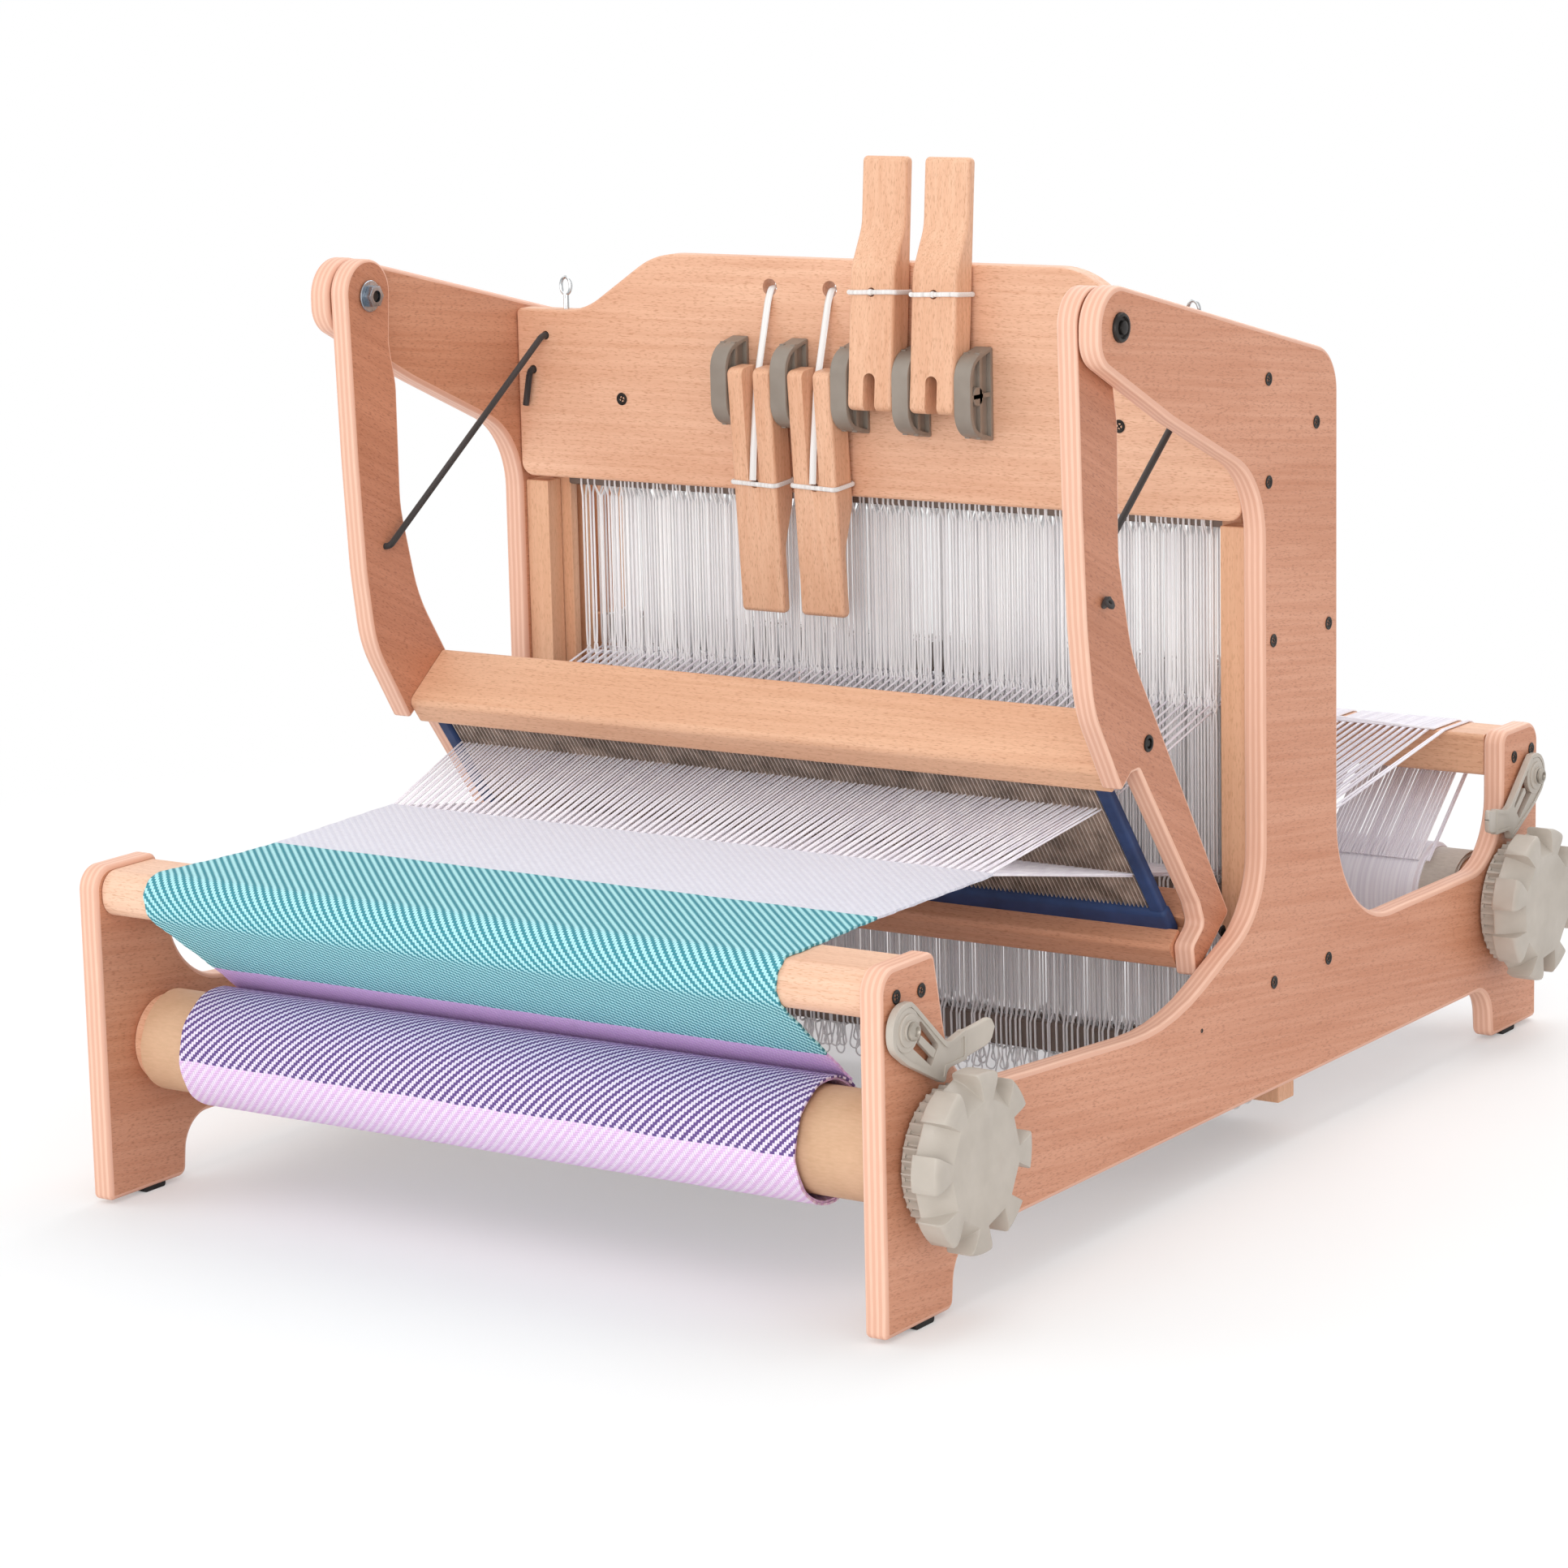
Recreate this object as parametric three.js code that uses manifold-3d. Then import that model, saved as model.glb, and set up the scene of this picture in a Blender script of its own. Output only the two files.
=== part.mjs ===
// A four-shaft table loom with a warp on it, in millimetres.
// X runs to the weaver's right, Y from the weaver to the back, Z up.
import * as THREE from "three";
import { mergeVertices } from "three/addons/utils/BufferGeometryUtils.js";
import Module from "manifold-3d";

const wasm = await Module();
wasm.setup();

// Clearances
const FIT = 0.3; // between faces that touch or that one piece cuts into another
const RUNNING = 1; // beside a piece that swings or slides

// How finely round corners are drawn
const WIDE_BEND = 25;
const KNOB_SIDES = 56;
const WIDE_BEND_STEP = 0.19;
const BEND_STEP = 0.42;

// Side panels
const CLEAR_WIDTH = 446; // between the two panels
const PANEL_THICKNESS = 12;
const PANEL_EDGE_ROUND = 2.5;
const LOOM_DEPTH = 685;
const POST_TOP = 170;
const POST_FOOT = 57.5; // length of each foot along the floor
const POST_WAIST = 60.5; // where the foot meets the underside
const POST_HEAD = 46; // depth of a post at its top
const UNDERSIDE = 29.5;
const RAIL_TOP_FRONT = 100.5;
const RAIL_TOP_LOW = 86.5;
const RAIL_TOP_BACK = 97.5;
const CASTLE_FRONT = 360;
const CASTLE_DEPTH = 81;
const CASTLE_TOP_DROP = 33; // from the beater's pivot down to the castle's top at the back
const HORN_HEAD_RADIUS = 19.5;
const HORN_RIDGE = 20; // from the pivot up to the horn's top edge
const HORN_UNDERSIDE_DROP = 14.5; // from the pivot down to the horn's lower edge
const HORN_UNDERSIDE_SLOPE = 0.5;
const HORN_BEND_SHORT = 20; // from halfway along the horn to the bend in its lower edge
const HORN_ROOT_DROP = 89; // from the pivot down to where the horn's lower edge meets the castle
const CASTLE_FOOT_RISE = 40; // from the rail's lowest top edge to where the castle's front edge starts
const CASTLE_SWEEP = 98; // from the castle forward to the rail's lowest place
const POST_SWEEP = 15; // from the front post to where the rail's top edge starts
const TOE_ROUND = 3;
const HEEL_ROUND = 5;
const ARCH_ROUND = 18;
const POST_OUTER_ROUND = 12;
const BACK_POST_INNER_ROUND = 8;
const BACK_RAIL_BEND = 36;
const CASTLE_REAR_BEND = 62;
const CASTLE_TOP_ROUND = 25;
const HORN_LIP_ROUND = 16;
const HORN_UNDER_BEND = 150;
const CASTLE_INNER_BEND = 45;
const RAIL_SWEEP_BEND = 160;
const FRONT_RAIL_BEND = 42;
const FOOT_INSET = 34; // from the end of a panel to the middle of its rubber foot
const RUBBER_FOOT_LENGTH = 16;
const RUBBER_FOOT_HEIGHT = 7;
const RUBBER_FOOT_PROUD = 2;

// Beams at the front and the back
const BEAM_INSET = 4;
const BEAM_DEPTH = 40;
const BEAM_TOP = 167.5;
const BEAM_HEIGHT = 23;
const BEAM_ROUND = 10;
const BEAM_INNER_ROUND = 2.5;

// Castle board and cord rail
const BOARD_THICKNESS = 12;
const BOARD_EDGE_ROUND = 1.5;
const BOARD_BELOW_PIVOTS = 58; // from the levers' pivots down to the board's lower edge
const SHOULDER_RISE = 33.5; // from the levers' pivots up to the board's shoulders
const CREST_RISE = 65.5; // and to its crest
const BOARD_LOWER_ROUND = 8;
const SHOULDER_ROUND = 3;
const CREST_FOOT_BEND = 40;
const CREST_BEND = 45;
const CREST_FOOT_HALF = 178;
const CREST_HALF = 130;
const CORD_HOLE_RISE = 50; // above the levers' pivots
const CORD_HOLE_RADIUS = 4.5;
const CORD_RAIL_THICKNESS = 12;
const CORD_RAIL_MIDDLE = 416.7;
const CORD_RAIL_DROP = 24; // from the levers' pivots down to the rail's lower face
const CORD_RAIL_HEIGHT = 20;

// Levers and their brackets
const LEVER_COUNT = 4;
const LEVER_PITCH = 37.5;
const BRACKET_WIDTH = 10;
const BRACKET_REACH = 22.7;
const BRACKET_HEIGHT = 48.5;
const BRACKET_WALL = 2.4;
const BRACKET_POCKET = 2.5;
const BRACKET_CHIN = 5; // how much lower the bracket's front is than its back, at each corner
const BRACKET_ROUND = 14;
const LEVER_PIVOT_REACH = 14.5; // from the board's face to the pivot
const LEVER_PIVOT_DROP = 53; // below the beater's pivot
const LEVER_THICKNESS = 16.5;
const LEVER_FORK = 10; // beyond the pivot
const LEVER_FORK_ROUND = 4;
const LEVER_TIP_ROUND = 3;
const LEVER_CURVE_ROUND = 22;
const LEVER_HANDLE = 120.5; // from the pivot to the handle's end
const HANDLE_THICKNESS = 7;
const LEVER_CURVE_START = 63;
const LEVER_CURVE_LENGTH = 22;
const LEVER_LEAN = THREE.MathUtils.degToRad(4.5);
const SLOT_WIDTH = 7;
const SLOT_FRONT_LENGTH = 19.5;
const SLOT_BACK_LENGTH = 62;
const TIE_FROM_PIVOT = 51;
const TIE_HOLE_RADIUS = 2.5;
const STUB_RADIUS = 2.5;
const STUB_LENGTH = 4;

// Shafts, the wooden frames that carry the heddles
const SHAFT_PITCH = 40 / 3;
const FIRST_SHAFT = 20; // from the castle's front edge to the first shaft's middle
const BAR_THICKNESS = 6;
const BAR_HEIGHT = 16;
const BAR_HALF = 202;
const STRUT_ROUND = 3;
const STRUT_WIDTH = 12;
const HEDDLE_WINDOW = 184;
const RAISED_BOTTOM = 116;
const SHAFT_TRAVEL = 92;
const RAISED_SHAFTS = 2; // the front ones, whose levers hang down

// Guides that the shafts slide in
const GUIDE_BASE = 7.5;
const GUIDE_STOP_REACH = 2; // of the foot beyond the comb
const GUIDE_REACH = 14.7;
const GUIDE_GROOVE = 8;
const GUIDE_BOTTOM = 60;
const GUIDE_SHORT = 3; // from the guide's top to the board's lower edge
const GUIDE_FRONT = 4.5; // from the castle's front edge
const GUIDE_DEPTH = 71.5;
const GUIDE_FOOT_DEPTH = 17;
const GUIDE_FOOT_BOTTOM = 15;

// Threads
const THREAD_PITCH = 15.2; // one warp band, with a heddle or a reed dent at each side
const THREADS_SPARE = 2; // left free at each end of the reed and of the shafts' bars
const STRAND_WIDTH = 1.2;
const STRAND_DEPTH = 1.5;
const SLEEVE_WALL = 0.8;
const WARP_THICKNESS = 1;
const WARP_LAP = 3; // by which the bands run into each other at both ends
const BAND_GAP = 0.3;
const CORD_CLEAR = 2;
const CORD_LEAD_IN = 12;
const CORD_LEAD_OUT = 6;
const CORD_TURN_DROP = 28; // below the board's hole
const LOOP_BAND = 1.4;
const CORD_RADIUS = 1.1;
const CORD_SIDES = 8;
const CORD_BEND_STEPS = 4; // runs of a cord round one corner
const CORD_BEND = 5; // from a corner to where its bend begins

// Cloth
const DRAW_IN = 12.6; // by which each edge of the cloth lies inside the threads in the reed
const CLOTH_THICKNESS = 1.2;
const FELL = 193; // where the last pick lies
const FELL_RISE = 2.5; // from the beams' level up to the last pick

// Beater
const ARM_THICKNESS = 11;
const ARM_EDGE_ROUND = 1.2;
const BEATER_LEAN = THREE.MathUtils.degToRad(37.2);
const BEATER_PIVOT_BACK = 25; // behind the last pick
const BEATER_CORNER_RISE = 49; // from the beams' level up to the top rail's front corner
const BEATER_CORNER_BACK = 20.4; // behind the pivot, along Y
const ARM_HEAD_LESS = 0.5; // by which the arm's head is smaller than the horn's
const ARM_FOOT_BACK = 32; // from the reed's frame back to the foot's rear corner
const ARM_FOOT_FRONT = -13;
// The cut in an arm's foot that the reed stands in
const ARM_CUT_FLOOR = 6; // above the reed's lower edge
const ARM_CUT_SLOPE = 18;
const ARM_CUT_BEND = 3;
const ARM_CUT_ROOF = 1; // above the reed's upper edge
const ARM_LIP = -5;
const ARM_WALL = 2; // from the reed's back to the wall of the arm's slot
// Bends of an arm: back from its head's edge, down from the pivot or up from the rail's corner, radius
const ARM_NECK_BACK = [
  [-3, 26, 12],
  [1.5, 48, 30],
];
const ARM_ELBOW_BACK = [
  [1.5, 104.5, 60],
  [14, 55.5, 80],
];
const ARM_ELBOW_FRONT = [
  [13, 33.5, 60],
  [7, 74.5, 150],
];
const ARM_NECK_FRONT = [3.5, 83, 200];
const BEATER_RAIL_ROUND = 3;
const BEATER_RAIL_HEIGHT = 17;
const BEATER_RAIL_DEPTH = 40;
const BEATER_BOTTOM_RAIL = 120.5;
const BOTTOM_RAIL_FRONT = -9;
const REED_TOP = 9;
const REED_BOTTOM = 128;
const REED_FRONT = 4;
const REED_DEPTH = 7;
const REED_HALF = 205.5;
const REED_TOP_BAULK = 8;
const REED_BOTTOM_BAULK = 15.5;
const REED_END = 5;
const DENT_WIDTH = 1.2;
const DENT_DEPTH = 5;
const BOLT_RADIUS = 3;
const BOLT_HEAD_RADIUS = 7;
const BOLT_HEAD_HEIGHT = 3;
const NUT_RADIUS = 6;
const BOLT_PROUD = 2; // of the nut
const NUT_HEIGHT = 5;
const PIVOT_HEIGHT = 433;

// Elastic cords that pull the beater back
const ELASTIC_RADIUS = 1.75;
const ELASTIC_BEND = 3;
const ELASTIC_HOLE_RADIUS = 2.4;
const ELASTIC_KNOT_RADIUS = 3.6;
const ELASTIC_ARM_BACK = 5.5; // behind the pivot
const ELASTIC_ARM_RISE = 85; // above the top rail's corner
// Across from the middle, and above the levers' pivots
const ELASTIC_UPPER_HOLE = [203.4, 19.3];
const ELASTIC_LOWER_HOLE = [212.4, 0.4];
const ELASTIC_TAIL_END = [215.9, -19];

// Rollers, their wheels and pawls
const ROLLER_INSET = 44; // from the panel's end to the roller's axis
const ROLLER_HEIGHT = 75.5;
const ROLLER_RADIUS = 22;
const ROLLER_PIN_RADIUS = 7;
const ROLLER_PIN_LENGTH = 7;
const ROLLER_AXLE_RADIUS = 9;
const PAPER_RADIUS = 26;
const PAPER_HALF = 215;
const CLOTH_ROLL_RADIUS = 30;
const WARP_ROLL_RADIUS = 28.5;
const WHEEL_STANDOFF = 2;
const TOOTH_COUNT = 36;
const TOOTH_RADIUS = 33.5;
const TOOTH_DEPTH = 3;
const TOOTH_WIDTH = 10;
const LOBE_COUNT = 8;
const LOBE_RADIUS = 42;
const NOTCH_SHARE = 0.47; // of the way from one lobe to the next
const NOTCH_BACK_DEPTH = 4.5;
const NOTCH_FACE_DEPTH = 14;
const FRONT_KNOB_TURN = -5; // degrees
const BACK_KNOB_TURN = -18;
const TOOTH_LAG = 0.35; // of half a tooth, by which its foot lags behind its tip
const KNOB_WIDTH = 15;
const KNOB_ROUND = 2;
const KNOB_WALL = 5; // of plastic in front of the axle's end
const PAWL_INSET = 14;
const PAWL_RISE = 65.5; // above the roller's axis
const PAWL_STANDOFF = 1.3;
const PAWL_THICKNESS = 4;
const PAWL_BOSS_RADIUS = 12.5;
// Corners of the pawl behind and above its screw, from below its boss round its tip to its tab, and their radii
const PAWL_LOWER_EDGE = [
  [-12.5, -7, 12],
  [0, -16, 20],
  [24, -28, 3],
  [31, -31.3, 2],
  [33, -25, 4],
  [52, -24, 6],
  [68, -19, 3],
];
const PAWL_UPPER_EDGE = [
  [66, -12, 3],
  [58, -8, 4],
  [34, -13.5, 9],
  [9, 8.5, 10],
];
const PAWL_WINDOW = [
  [12, 1, 1.5],
  [5, -9, 1.5],
  [22, -19, 1.5],
  [26, -11, 1.5],
];
const PAWL_HUB_RADIUS = 7;
const PAWL_HUB_HEIGHT = 2.5;
const PAWL_SCREW_DEPTH = 8; // in the panel
const PAWL_SCREW_RADIUS = 2;
const PAWL_SCREW_HEAD = 4.5;
const PAWL_SCREW_HEAD_HEIGHT = 2.2;

// Split pins that hold the spare parts on the board's shoulders
const PIN_OFFSET = 193;
const PIN_WIRE = 1.25;
const PIN_RING = 4.5;
const PIN_STANDS = 12.5;
const PIN_DEPTH = 12;

// Values that follow from those above
const INNER = CLEAR_WIDTH / 2;
const OUTER = INNER + PANEL_THICKNESS;
const BETWEEN = INNER - FIT; // half length of a piece held between the panels
const CASTLE_BACK = CASTLE_FRONT + CASTLE_DEPTH;
const BOARD_BACK = CASTLE_FRONT + BOARD_THICKNESS;
const PIVOT_BACK = FELL + BEATER_PIVOT_BACK; // the beater swings over the edge of the cloth
const CASTLE_TOP_BACK = PIVOT_HEIGHT - CASTLE_TOP_DROP;
const LEVER_PIVOT_HEIGHT = PIVOT_HEIGHT - LEVER_PIVOT_DROP;
const BOARD_BOTTOM = LEVER_PIVOT_HEIGHT - BOARD_BELOW_PIVOTS;
const BOARD_SHOULDER = LEVER_PIVOT_HEIGHT + SHOULDER_RISE;
const BOARD_CREST = LEVER_PIVOT_HEIGHT + CREST_RISE;
const CORD_HOLE_HEIGHT = LEVER_PIVOT_HEIGHT + CORD_HOLE_RISE;
const CORD_RAIL_BOTTOM = LEVER_PIVOT_HEIGHT - CORD_RAIL_DROP;
const GUIDE_TOP = BOARD_BOTTOM - GUIDE_SHORT;
const BEATER_CORNER_HEIGHT = BEAM_TOP + BEATER_CORNER_RISE;
const PAWL_HEIGHT = ROLLER_HEIGHT + PAWL_RISE;
const LEVER_WIDTH = LEVER_PITCH - BRACKET_WIDTH - 2 * FIT;
const LEVER_PIVOT_BACK = CASTLE_FRONT - LEVER_PIVOT_REACH;
const RAISED_TOP = RAISED_BOTTOM + 2 * BAR_HEIGHT + HEDDLE_WINDOW;
const ARM_OUTER = INNER - RUNNING;
const ARM_INNER = ARM_OUTER - ARM_THICKNESS;
const THREADS_ROOM = Math.min(REED_HALF - REED_END, BAR_HALF) - THREADS_SPARE;
const THREAD_BANDS = 2 * Math.floor(THREADS_ROOM / THREAD_PITCH);
const THREADS_HALF = (THREAD_BANDS * THREAD_PITCH) / 2;
const CLOTH_HALF = THREADS_HALF - DRAW_IN;
const KNOB_BACK = OUTER + WHEEL_STANDOFF + TOOTH_WIDTH;
const KNOB_FRONT = KNOB_BACK + KNOB_WIDTH;
const FRONT_AXIS = ROLLER_INSET;
const BACK_AXIS = LOOM_DEPTH - ROLLER_INSET;

const FINISHES = {
  panel: { color: 0xdda488, roughness: 0.45, metalness: 0 },
  pale_wood: { color: 0xedbb98, roughness: 0.5, metalness: 0 },
  lever_wood: { color: 0xcc8a66, roughness: 0.5, metalness: 0 },
  guide_wood: { color: 0xd9a076, roughness: 0.6, metalness: 0 },
  bracket_plastic: { color: 0x8f857a, roughness: 0.5, metalness: 0 },
  wheel_plastic: { color: 0xada498, roughness: 0.45, metalness: 0 },
  steel: { color: 0x6f645c, roughness: 0.35, metalness: 1 },
  dark_steel: { color: 0x2a2422, roughness: 0.4, metalness: 0.8 },
  rubber: { color: 0x1d1b1a, roughness: 0.8, metalness: 0 },
  elastic: { color: 0x3a302e, roughness: 0.85, metalness: 0 },
  white_cord: { color: 0xe4e2e4, roughness: 0.8, metalness: 0 },
  warp_cotton: { color: 0xe6e3ea, roughness: 0.9, metalness: 0 },
  woven_cloth: { color: 0x74c4c4, roughness: 0.9, metalness: 0 },
  rolled_cloth: { color: 0xb39ad0, roughness: 0.9, metalness: 0 },
  kraft_paper: { color: 0xb8926a, roughness: 0.8, metalness: 0 },
  grey_paper: { color: 0xb5aaa0, roughness: 0.8, metalness: 0 },
};

const loom = new THREE.Group();

// Adds a named piece to the loom, or to a group in it.
function piece(name, geometry, finish, parent = loom) {
  geometry.computeVertexNormals();
  const mesh = new THREE.Mesh(geometry, new THREE.MeshStandardMaterial(FINISHES[finish]));
  mesh.name = name;
  parent.add(mesh);
  return mesh;
}

// Geometry with its shared vertices merged, as a solid for joining and cutting.
function solidOf(geometry) {
  const bare = geometry.clone();
  bare.deleteAttribute("normal");
  bare.deleteAttribute("uv");
  const merged = mergeVertices(bare, 1e-4);
  return new wasm.Manifold(
    new wasm.Mesh({
      numProp: 3,
      vertProperties: merged.attributes.position.array,
      triVerts: new Uint32Array(merged.index.array),
    }),
  );
}

function geometryOf(solid) {
  const mesh = solid.getMesh();
  const geometry = new THREE.BufferGeometry();
  geometry.setAttribute("position", new THREE.BufferAttribute(mesh.vertProperties, 3));
  geometry.setIndex(new THREE.BufferAttribute(mesh.triVerts, 1));
  return geometry;
}

function joined(geometries) {
  const solids = geometries.map(solidOf);
  return geometryOf(solids.slice(1).reduce((whole, next) => whole.add(next), solids[0]));
}

function without(geometry, cutters) {
  return geometryOf(cutters.map(solidOf).reduce((whole, next) => whole.subtract(next), solidOf(geometry)));
}

// How far the rounding of a corner [x, y, radius] reaches along its edges, and half the corner's angle.
function reachOf(corners, i) {
  const [x, y, radius = 0] = corners[i];
  const before = corners[(i + corners.length - 1) % corners.length];
  const after = corners[(i + 1) % corners.length];
  const back = new THREE.Vector2(before[0] - x, before[1] - y);
  const on = new THREE.Vector2(after[0] - x, after[1] - y);
  const [backLength, onLength] = [back.length(), on.length()];
  back.normalize();
  on.normalize();
  const half = Math.acos(THREE.MathUtils.clamp(back.dot(on), -1, 1)) / 2;
  return { back, on, half, backLength, onLength, reach: radius / Math.tan(half) };
}

// Points of an outline through corners [x, y, radius], each rounded as far as its two edges leave room.
function rounded(corners) {
  const points = [];
  const turns = corners.map((_, i) => reachOf(corners, i));
  corners.forEach(([x, y, wanted = 0], i) => {
    const corner = new THREE.Vector2(x, y);
    if (wanted === 0) {
      points.push(corner);
      return;
    }
    const { back, on, half, backLength, onLength, reach } = turns[i];
    const before = turns[(i + corners.length - 1) % corners.length].reach;
    const after = turns[(i + 1) % corners.length].reach;
    const radius = wanted * Math.min(1, backLength / (reach + before), onLength / (reach + after));
    const middle = back.clone().add(on).normalize();
    const centre = corner.clone().addScaledVector(middle, radius / Math.sin(half));
    const start = corner.clone().addScaledVector(back, radius / Math.tan(half)).sub(centre);
    const turn = Math.PI - 2 * half;
    const sense = back.cross(on) > 0 ? -1 : 1;
    const steps = Math.max(1, Math.round(turn / (wanted > WIDE_BEND ? WIDE_BEND_STEP : BEND_STEP)));
    for (let k = 0; k <= steps; k += 1) {
      points.push(start.clone().rotateAround(new THREE.Vector2(), (sense * turn * k) / steps).add(centre));
    }
  });
  return points;
}

// The way a shape drawn in two of the loom's axes stands in the loom.
const ACROSS = new THREE.Matrix4().makeBasis(
  new THREE.Vector3(0, 1, 0),
  new THREE.Vector3(0, 0, 1),
  new THREE.Vector3(1, 0, 0),
);
const FACING = new THREE.Matrix4().makeBasis(
  new THREE.Vector3(1, 0, 0),
  new THREE.Vector3(0, 0, 1),
  new THREE.Vector3(0, -1, 0),
);

function extruded(points, thickness, edge, holes) {
  const shape = new THREE.Shape(points);
  shape.holes = holes.map((hole) => new THREE.Path(hole));
  const geometry = new THREE.ExtrudeGeometry(shape, {
    depth: thickness - 2 * edge,
    bevelEnabled: edge > 0,
    bevelThickness: edge,
    bevelSize: edge,
    bevelOffset: -edge,
    bevelSegments: 1,
  });
  return geometry.translate(0, 0, edge);
}

// A plate with an outline in Y and Z, from one X to another.
function plate(points, from, to, edge = 0, holes = []) {
  const low = Math.min(from, to);
  return extruded(points, Math.abs(to - from), edge, holes).applyMatrix4(ACROSS).translate(low, 0, 0);
}

// A board with an outline in X and Z, from one Y to another.
function board(points, from, to, edge = 0) {
  return extruded(points, to - from, edge, []).applyMatrix4(FACING).translate(0, to, 0);
}

function block(x0, x1, y0, y1, z0, z1) {
  const geometry = new THREE.BoxGeometry(Math.abs(x1 - x0), Math.abs(y1 - y0), Math.abs(z1 - z0));
  return geometry.translate((x0 + x1) / 2, (y0 + y1) / 2, (z0 + z1) / 2);
}

// A round bar along X.
function roundX(radius, x0, x1, y, z, sides = 20) {
  const geometry = new THREE.CylinderGeometry(radius, radius, Math.abs(x1 - x0), sides);
  return geometry.rotateZ(Math.PI / 2).translate((x0 + x1) / 2, y, z);
}

// A round bar along Y.
function roundY(radius, y0, y1, x, z, sides = 12) {
  return new THREE.CylinderGeometry(radius, radius, Math.abs(y1 - y0), sides).translate(x, (y0 + y1) / 2, z);
}

// A round bar along Z.
function roundZ(radius, z0, z1, x, y, sides = 12) {
  const geometry = new THREE.CylinderGeometry(radius, radius, Math.abs(z1 - z0), sides);
  return geometry.rotateX(Math.PI / 2).translate(x, y, (z0 + z1) / 2);
}

// A tube of paper or rolled cloth along X.
function sleeveX(inner, outer, x0, x1, y, z, sides = 32) {
  const profile = [
    new THREE.Vector2(inner, x0),
    new THREE.Vector2(outer, x0),
    new THREE.Vector2(outer, x1),
    new THREE.Vector2(inner, x1),
    new THREE.Vector2(inner, x0),
  ];
  return new THREE.LatheGeometry(profile, sides).rotateZ(-Math.PI / 2).translate(0, y, z);
}

// A route through chosen points, which an extrusion follows point by point.
class PointRoute extends THREE.Curve {
  constructor(points) {
    super();
    this.points = points;
  }

  getPointAt(share, target = new THREE.Vector3()) {
    return target.copy(this.points[Math.round(share * (this.points.length - 1))]);
  }

  getTangentAt(share, target = new THREE.Vector3()) {
    const last = this.points.length - 1;
    const i = Math.round(share * last);
    return target.copy(this.points[Math.min(i + 1, last)]).sub(this.points[Math.max(i - 1, 0)]).normalize();
  }
}

// A cord through stops, with its corners bent round.
function cord(places, radius, bend) {
  const stops = places.map(([x, y, z]) => new THREE.Vector3(x, y, z));
  const points = [stops[0]];
  for (let i = 1; i < stops.length - 1; i += 1) {
    const back = stops[i - 1].clone().sub(stops[i]);
    const on = stops[i + 1].clone().sub(stops[i]);
    const reach = Math.min(bend, back.length() / 2.1, on.length() / 2.1);
    const start = stops[i].clone().addScaledVector(back.normalize(), reach);
    const end = stops[i].clone().addScaledVector(on.normalize(), reach);
    points.push(...new THREE.QuadraticBezierCurve3(start, stops[i], end).getPoints(CORD_BEND_STEPS));
  }
  points.push(stops[stops.length - 1]);
  const section = new THREE.Shape();
  section.absarc(0, 0, radius, 0, 2 * Math.PI);
  return new THREE.ExtrudeGeometry(section, {
    steps: points.length - 1,
    curveSegments: CORD_SIDES / 2,
    extrudePath: new PointRoute(points),
  });
}

// The outline of a thin sheet that lies on the left of a line of points.
function sheetOutline(line, thickness) {
  const offset = line.map((point, i) => {
    const before = line[Math.max(i - 1, 0)];
    const after = line[Math.min(i + 1, line.length - 1)];
    const along = after.clone().sub(before).normalize();
    return new THREE.Vector2(point.x - along.y * thickness, point.y + along.x * thickness);
  });
  return [...line, ...offset.reverse()].reverse();
}

function arc(centre, radius, from, to, steps) {
  return Array.from({ length: steps + 1 }, (_, k) => {
    const angle = from + ((to - from) * k) / steps;
    return new THREE.Vector2(centre.x + radius * Math.cos(angle), centre.y + radius * Math.sin(angle));
  });
}

// The outline of a side panel: two posts, the rail between them, the castle and its horn.
function panelOutline() {
  const hornTip = PIVOT_BACK - HORN_HEAD_RADIUS;
  const headTop = PIVOT_HEIGHT + HORN_RIDGE;
  const topSlope = (headTop - CASTLE_TOP_BACK) / (CASTLE_BACK - PIVOT_BACK);
  const underBend = (PIVOT_BACK + CASTLE_FRONT) / 2 - HORN_BEND_SHORT;
  const headUnder = PIVOT_HEIGHT - HORN_UNDERSIDE_DROP;
  const backPost = LOOM_DEPTH - POST_HEAD;
  return rounded([
    [0, 0, TOE_ROUND],
    [POST_FOOT, 0, HEEL_ROUND],
    [POST_WAIST, UNDERSIDE, ARCH_ROUND],
    [LOOM_DEPTH - POST_WAIST, UNDERSIDE, ARCH_ROUND],
    [LOOM_DEPTH - POST_FOOT, 0, HEEL_ROUND],
    [LOOM_DEPTH, 0, TOE_ROUND],
    [LOOM_DEPTH, POST_TOP, POST_OUTER_ROUND],
    [backPost, POST_TOP, BACK_POST_INNER_ROUND],
    [backPost, RAIL_TOP_BACK, BACK_RAIL_BEND],
    [CASTLE_BACK, RAIL_TOP_BACK, CASTLE_REAR_BEND],
    [CASTLE_BACK, CASTLE_TOP_BACK, CASTLE_TOP_ROUND],
    [hornTip, headTop + topSlope * HORN_HEAD_RADIUS, HORN_HEAD_RADIUS],
    [hornTip, headUnder, HORN_LIP_ROUND],
    [underBend, headUnder - HORN_UNDERSIDE_SLOPE * (underBend - hornTip), HORN_UNDER_BEND],
    [CASTLE_FRONT, PIVOT_HEIGHT - HORN_ROOT_DROP, CASTLE_INNER_BEND],
    [CASTLE_FRONT, RAIL_TOP_LOW + CASTLE_FOOT_RISE, CASTLE_INNER_BEND],
    [CASTLE_FRONT - CASTLE_SWEEP, RAIL_TOP_LOW, RAIL_SWEEP_BEND],
    [POST_HEAD + POST_SWEEP, RAIL_TOP_FRONT, FRONT_RAIL_BEND],
    [POST_HEAD, POST_TOP, HEEL_ROUND],
    [0, POST_TOP, POST_OUTER_ROUND],
  ]);
}

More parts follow.
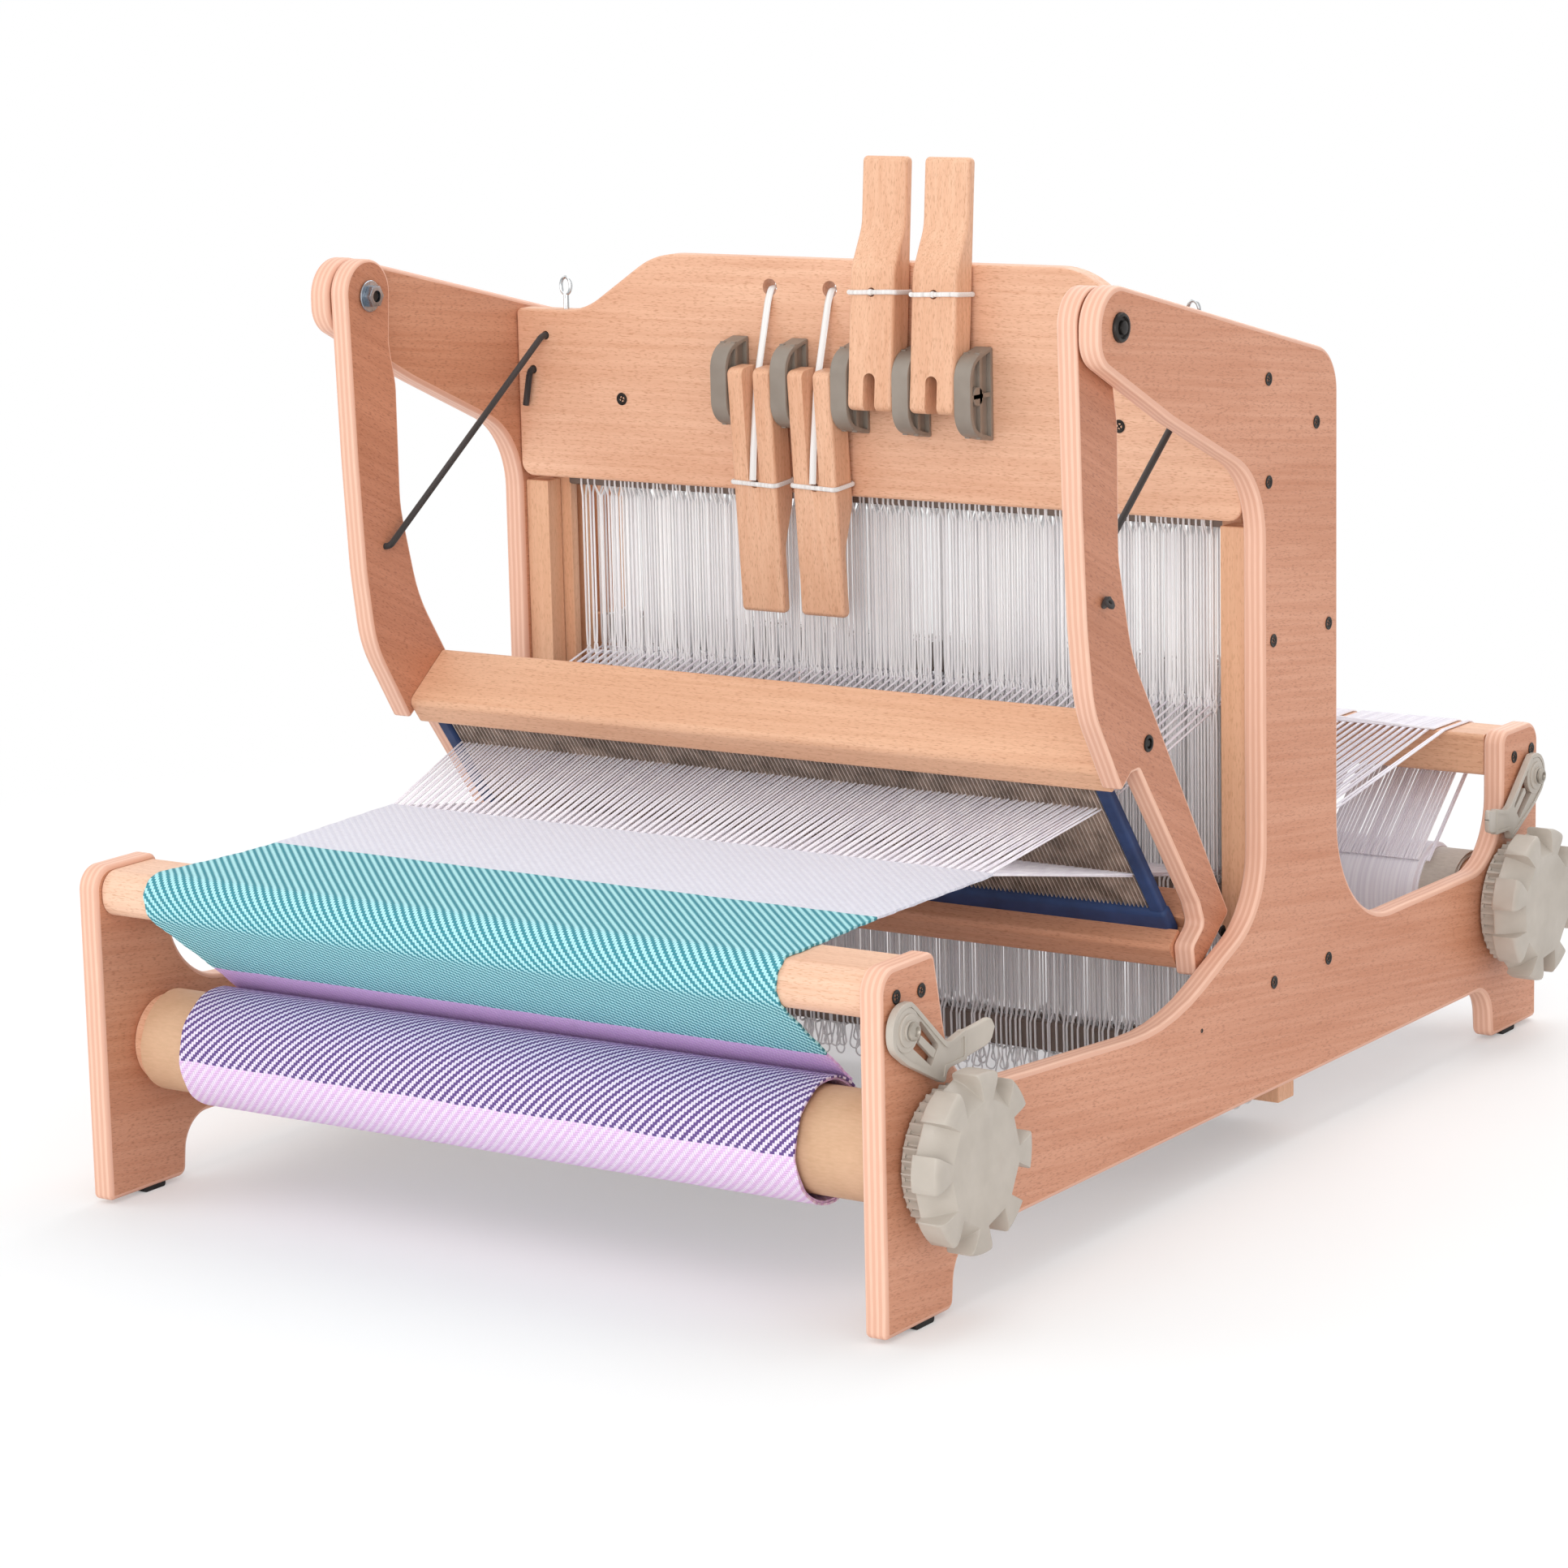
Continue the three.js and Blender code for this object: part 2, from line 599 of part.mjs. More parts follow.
// A side panel with the holes for what it carries.
function sidePanel(side) {
  const plain = plate(panelOutline(), side * INNER, side * OUTER, PANEL_EDGE_ROUND);
  const [inside, outside] = [side * (INNER - 1), side * (OUTER + 1)];
  const cutters = [roundX(BOLT_RADIUS + FIT, inside, outside, PIVOT_BACK, PIVOT_HEIGHT, 16)];
  [FRONT_AXIS, BACK_AXIS].forEach((y) => {
    const radius = side > 0 ? ROLLER_AXLE_RADIUS + FIT : ROLLER_PIN_RADIUS + FIT;
    const end = side > 0 ? OUTER + 1 : BETWEEN + ROLLER_PIN_LENGTH + FIT;
    cutters.push(roundX(radius, side * (INNER - 1), side * end, y, ROLLER_HEIGHT));
  });
  if (side > 0) {
    [PAWL_INSET, LOOM_DEPTH - PAWL_INSET].forEach((y) => {
      const depth = OUTER - PAWL_SCREW_DEPTH - 1;
      cutters.push(roundX(PAWL_SCREW_RADIUS + FIT, depth, OUTER + 1, y, PAWL_HEIGHT, 12));
    });
  }
  footPlaces().forEach((y) => {
    const half = RUBBER_FOOT_LENGTH / 2 + FIT;
    const height = RUBBER_FOOT_HEIGHT - RUBBER_FOOT_PROUD + FIT;
    cutters.push(block(side * (INNER - 1), side * (OUTER + 1), y - half, y + half, -1, height));
  });
  return without(plain, cutters);
}

function footPlaces() {
  return [FOOT_INSET, LOOM_DEPTH - FOOT_INSET];
}

function rubberFoot(side, y) {
  const half = RUBBER_FOOT_LENGTH / 2;
  const outline = rounded([
    [y - half, -RUBBER_FOOT_PROUD, 1.5],
    [y + half, -RUBBER_FOOT_PROUD, 1.5],
    [y + half, RUBBER_FOOT_HEIGHT - RUBBER_FOOT_PROUD],
    [y - half, RUBBER_FOOT_HEIGHT - RUBBER_FOOT_PROUD],
  ]);
  return plate(outline, side * (INNER + 1), side * (OUTER - 1));
}

// A beam between the posts, with the corners that the threads run round well rounded.
function beam(front, outerIsFront) {
  const soft = [BEAM_ROUND, BEAM_INNER_ROUND];
  const [frontRound, backRound] = outerIsFront ? soft : [...soft].reverse();
  const bottom = BEAM_TOP - BEAM_HEIGHT;
  const outline = rounded([
    [front, bottom, frontRound],
    [front + BEAM_DEPTH, bottom, backRound],
    [front + BEAM_DEPTH, BEAM_TOP, backRound],
    [front, BEAM_TOP, frontRound],
  ]);
  return plate(outline, -BETWEEN, BETWEEN);
}

function leverPlaces() {
  return Array.from({ length: LEVER_COUNT }, (_, i) => (i - (LEVER_COUNT - 1) / 2) * LEVER_PITCH);
}

// The castle's front board, cut for the lever cords, the elastics and the split pins.
function castleBoard() {
  const outline = rounded([
    [-BETWEEN, BOARD_BOTTOM, BOARD_LOWER_ROUND],
    [BETWEEN, BOARD_BOTTOM, BOARD_LOWER_ROUND],
    [BETWEEN, BOARD_SHOULDER, SHOULDER_ROUND],
    [CREST_FOOT_HALF, BOARD_SHOULDER, CREST_FOOT_BEND],
    [CREST_HALF, BOARD_CREST, CREST_BEND],
    [-CREST_HALF, BOARD_CREST, CREST_BEND],
    [-CREST_FOOT_HALF, BOARD_SHOULDER, CREST_FOOT_BEND],
    [-BETWEEN, BOARD_SHOULDER, SHOULDER_ROUND],
  ]);
  const plain = board(outline, CASTLE_FRONT, BOARD_BACK, BOARD_EDGE_ROUND);
  const through = [CASTLE_FRONT - 1, BOARD_BACK + 1];
  const cutters = leverPlaces().map((x) => roundY(CORD_HOLE_RADIUS, ...through, x, CORD_HOLE_HEIGHT));
  [-1, 1].forEach((side) => {
    [ELASTIC_UPPER_HOLE, ELASTIC_LOWER_HOLE].forEach(([x, z]) => {
      cutters.push(roundY(ELASTIC_HOLE_RADIUS, ...through, side * x, LEVER_PIVOT_HEIGHT + z));
    });
    const middle = CASTLE_FRONT + BOARD_THICKNESS / 2;
    const bottom = BOARD_SHOULDER - PIN_DEPTH - FIT;
    cutters.push(roundZ(PIN_WIRE + FIT, bottom, BOARD_SHOULDER + 1, side * PIN_OFFSET, middle, 12));
  });
  return without(plain, cutters);
}

// The rail inside the castle that steadies the last shaft's cord.
function cordRail() {
  const front = CORD_RAIL_MIDDLE - CORD_RAIL_THICKNESS / 2;
  const top = CORD_RAIL_BOTTOM + CORD_RAIL_HEIGHT;
  const plain = block(-BETWEEN, BETWEEN, front, front + CORD_RAIL_THICKNESS, CORD_RAIL_BOTTOM, top);
  const x = leverPlaces()[LEVER_COUNT - 1];
  const hole = roundZ(CORD_RADIUS + CORD_CLEAR, CORD_RAIL_BOTTOM - 1, top + 1, x, CORD_RAIL_MIDDLE);
  return without(plain, [hole]);
}

function bracketOutline(inset) {
  const back = CASTLE_FRONT - FIT;
  const low = LEVER_PIVOT_HEIGHT - BRACKET_HEIGHT / 2;
  const high = LEVER_PIVOT_HEIGHT + BRACKET_HEIGHT / 2;
  const front = back - BRACKET_REACH;
  return rounded([
    [back - inset, low + inset, 1],
    [back - inset, high - inset, 1],
    [front + inset, high - inset - BRACKET_CHIN, BRACKET_ROUND - inset],
    [front + inset, low + inset + BRACKET_CHIN, BRACKET_ROUND - inset],
  ]);
}

// A bracket between levers: pocketed cheeks with a ribbed cross, a boss and stub pins.
function leverBracket(index) {
  const x = (index - LEVER_COUNT / 2) * LEVER_PITCH;
  const half = BRACKET_WIDTH / 2;
  const pins = [index > 0 ? -1 : 0, index < LEVER_COUNT ? 1 : 0].filter((side) => side !== 0);
  let body = solidOf(plate(bracketOutline(0), x - half, x + half));
  const rib = BRACKET_WALL / 2;
  const [y, z] = [LEVER_PIVOT_BACK, LEVER_PIVOT_HEIGHT];
  [-1, 1].forEach((side) => {
    const floor = x + side * (half - BRACKET_POCKET);
    const face = x + side * (half + 1);
    const kept = [
      block(floor, face, y - BRACKET_REACH, y + BRACKET_REACH, z - rib, z + rib),
      block(floor, face, y - rib, y + rib, z - BRACKET_HEIGHT, z + BRACKET_HEIGHT),
      roundX(STUB_RADIUS + BRACKET_WALL, floor, face, y, z, 12),
    ];
    const pocket = solidOf(plate(bracketOutline(BRACKET_WALL), floor, face));
    body = body.subtract(kept.map(solidOf).reduce((whole, next) => whole.subtract(next), pocket));
  });
  pins.forEach((side) => {
    const end = x + side * (half + STUB_LENGTH);
    body = body.add(solidOf(roundX(STUB_RADIUS, x, end, y, z, 12)));
  });
  return geometryOf(body);
}

// A lever upright about its pivot, its flat face to the back and its handle up.
function lever() {
  const flat = LEVER_THICKNESS / 2;
  const handleFace = flat - HANDLE_THICKNESS;
  const half = LEVER_WIDTH / 2;
  const curveEnd = LEVER_CURVE_START + LEVER_CURVE_LENGTH;
  const outline = rounded([
    [-flat, -LEVER_FORK, LEVER_FORK_ROUND],
    [flat, -LEVER_FORK, LEVER_FORK_ROUND],
    [flat, LEVER_HANDLE, LEVER_TIP_ROUND],
    [handleFace, LEVER_HANDLE, LEVER_TIP_ROUND],
    [handleFace, curveEnd, LEVER_CURVE_ROUND],
    [-flat, LEVER_CURVE_START, LEVER_CURVE_ROUND],
  ]);
  const frontEnd = SLOT_FRONT_LENGTH - LEVER_FORK;
  const backEnd = SLOT_BACK_LENGTH - LEVER_FORK;
  const rise = (backEnd - frontEnd) / LEVER_THICKNESS;
  const slot = [
    new THREE.Vector2(-flat - 1, -LEVER_FORK - 1),
    new THREE.Vector2(flat + 1, -LEVER_FORK - 1),
    new THREE.Vector2(flat + 1, backEnd + rise),
    new THREE.Vector2(-flat - 1, frontEnd - rise),
  ];
  const cutters = [
    plate(slot, -SLOT_WIDTH / 2, SLOT_WIDTH / 2),
    roundY(TIE_HOLE_RADIUS, -flat - 1, flat + 1, 0, TIE_FROM_PIVOT),
  ];
  [-1, 1].forEach((side) => {
    const deep = side * (half - STUB_LENGTH);
    cutters.push(roundX(STUB_RADIUS + FIT, deep, side * (half + 1), 0, 0, 12));
  });
  return without(plate(outline, -half, half, 1.2), cutters);
}

function isRaised(index) {
  return index < RAISED_SHAFTS;
}

function leverTurn(index) {
  return isRaised(index) ? Math.PI + LEVER_LEAN : -LEVER_LEAN;
}

function shaftMiddle(index) {
  return CASTLE_FRONT + FIRST_SHAFT + index * SHAFT_PITCH;
}

function shaftDrop(index) {
  return isRaised(index) ? 0 : SHAFT_TRAVEL;
}

// The cord from a lever's tie hole, through the board and down to its shaft.
function liftCord(index) {
  const x = leverPlaces()[index];
  const placed = new THREE.Matrix4()
    .makeTranslation(x, LEVER_PIVOT_BACK, LEVER_PIVOT_HEIGHT)
    .multiply(new THREE.Matrix4().makeRotationX(leverTurn(index)));
  const flat = LEVER_THICKNESS / 2;
  const half = LEVER_WIDTH / 2;
  const [x0, y0] = [half + FIT, flat + FIT];
  const ring = (grow) => [
    [-x0 - grow, -y0 - grow],
    [x0 + grow, -y0 - grow],
    [x0 + grow, y0 + grow],
    [-x0 - grow, y0 + grow],
  ].map(([a, b]) => new THREE.Vector2(a, b));
  const loop = extruded(ring(LOOP_BAND), 2 * CORD_RADIUS, 0, [ring(0)])
    .translate(0, 0, TIE_FROM_PIVOT - CORD_RADIUS)
    .applyMatrix4(placed);
  const knot = new THREE.Vector3(0, y0 + LOOP_BAND / 2, TIE_FROM_PIVOT).applyMatrix4(placed);
  const y = shaftMiddle(index);
  const barTop = RAISED_TOP - shaftDrop(index) + FIT;
  const last = index === LEVER_COUNT - 1;
  const inside = last
    ? [
        [x, CORD_RAIL_MIDDLE, CORD_RAIL_BOTTOM + CORD_RAIL_HEIGHT + CORD_LEAD_IN],
        [x, CORD_RAIL_MIDDLE, CORD_RAIL_BOTTOM - CORD_LEAD_OUT],
      ]
    : [[x, y, CORD_HOLE_HEIGHT - CORD_TURN_DROP]];
  const outside = isRaised(index) ? [[x, CASTLE_FRONT - CORD_RADIUS - 1, CORD_HOLE_HEIGHT - FIT]] : [];
  const stops = [
    knot.toArray(),
    ...outside,
    [x, BOARD_BACK + 1, CORD_HOLE_HEIGHT],
    ...inside,
    [x, y, barTop + CORD_LEAD_OUT],
    [x, y, barTop],
  ];
  return joined([loop, cord(stops, CORD_RADIUS, CORD_BEND)]);
}

// A shaft: two bars and the struts that ride in the guides.
function shaft(index) {
  const bottom = RAISED_BOTTOM - shaftDrop(index);
  const top = RAISED_TOP - shaftDrop(index);
  const y = shaftMiddle(index);
  const half = BAR_THICKNESS / 2;
  const outer = BAR_HALF + STRUT_WIDTH;
  const outline = rounded([
    [-outer, bottom, STRUT_ROUND],
    [outer, bottom, STRUT_ROUND],
    [outer, top, STRUT_ROUND],
    [-outer, top, STRUT_ROUND],
  ]);
  const through = BAR_THICKNESS;
  const window = block(-BAR_HALF, BAR_HALF, y - through, y + through, bottom + BAR_HEIGHT, top - BAR_HEIGHT);
  return without(board(outline, y - half, y + half), [window]);
}

// The heddles on a shaft: cord strands between the sleeves that their loops make round the bars.
function heddles(index) {
  const bottom = RAISED_BOTTOM - shaftDrop(index);
  const top = RAISED_TOP - shaftDrop(index);
  const y = shaftMiddle(index);
  const y0 = BAR_THICKNESS / 2 + FIT;
  const half = THREADS_HALF + STRAND_WIDTH;
  const sleeve = (low) => {
    const hole = [
      [y - y0, low - FIT],
      [y + y0, low - FIT],
      [y + y0, low + BAR_HEIGHT + FIT],
      [y - y0, low + BAR_HEIGHT + FIT],
    ].map(([a, b]) => new THREE.Vector2(a, b));
    const wall = y0 + SLEEVE_WALL;
    const rim = [
      [y - wall, low - FIT - SLEEVE_WALL],
      [y + wall, low - FIT - SLEEVE_WALL],
      [y + wall, low + BAR_HEIGHT + FIT + SLEEVE_WALL],
      [y - wall, low + BAR_HEIGHT + FIT + SLEEVE_WALL],
    ].map(([a, b]) => new THREE.Vector2(a, b));
    return plate(rim, -half, half, 0, [hole]);
  };
  const strandLow = bottom + BAR_HEIGHT + FIT + SLEEVE_WALL / 2;
  const strandHigh = top - BAR_HEIGHT - FIT - SLEEVE_WALL / 2;
  const strands = Array.from({ length: THREAD_BANDS + 1 }, (_, i) => {
    const x = i * THREAD_PITCH - THREADS_HALF;
    const w = STRAND_WIDTH / 2;
    return block(x - w, x + w, y - STRAND_DEPTH / 2, y + STRAND_DEPTH / 2, strandLow, strandHigh);
  });
  const whole = joined([sleeve(bottom), sleeve(top - BAR_HEIGHT), ...strands]);
  const x = leverPlaces()[index];
  const room = CORD_RADIUS + CORD_CLEAR;
  return without(whole, [block(x - room, x + room, y - y0, y + y0, top + FIT / 2, top + CORD_CLEAR + 1)]);
}

// A comb-shaped guide on a panel, with a groove for each shaft and a foot that stops the lowest ones.
function shaftGuide(side) {
  const inner = side * (INNER - GUIDE_REACH);
  const face = side * BETWEEN;
  const floor = side * (INNER - GUIDE_BASE - FIT);
  const front = CASTLE_FRONT + GUIDE_FRONT;
  const comb = block(inner, face, front, front + GUIDE_DEPTH, GUIDE_BOTTOM, GUIDE_TOP);
  const grooves = Array.from({ length: LEVER_COUNT }, (_, i) => {
    const y = shaftMiddle(i);
    const w = GUIDE_GROOVE / 2;
    return block(inner - side, floor, y - w, y + w, GUIDE_BOTTOM - 1, GUIDE_TOP + 1);
  });
  const footBack = CASTLE_FRONT + FIRST_SHAFT + 2 * SHAFT_PITCH + GUIDE_FOOT_DEPTH / 2;
  const footFront = footBack - GUIDE_FOOT_DEPTH;
  const foot = block(floor, face, footFront, footBack, GUIDE_FOOT_BOTTOM, GUIDE_BOTTOM + 1);
  const stopTop = RAISED_BOTTOM - SHAFT_TRAVEL - FIT;
  const reach = side * (INNER - GUIDE_REACH - GUIDE_STOP_REACH);
  const stop = block(reach, face, footFront, footBack, GUIDE_FOOT_BOTTOM, stopTop);
  return joined([without(comb, grooves), foot, stop]);
}

// The frame in which the beater's rails and reed are drawn: Y back through the reed, Z up along it.
function beaterFrame() {
  const frame = new THREE.Group();
  frame.position.set(0, PIVOT_BACK + BEATER_CORNER_BACK, BEATER_CORNER_HEIGHT);
  frame.rotation.x = BEATER_LEAN;
  frame.updateMatrix();
  return frame;
}

// A point on the beater in the loom's Y and Z, from its distances down the reed and back through it.
function onBeater(down, back) {
  const point = new THREE.Vector3(0, back, -down).applyMatrix4(beaterFrame().matrix);
  return [point.y, point.z];
}

// A beater arm: a round head, a long neck and a foot with the slot that the reed slides into.
function beaterArm(side) {
  const [y, z] = [PIVOT_BACK, PIVOT_HEIGHT];
  const r = HORN_HEAD_RADIUS - ARM_HEAD_LESS;
  const railEnd = BEATER_BOTTOM_RAIL + BEATER_RAIL_HEIGHT;
  const wall = REED_FRONT + REED_DEPTH + ARM_WALL;
  const belowPivot = (edge) => ([back, down, round]) => [edge + back, z - down, round];
  const aboveRail = (edge) => ([back, up, round]) => [edge + back, BEATER_CORNER_HEIGHT + up, round];
  const outline = rounded([
    [y - r, z + r, 0.93 * r],
    [y + r, z + r, 0.93 * r],
    ...ARM_NECK_BACK.map(belowPivot(y + r)),
    ...ARM_ELBOW_BACK.map(aboveRail(y + r)),
    [...onBeater(railEnd, ARM_FOOT_BACK), 3],
    [...onBeater(railEnd, ARM_FOOT_FRONT), 2],
    [...onBeater(REED_BOTTOM - ARM_CUT_FLOOR, ARM_LIP), 5],
    [...onBeater(REED_BOTTOM - ARM_CUT_FLOOR, wall - ARM_CUT_BEND), 4],
    [...onBeater(REED_BOTTOM - ARM_CUT_SLOPE, wall), 6],
    [...onBeater(REED_TOP + ARM_CUT_BEND, wall), 3],
    [...onBeater(REED_TOP - ARM_CUT_ROOF, REED_FRONT + ARM_CUT_BEND), 2],
    [...onBeater(REED_TOP - ARM_CUT_ROOF, ARM_LIP), 2],
    ...ARM_ELBOW_FRONT.map(aboveRail(y - r)),
    belowPivot(y - r)(ARM_NECK_FRONT),
  ]);
  const plain = plate(outline.reverse(), side * ARM_INNER, side * ARM_OUTER, ARM_EDGE_ROUND);
  const [x0, x1] = [side * (ARM_INNER - 1), side * (ARM_OUTER + 1)];
  const elastic = [y + ELASTIC_ARM_BACK, BEATER_CORNER_HEIGHT + ELASTIC_ARM_RISE];
  return without(plain, [
    roundX(BOLT_RADIUS + FIT, x0, x1, y, z, 16),
    roundX(ELASTIC_HOLE_RADIUS, x0, x1, ...elastic, 12),
  ]);
}

function beaterRail(top, front, depth, edge) {
  const outline = rounded([
    [front, -top - BEATER_RAIL_HEIGHT, edge],
    [front + depth, -top - BEATER_RAIL_HEIGHT, edge],
    [front + depth, -top, edge],
    [front, -top, edge],
  ]);
  return plate(outline, FIT - ARM_INNER, ARM_INNER - FIT);
}

function reedGroove(top, bottom) {
  const length = ARM_INNER + 1;
  return block(-length, length, REED_FRONT - FIT, REED_FRONT + REED_DEPTH + FIT, -bottom, -top);
}

// The reed: baulks and end pieces that hold a row of steel dents.
function reed() {
  const back = REED_FRONT + REED_DEPTH;
  const middle = REED_FRONT + REED_DEPTH / 2;
  const dents = Array.from({ length: THREAD_BANDS + 1 }, (_, i) => {
    const x = i * THREAD_PITCH - THREADS_HALF;
    const [w, d] = [DENT_WIDTH / 2, DENT_DEPTH / 2];
    return block(x - w, x + w, middle - d, middle + d, -REED_BOTTOM + 2, -REED_TOP - 2);
  });
  const frame = without(block(-REED_HALF, REED_HALF, REED_FRONT, back, -REED_BOTTOM, -REED_TOP), [
    block(
      REED_END - REED_HALF,
      REED_HALF - REED_END,
      REED_FRONT - 1,
      back + 1,
      REED_BOTTOM_BAULK - REED_BOTTOM,
      -REED_TOP - REED_TOP_BAULK,
    ),
  ]);
  return joined([frame, ...dents]);
}

function pivotBolt(side) {
  const inner = side * (ARM_INNER - NUT_HEIGHT - BOLT_PROUD);
  const headBack = side * (OUTER + FIT);
  const headFront = side * (OUTER + FIT + BOLT_HEAD_HEIGHT);
  return joined([
    roundX(BOLT_RADIUS, inner, headFront, PIVOT_BACK, PIVOT_HEIGHT, 16),
    roundX(BOLT_HEAD_RADIUS, headBack, headFront, PIVOT_BACK, PIVOT_HEIGHT, 20),
  ]);
}

function pivotNut(side) {
  const from = ARM_INNER - FIT;
  const to = from - NUT_HEIGHT;
  const hex = roundX(NUT_RADIUS, side * from, side * to, PIVOT_BACK, PIVOT_HEIGHT, 6);
  const bore = roundX(BOLT_RADIUS + FIT, side * (from + 1), side * (to - 1), PIVOT_BACK, PIVOT_HEIGHT, 16);
  return without(hex, [bore]);
}

// An elastic from its knot on the arm, through the board, down behind it and out again.
function elastic(side) {
  const y = PIVOT_BACK + ELASTIC_ARM_BACK;
  const z = BEATER_CORNER_HEIGHT + ELASTIC_ARM_RISE;
  const onBoard = ([across, up]) => [across, LEVER_PIVOT_HEIGHT + up];
  const [upX, upZ] = onBoard(ELASTIC_UPPER_HOLE);
  const [lowX, lowZ] = onBoard(ELASTIC_LOWER_HOLE);
  const [tailX, tailZ] = onBoard(ELASTIC_TAIL_END);
  const behind = BOARD_BACK + ELASTIC_BEND;
  const ahead = CASTLE_FRONT - ELASTIC_BEND;
  const stops = [
    [side * (ARM_OUTER + ELASTIC_KNOT_RADIUS), y, z],
    [side * (ARM_INNER - ELASTIC_BEND), y, z],
    [side * upX, ahead, upZ],
    [side * upX, behind, upZ],
    [side * lowX, behind, lowZ],
    [side * lowX, ahead, lowZ],
    [side * tailX, ahead, tailZ],
  ];
  const knot = new THREE.SphereGeometry(ELASTIC_KNOT_RADIUS, 10, 8);
  knot.translate(side * (ARM_OUTER + ELASTIC_KNOT_RADIUS + FIT), y, z);
  return joined([cord(stops, ELASTIC_RADIUS, ELASTIC_BEND), knot]);
}

// A roller with a pin in the left panel and an axle through the right one.
function roller(y) {
  return joined([
    roundX(ROLLER_RADIUS, -BETWEEN, BETWEEN, y, ROLLER_HEIGHT, 32),
    roundX(ROLLER_PIN_RADIUS, -BETWEEN - ROLLER_PIN_LENGTH, 0, y, ROLLER_HEIGHT),
    roundX(ROLLER_AXLE_RADIUS, 0, KNOB_FRONT - KNOB_WALL, y, ROLLER_HEIGHT),
  ]);
}

// The notches between a knob's lobes, each with a floor that slopes from its back in to its face.
function knobNotches(y, turn) {
  const half = NOTCH_SHARE * LOBE_RADIUS * Math.sin(Math.PI / LOBE_COUNT);
  const profile = [
    [KNOB_BACK - KNOB_ROUND - 1, LOBE_RADIUS - NOTCH_BACK_DEPTH],
    [KNOB_BACK, LOBE_RADIUS - NOTCH_BACK_DEPTH],
    [KNOB_FRONT, LOBE_RADIUS - NOTCH_FACE_DEPTH],
    [KNOB_FRONT + 1, LOBE_RADIUS - NOTCH_FACE_DEPTH],
    [KNOB_FRONT + 1, LOBE_RADIUS + 1],
    [KNOB_BACK - KNOB_ROUND - 1, LOBE_RADIUS + 1],
  ].map(([x, r]) => new THREE.Vector2(x, r));
  return Array.from({ length: LOBE_COUNT }, (_, i) => {
    const angle = THREE.MathUtils.degToRad(turn) + (2 * Math.PI * (i + 0.5)) / LOBE_COUNT;
    return board(profile, -half, half).rotateX(angle - Math.PI / 2).translate(0, y, ROLLER_HEIGHT);
  });
}

// A ratchet wheel: a toothed ring and a lobed hand knob on the roller's axle.
function ratchetWheel(y, sense, turn) {
  const tooth = Array.from({ length: 2 * TOOTH_COUNT }, (_, i) => {
    const tip = i % 2 === 0;
    const radius = tip ? TOOTH_RADIUS : TOOTH_RADIUS - TOOTH_DEPTH;
    const lag = tip ? 0 : TOOTH_LAG;
    const angle = Math.PI / 2 - sense * ((i + lag) * Math.PI) / TOOTH_COUNT;
    return new THREE.Vector2(y + radius * Math.cos(angle), ROLLER_HEIGHT + radius * Math.sin(angle));
  });
  const disc = Array.from({ length: KNOB_SIDES }, (_, i) => {
    const angle = (2 * Math.PI * i) / KNOB_SIDES;
    return new THREE.Vector2(y + LOBE_RADIUS * Math.cos(angle), ROLLER_HEIGHT + LOBE_RADIUS * Math.sin(angle));
  });
  const ring = plate(sense > 0 ? tooth.reverse() : tooth, OUTER + WHEEL_STANDOFF, KNOB_BACK + 1);
  const knob = without(plate(disc, KNOB_BACK - KNOB_ROUND, KNOB_FRONT, KNOB_ROUND), knobNotches(y, turn));
  const bore = roundX(ROLLER_AXLE_RADIUS + FIT, OUTER, KNOB_FRONT - KNOB_WALL + FIT, y, ROLLER_HEIGHT);
  return without(joined([ring, knob]), [bore]);
}

// A pawl seen from the right, from its screw at the origin: its tip and its tab lie on the +Y side.
function pawl(y, sense) {
  const outline = rounded([
    [-PAWL_BOSS_RADIUS, PAWL_BOSS_RADIUS, PAWL_BOSS_RADIUS - 0.5],
    ...PAWL_LOWER_EDGE,
    ...PAWL_UPPER_EDGE,
    [4, PAWL_BOSS_RADIUS, 4],
  ]);
  const window = rounded(PAWL_WINDOW);
  const back = OUTER + PAWL_STANDOFF;
  const face = back + PAWL_THICKNESS;
  const placed = (points) => points.map((p) => new THREE.Vector2(y + sense * p.x, PAWL_HEIGHT + p.y));
  const ordered = (points) => (sense > 0 ? points : points.reverse());
  return without(
    joined([
      plate(ordered(placed(outline)), back, face),
      roundX(PAWL_HUB_RADIUS, back + 1, face + PAWL_HUB_HEIGHT, y, PAWL_HEIGHT),
    ]),
    [
      plate(ordered(placed(window)), back - 1, face + 1),
      roundX(PAWL_SCREW_RADIUS + FIT, back - 1, face + PAWL_HUB_HEIGHT + 1, y, PAWL_HEIGHT, 12),
    ],
  );
}

function pawlScrew(y) {
  const under = OUTER + PAWL_STANDOFF + PAWL_THICKNESS + PAWL_HUB_HEIGHT + FIT;
  return joined([
    roundX(PAWL_SCREW_RADIUS, OUTER - PAWL_SCREW_DEPTH, under + 1, y, PAWL_HEIGHT, 12),
    roundX(PAWL_SCREW_HEAD, under, under + PAWL_SCREW_HEAD_HEIGHT, y, PAWL_HEIGHT, 16),
  ]);
}

// The line that touches two circles and crosses between them, as its two touching points.
function crossTangent(first, firstRadius, second, secondRadius) {
  const span = second.clone().sub(first);
  const lean = Math.acos((firstRadius + secondRadius) / span.length());
  const angle = span.angle();
  const at = (centre, radius, direction) =>
    new THREE.Vector2(centre.x + radius * Math.cos(direction), centre.y + radius * Math.sin(direction));
  return {
    start: at(first, firstRadius, angle - lean),
    end: at(second, secondRadius, angle - lean + Math.PI),
    direction: angle - lean,
  };
}

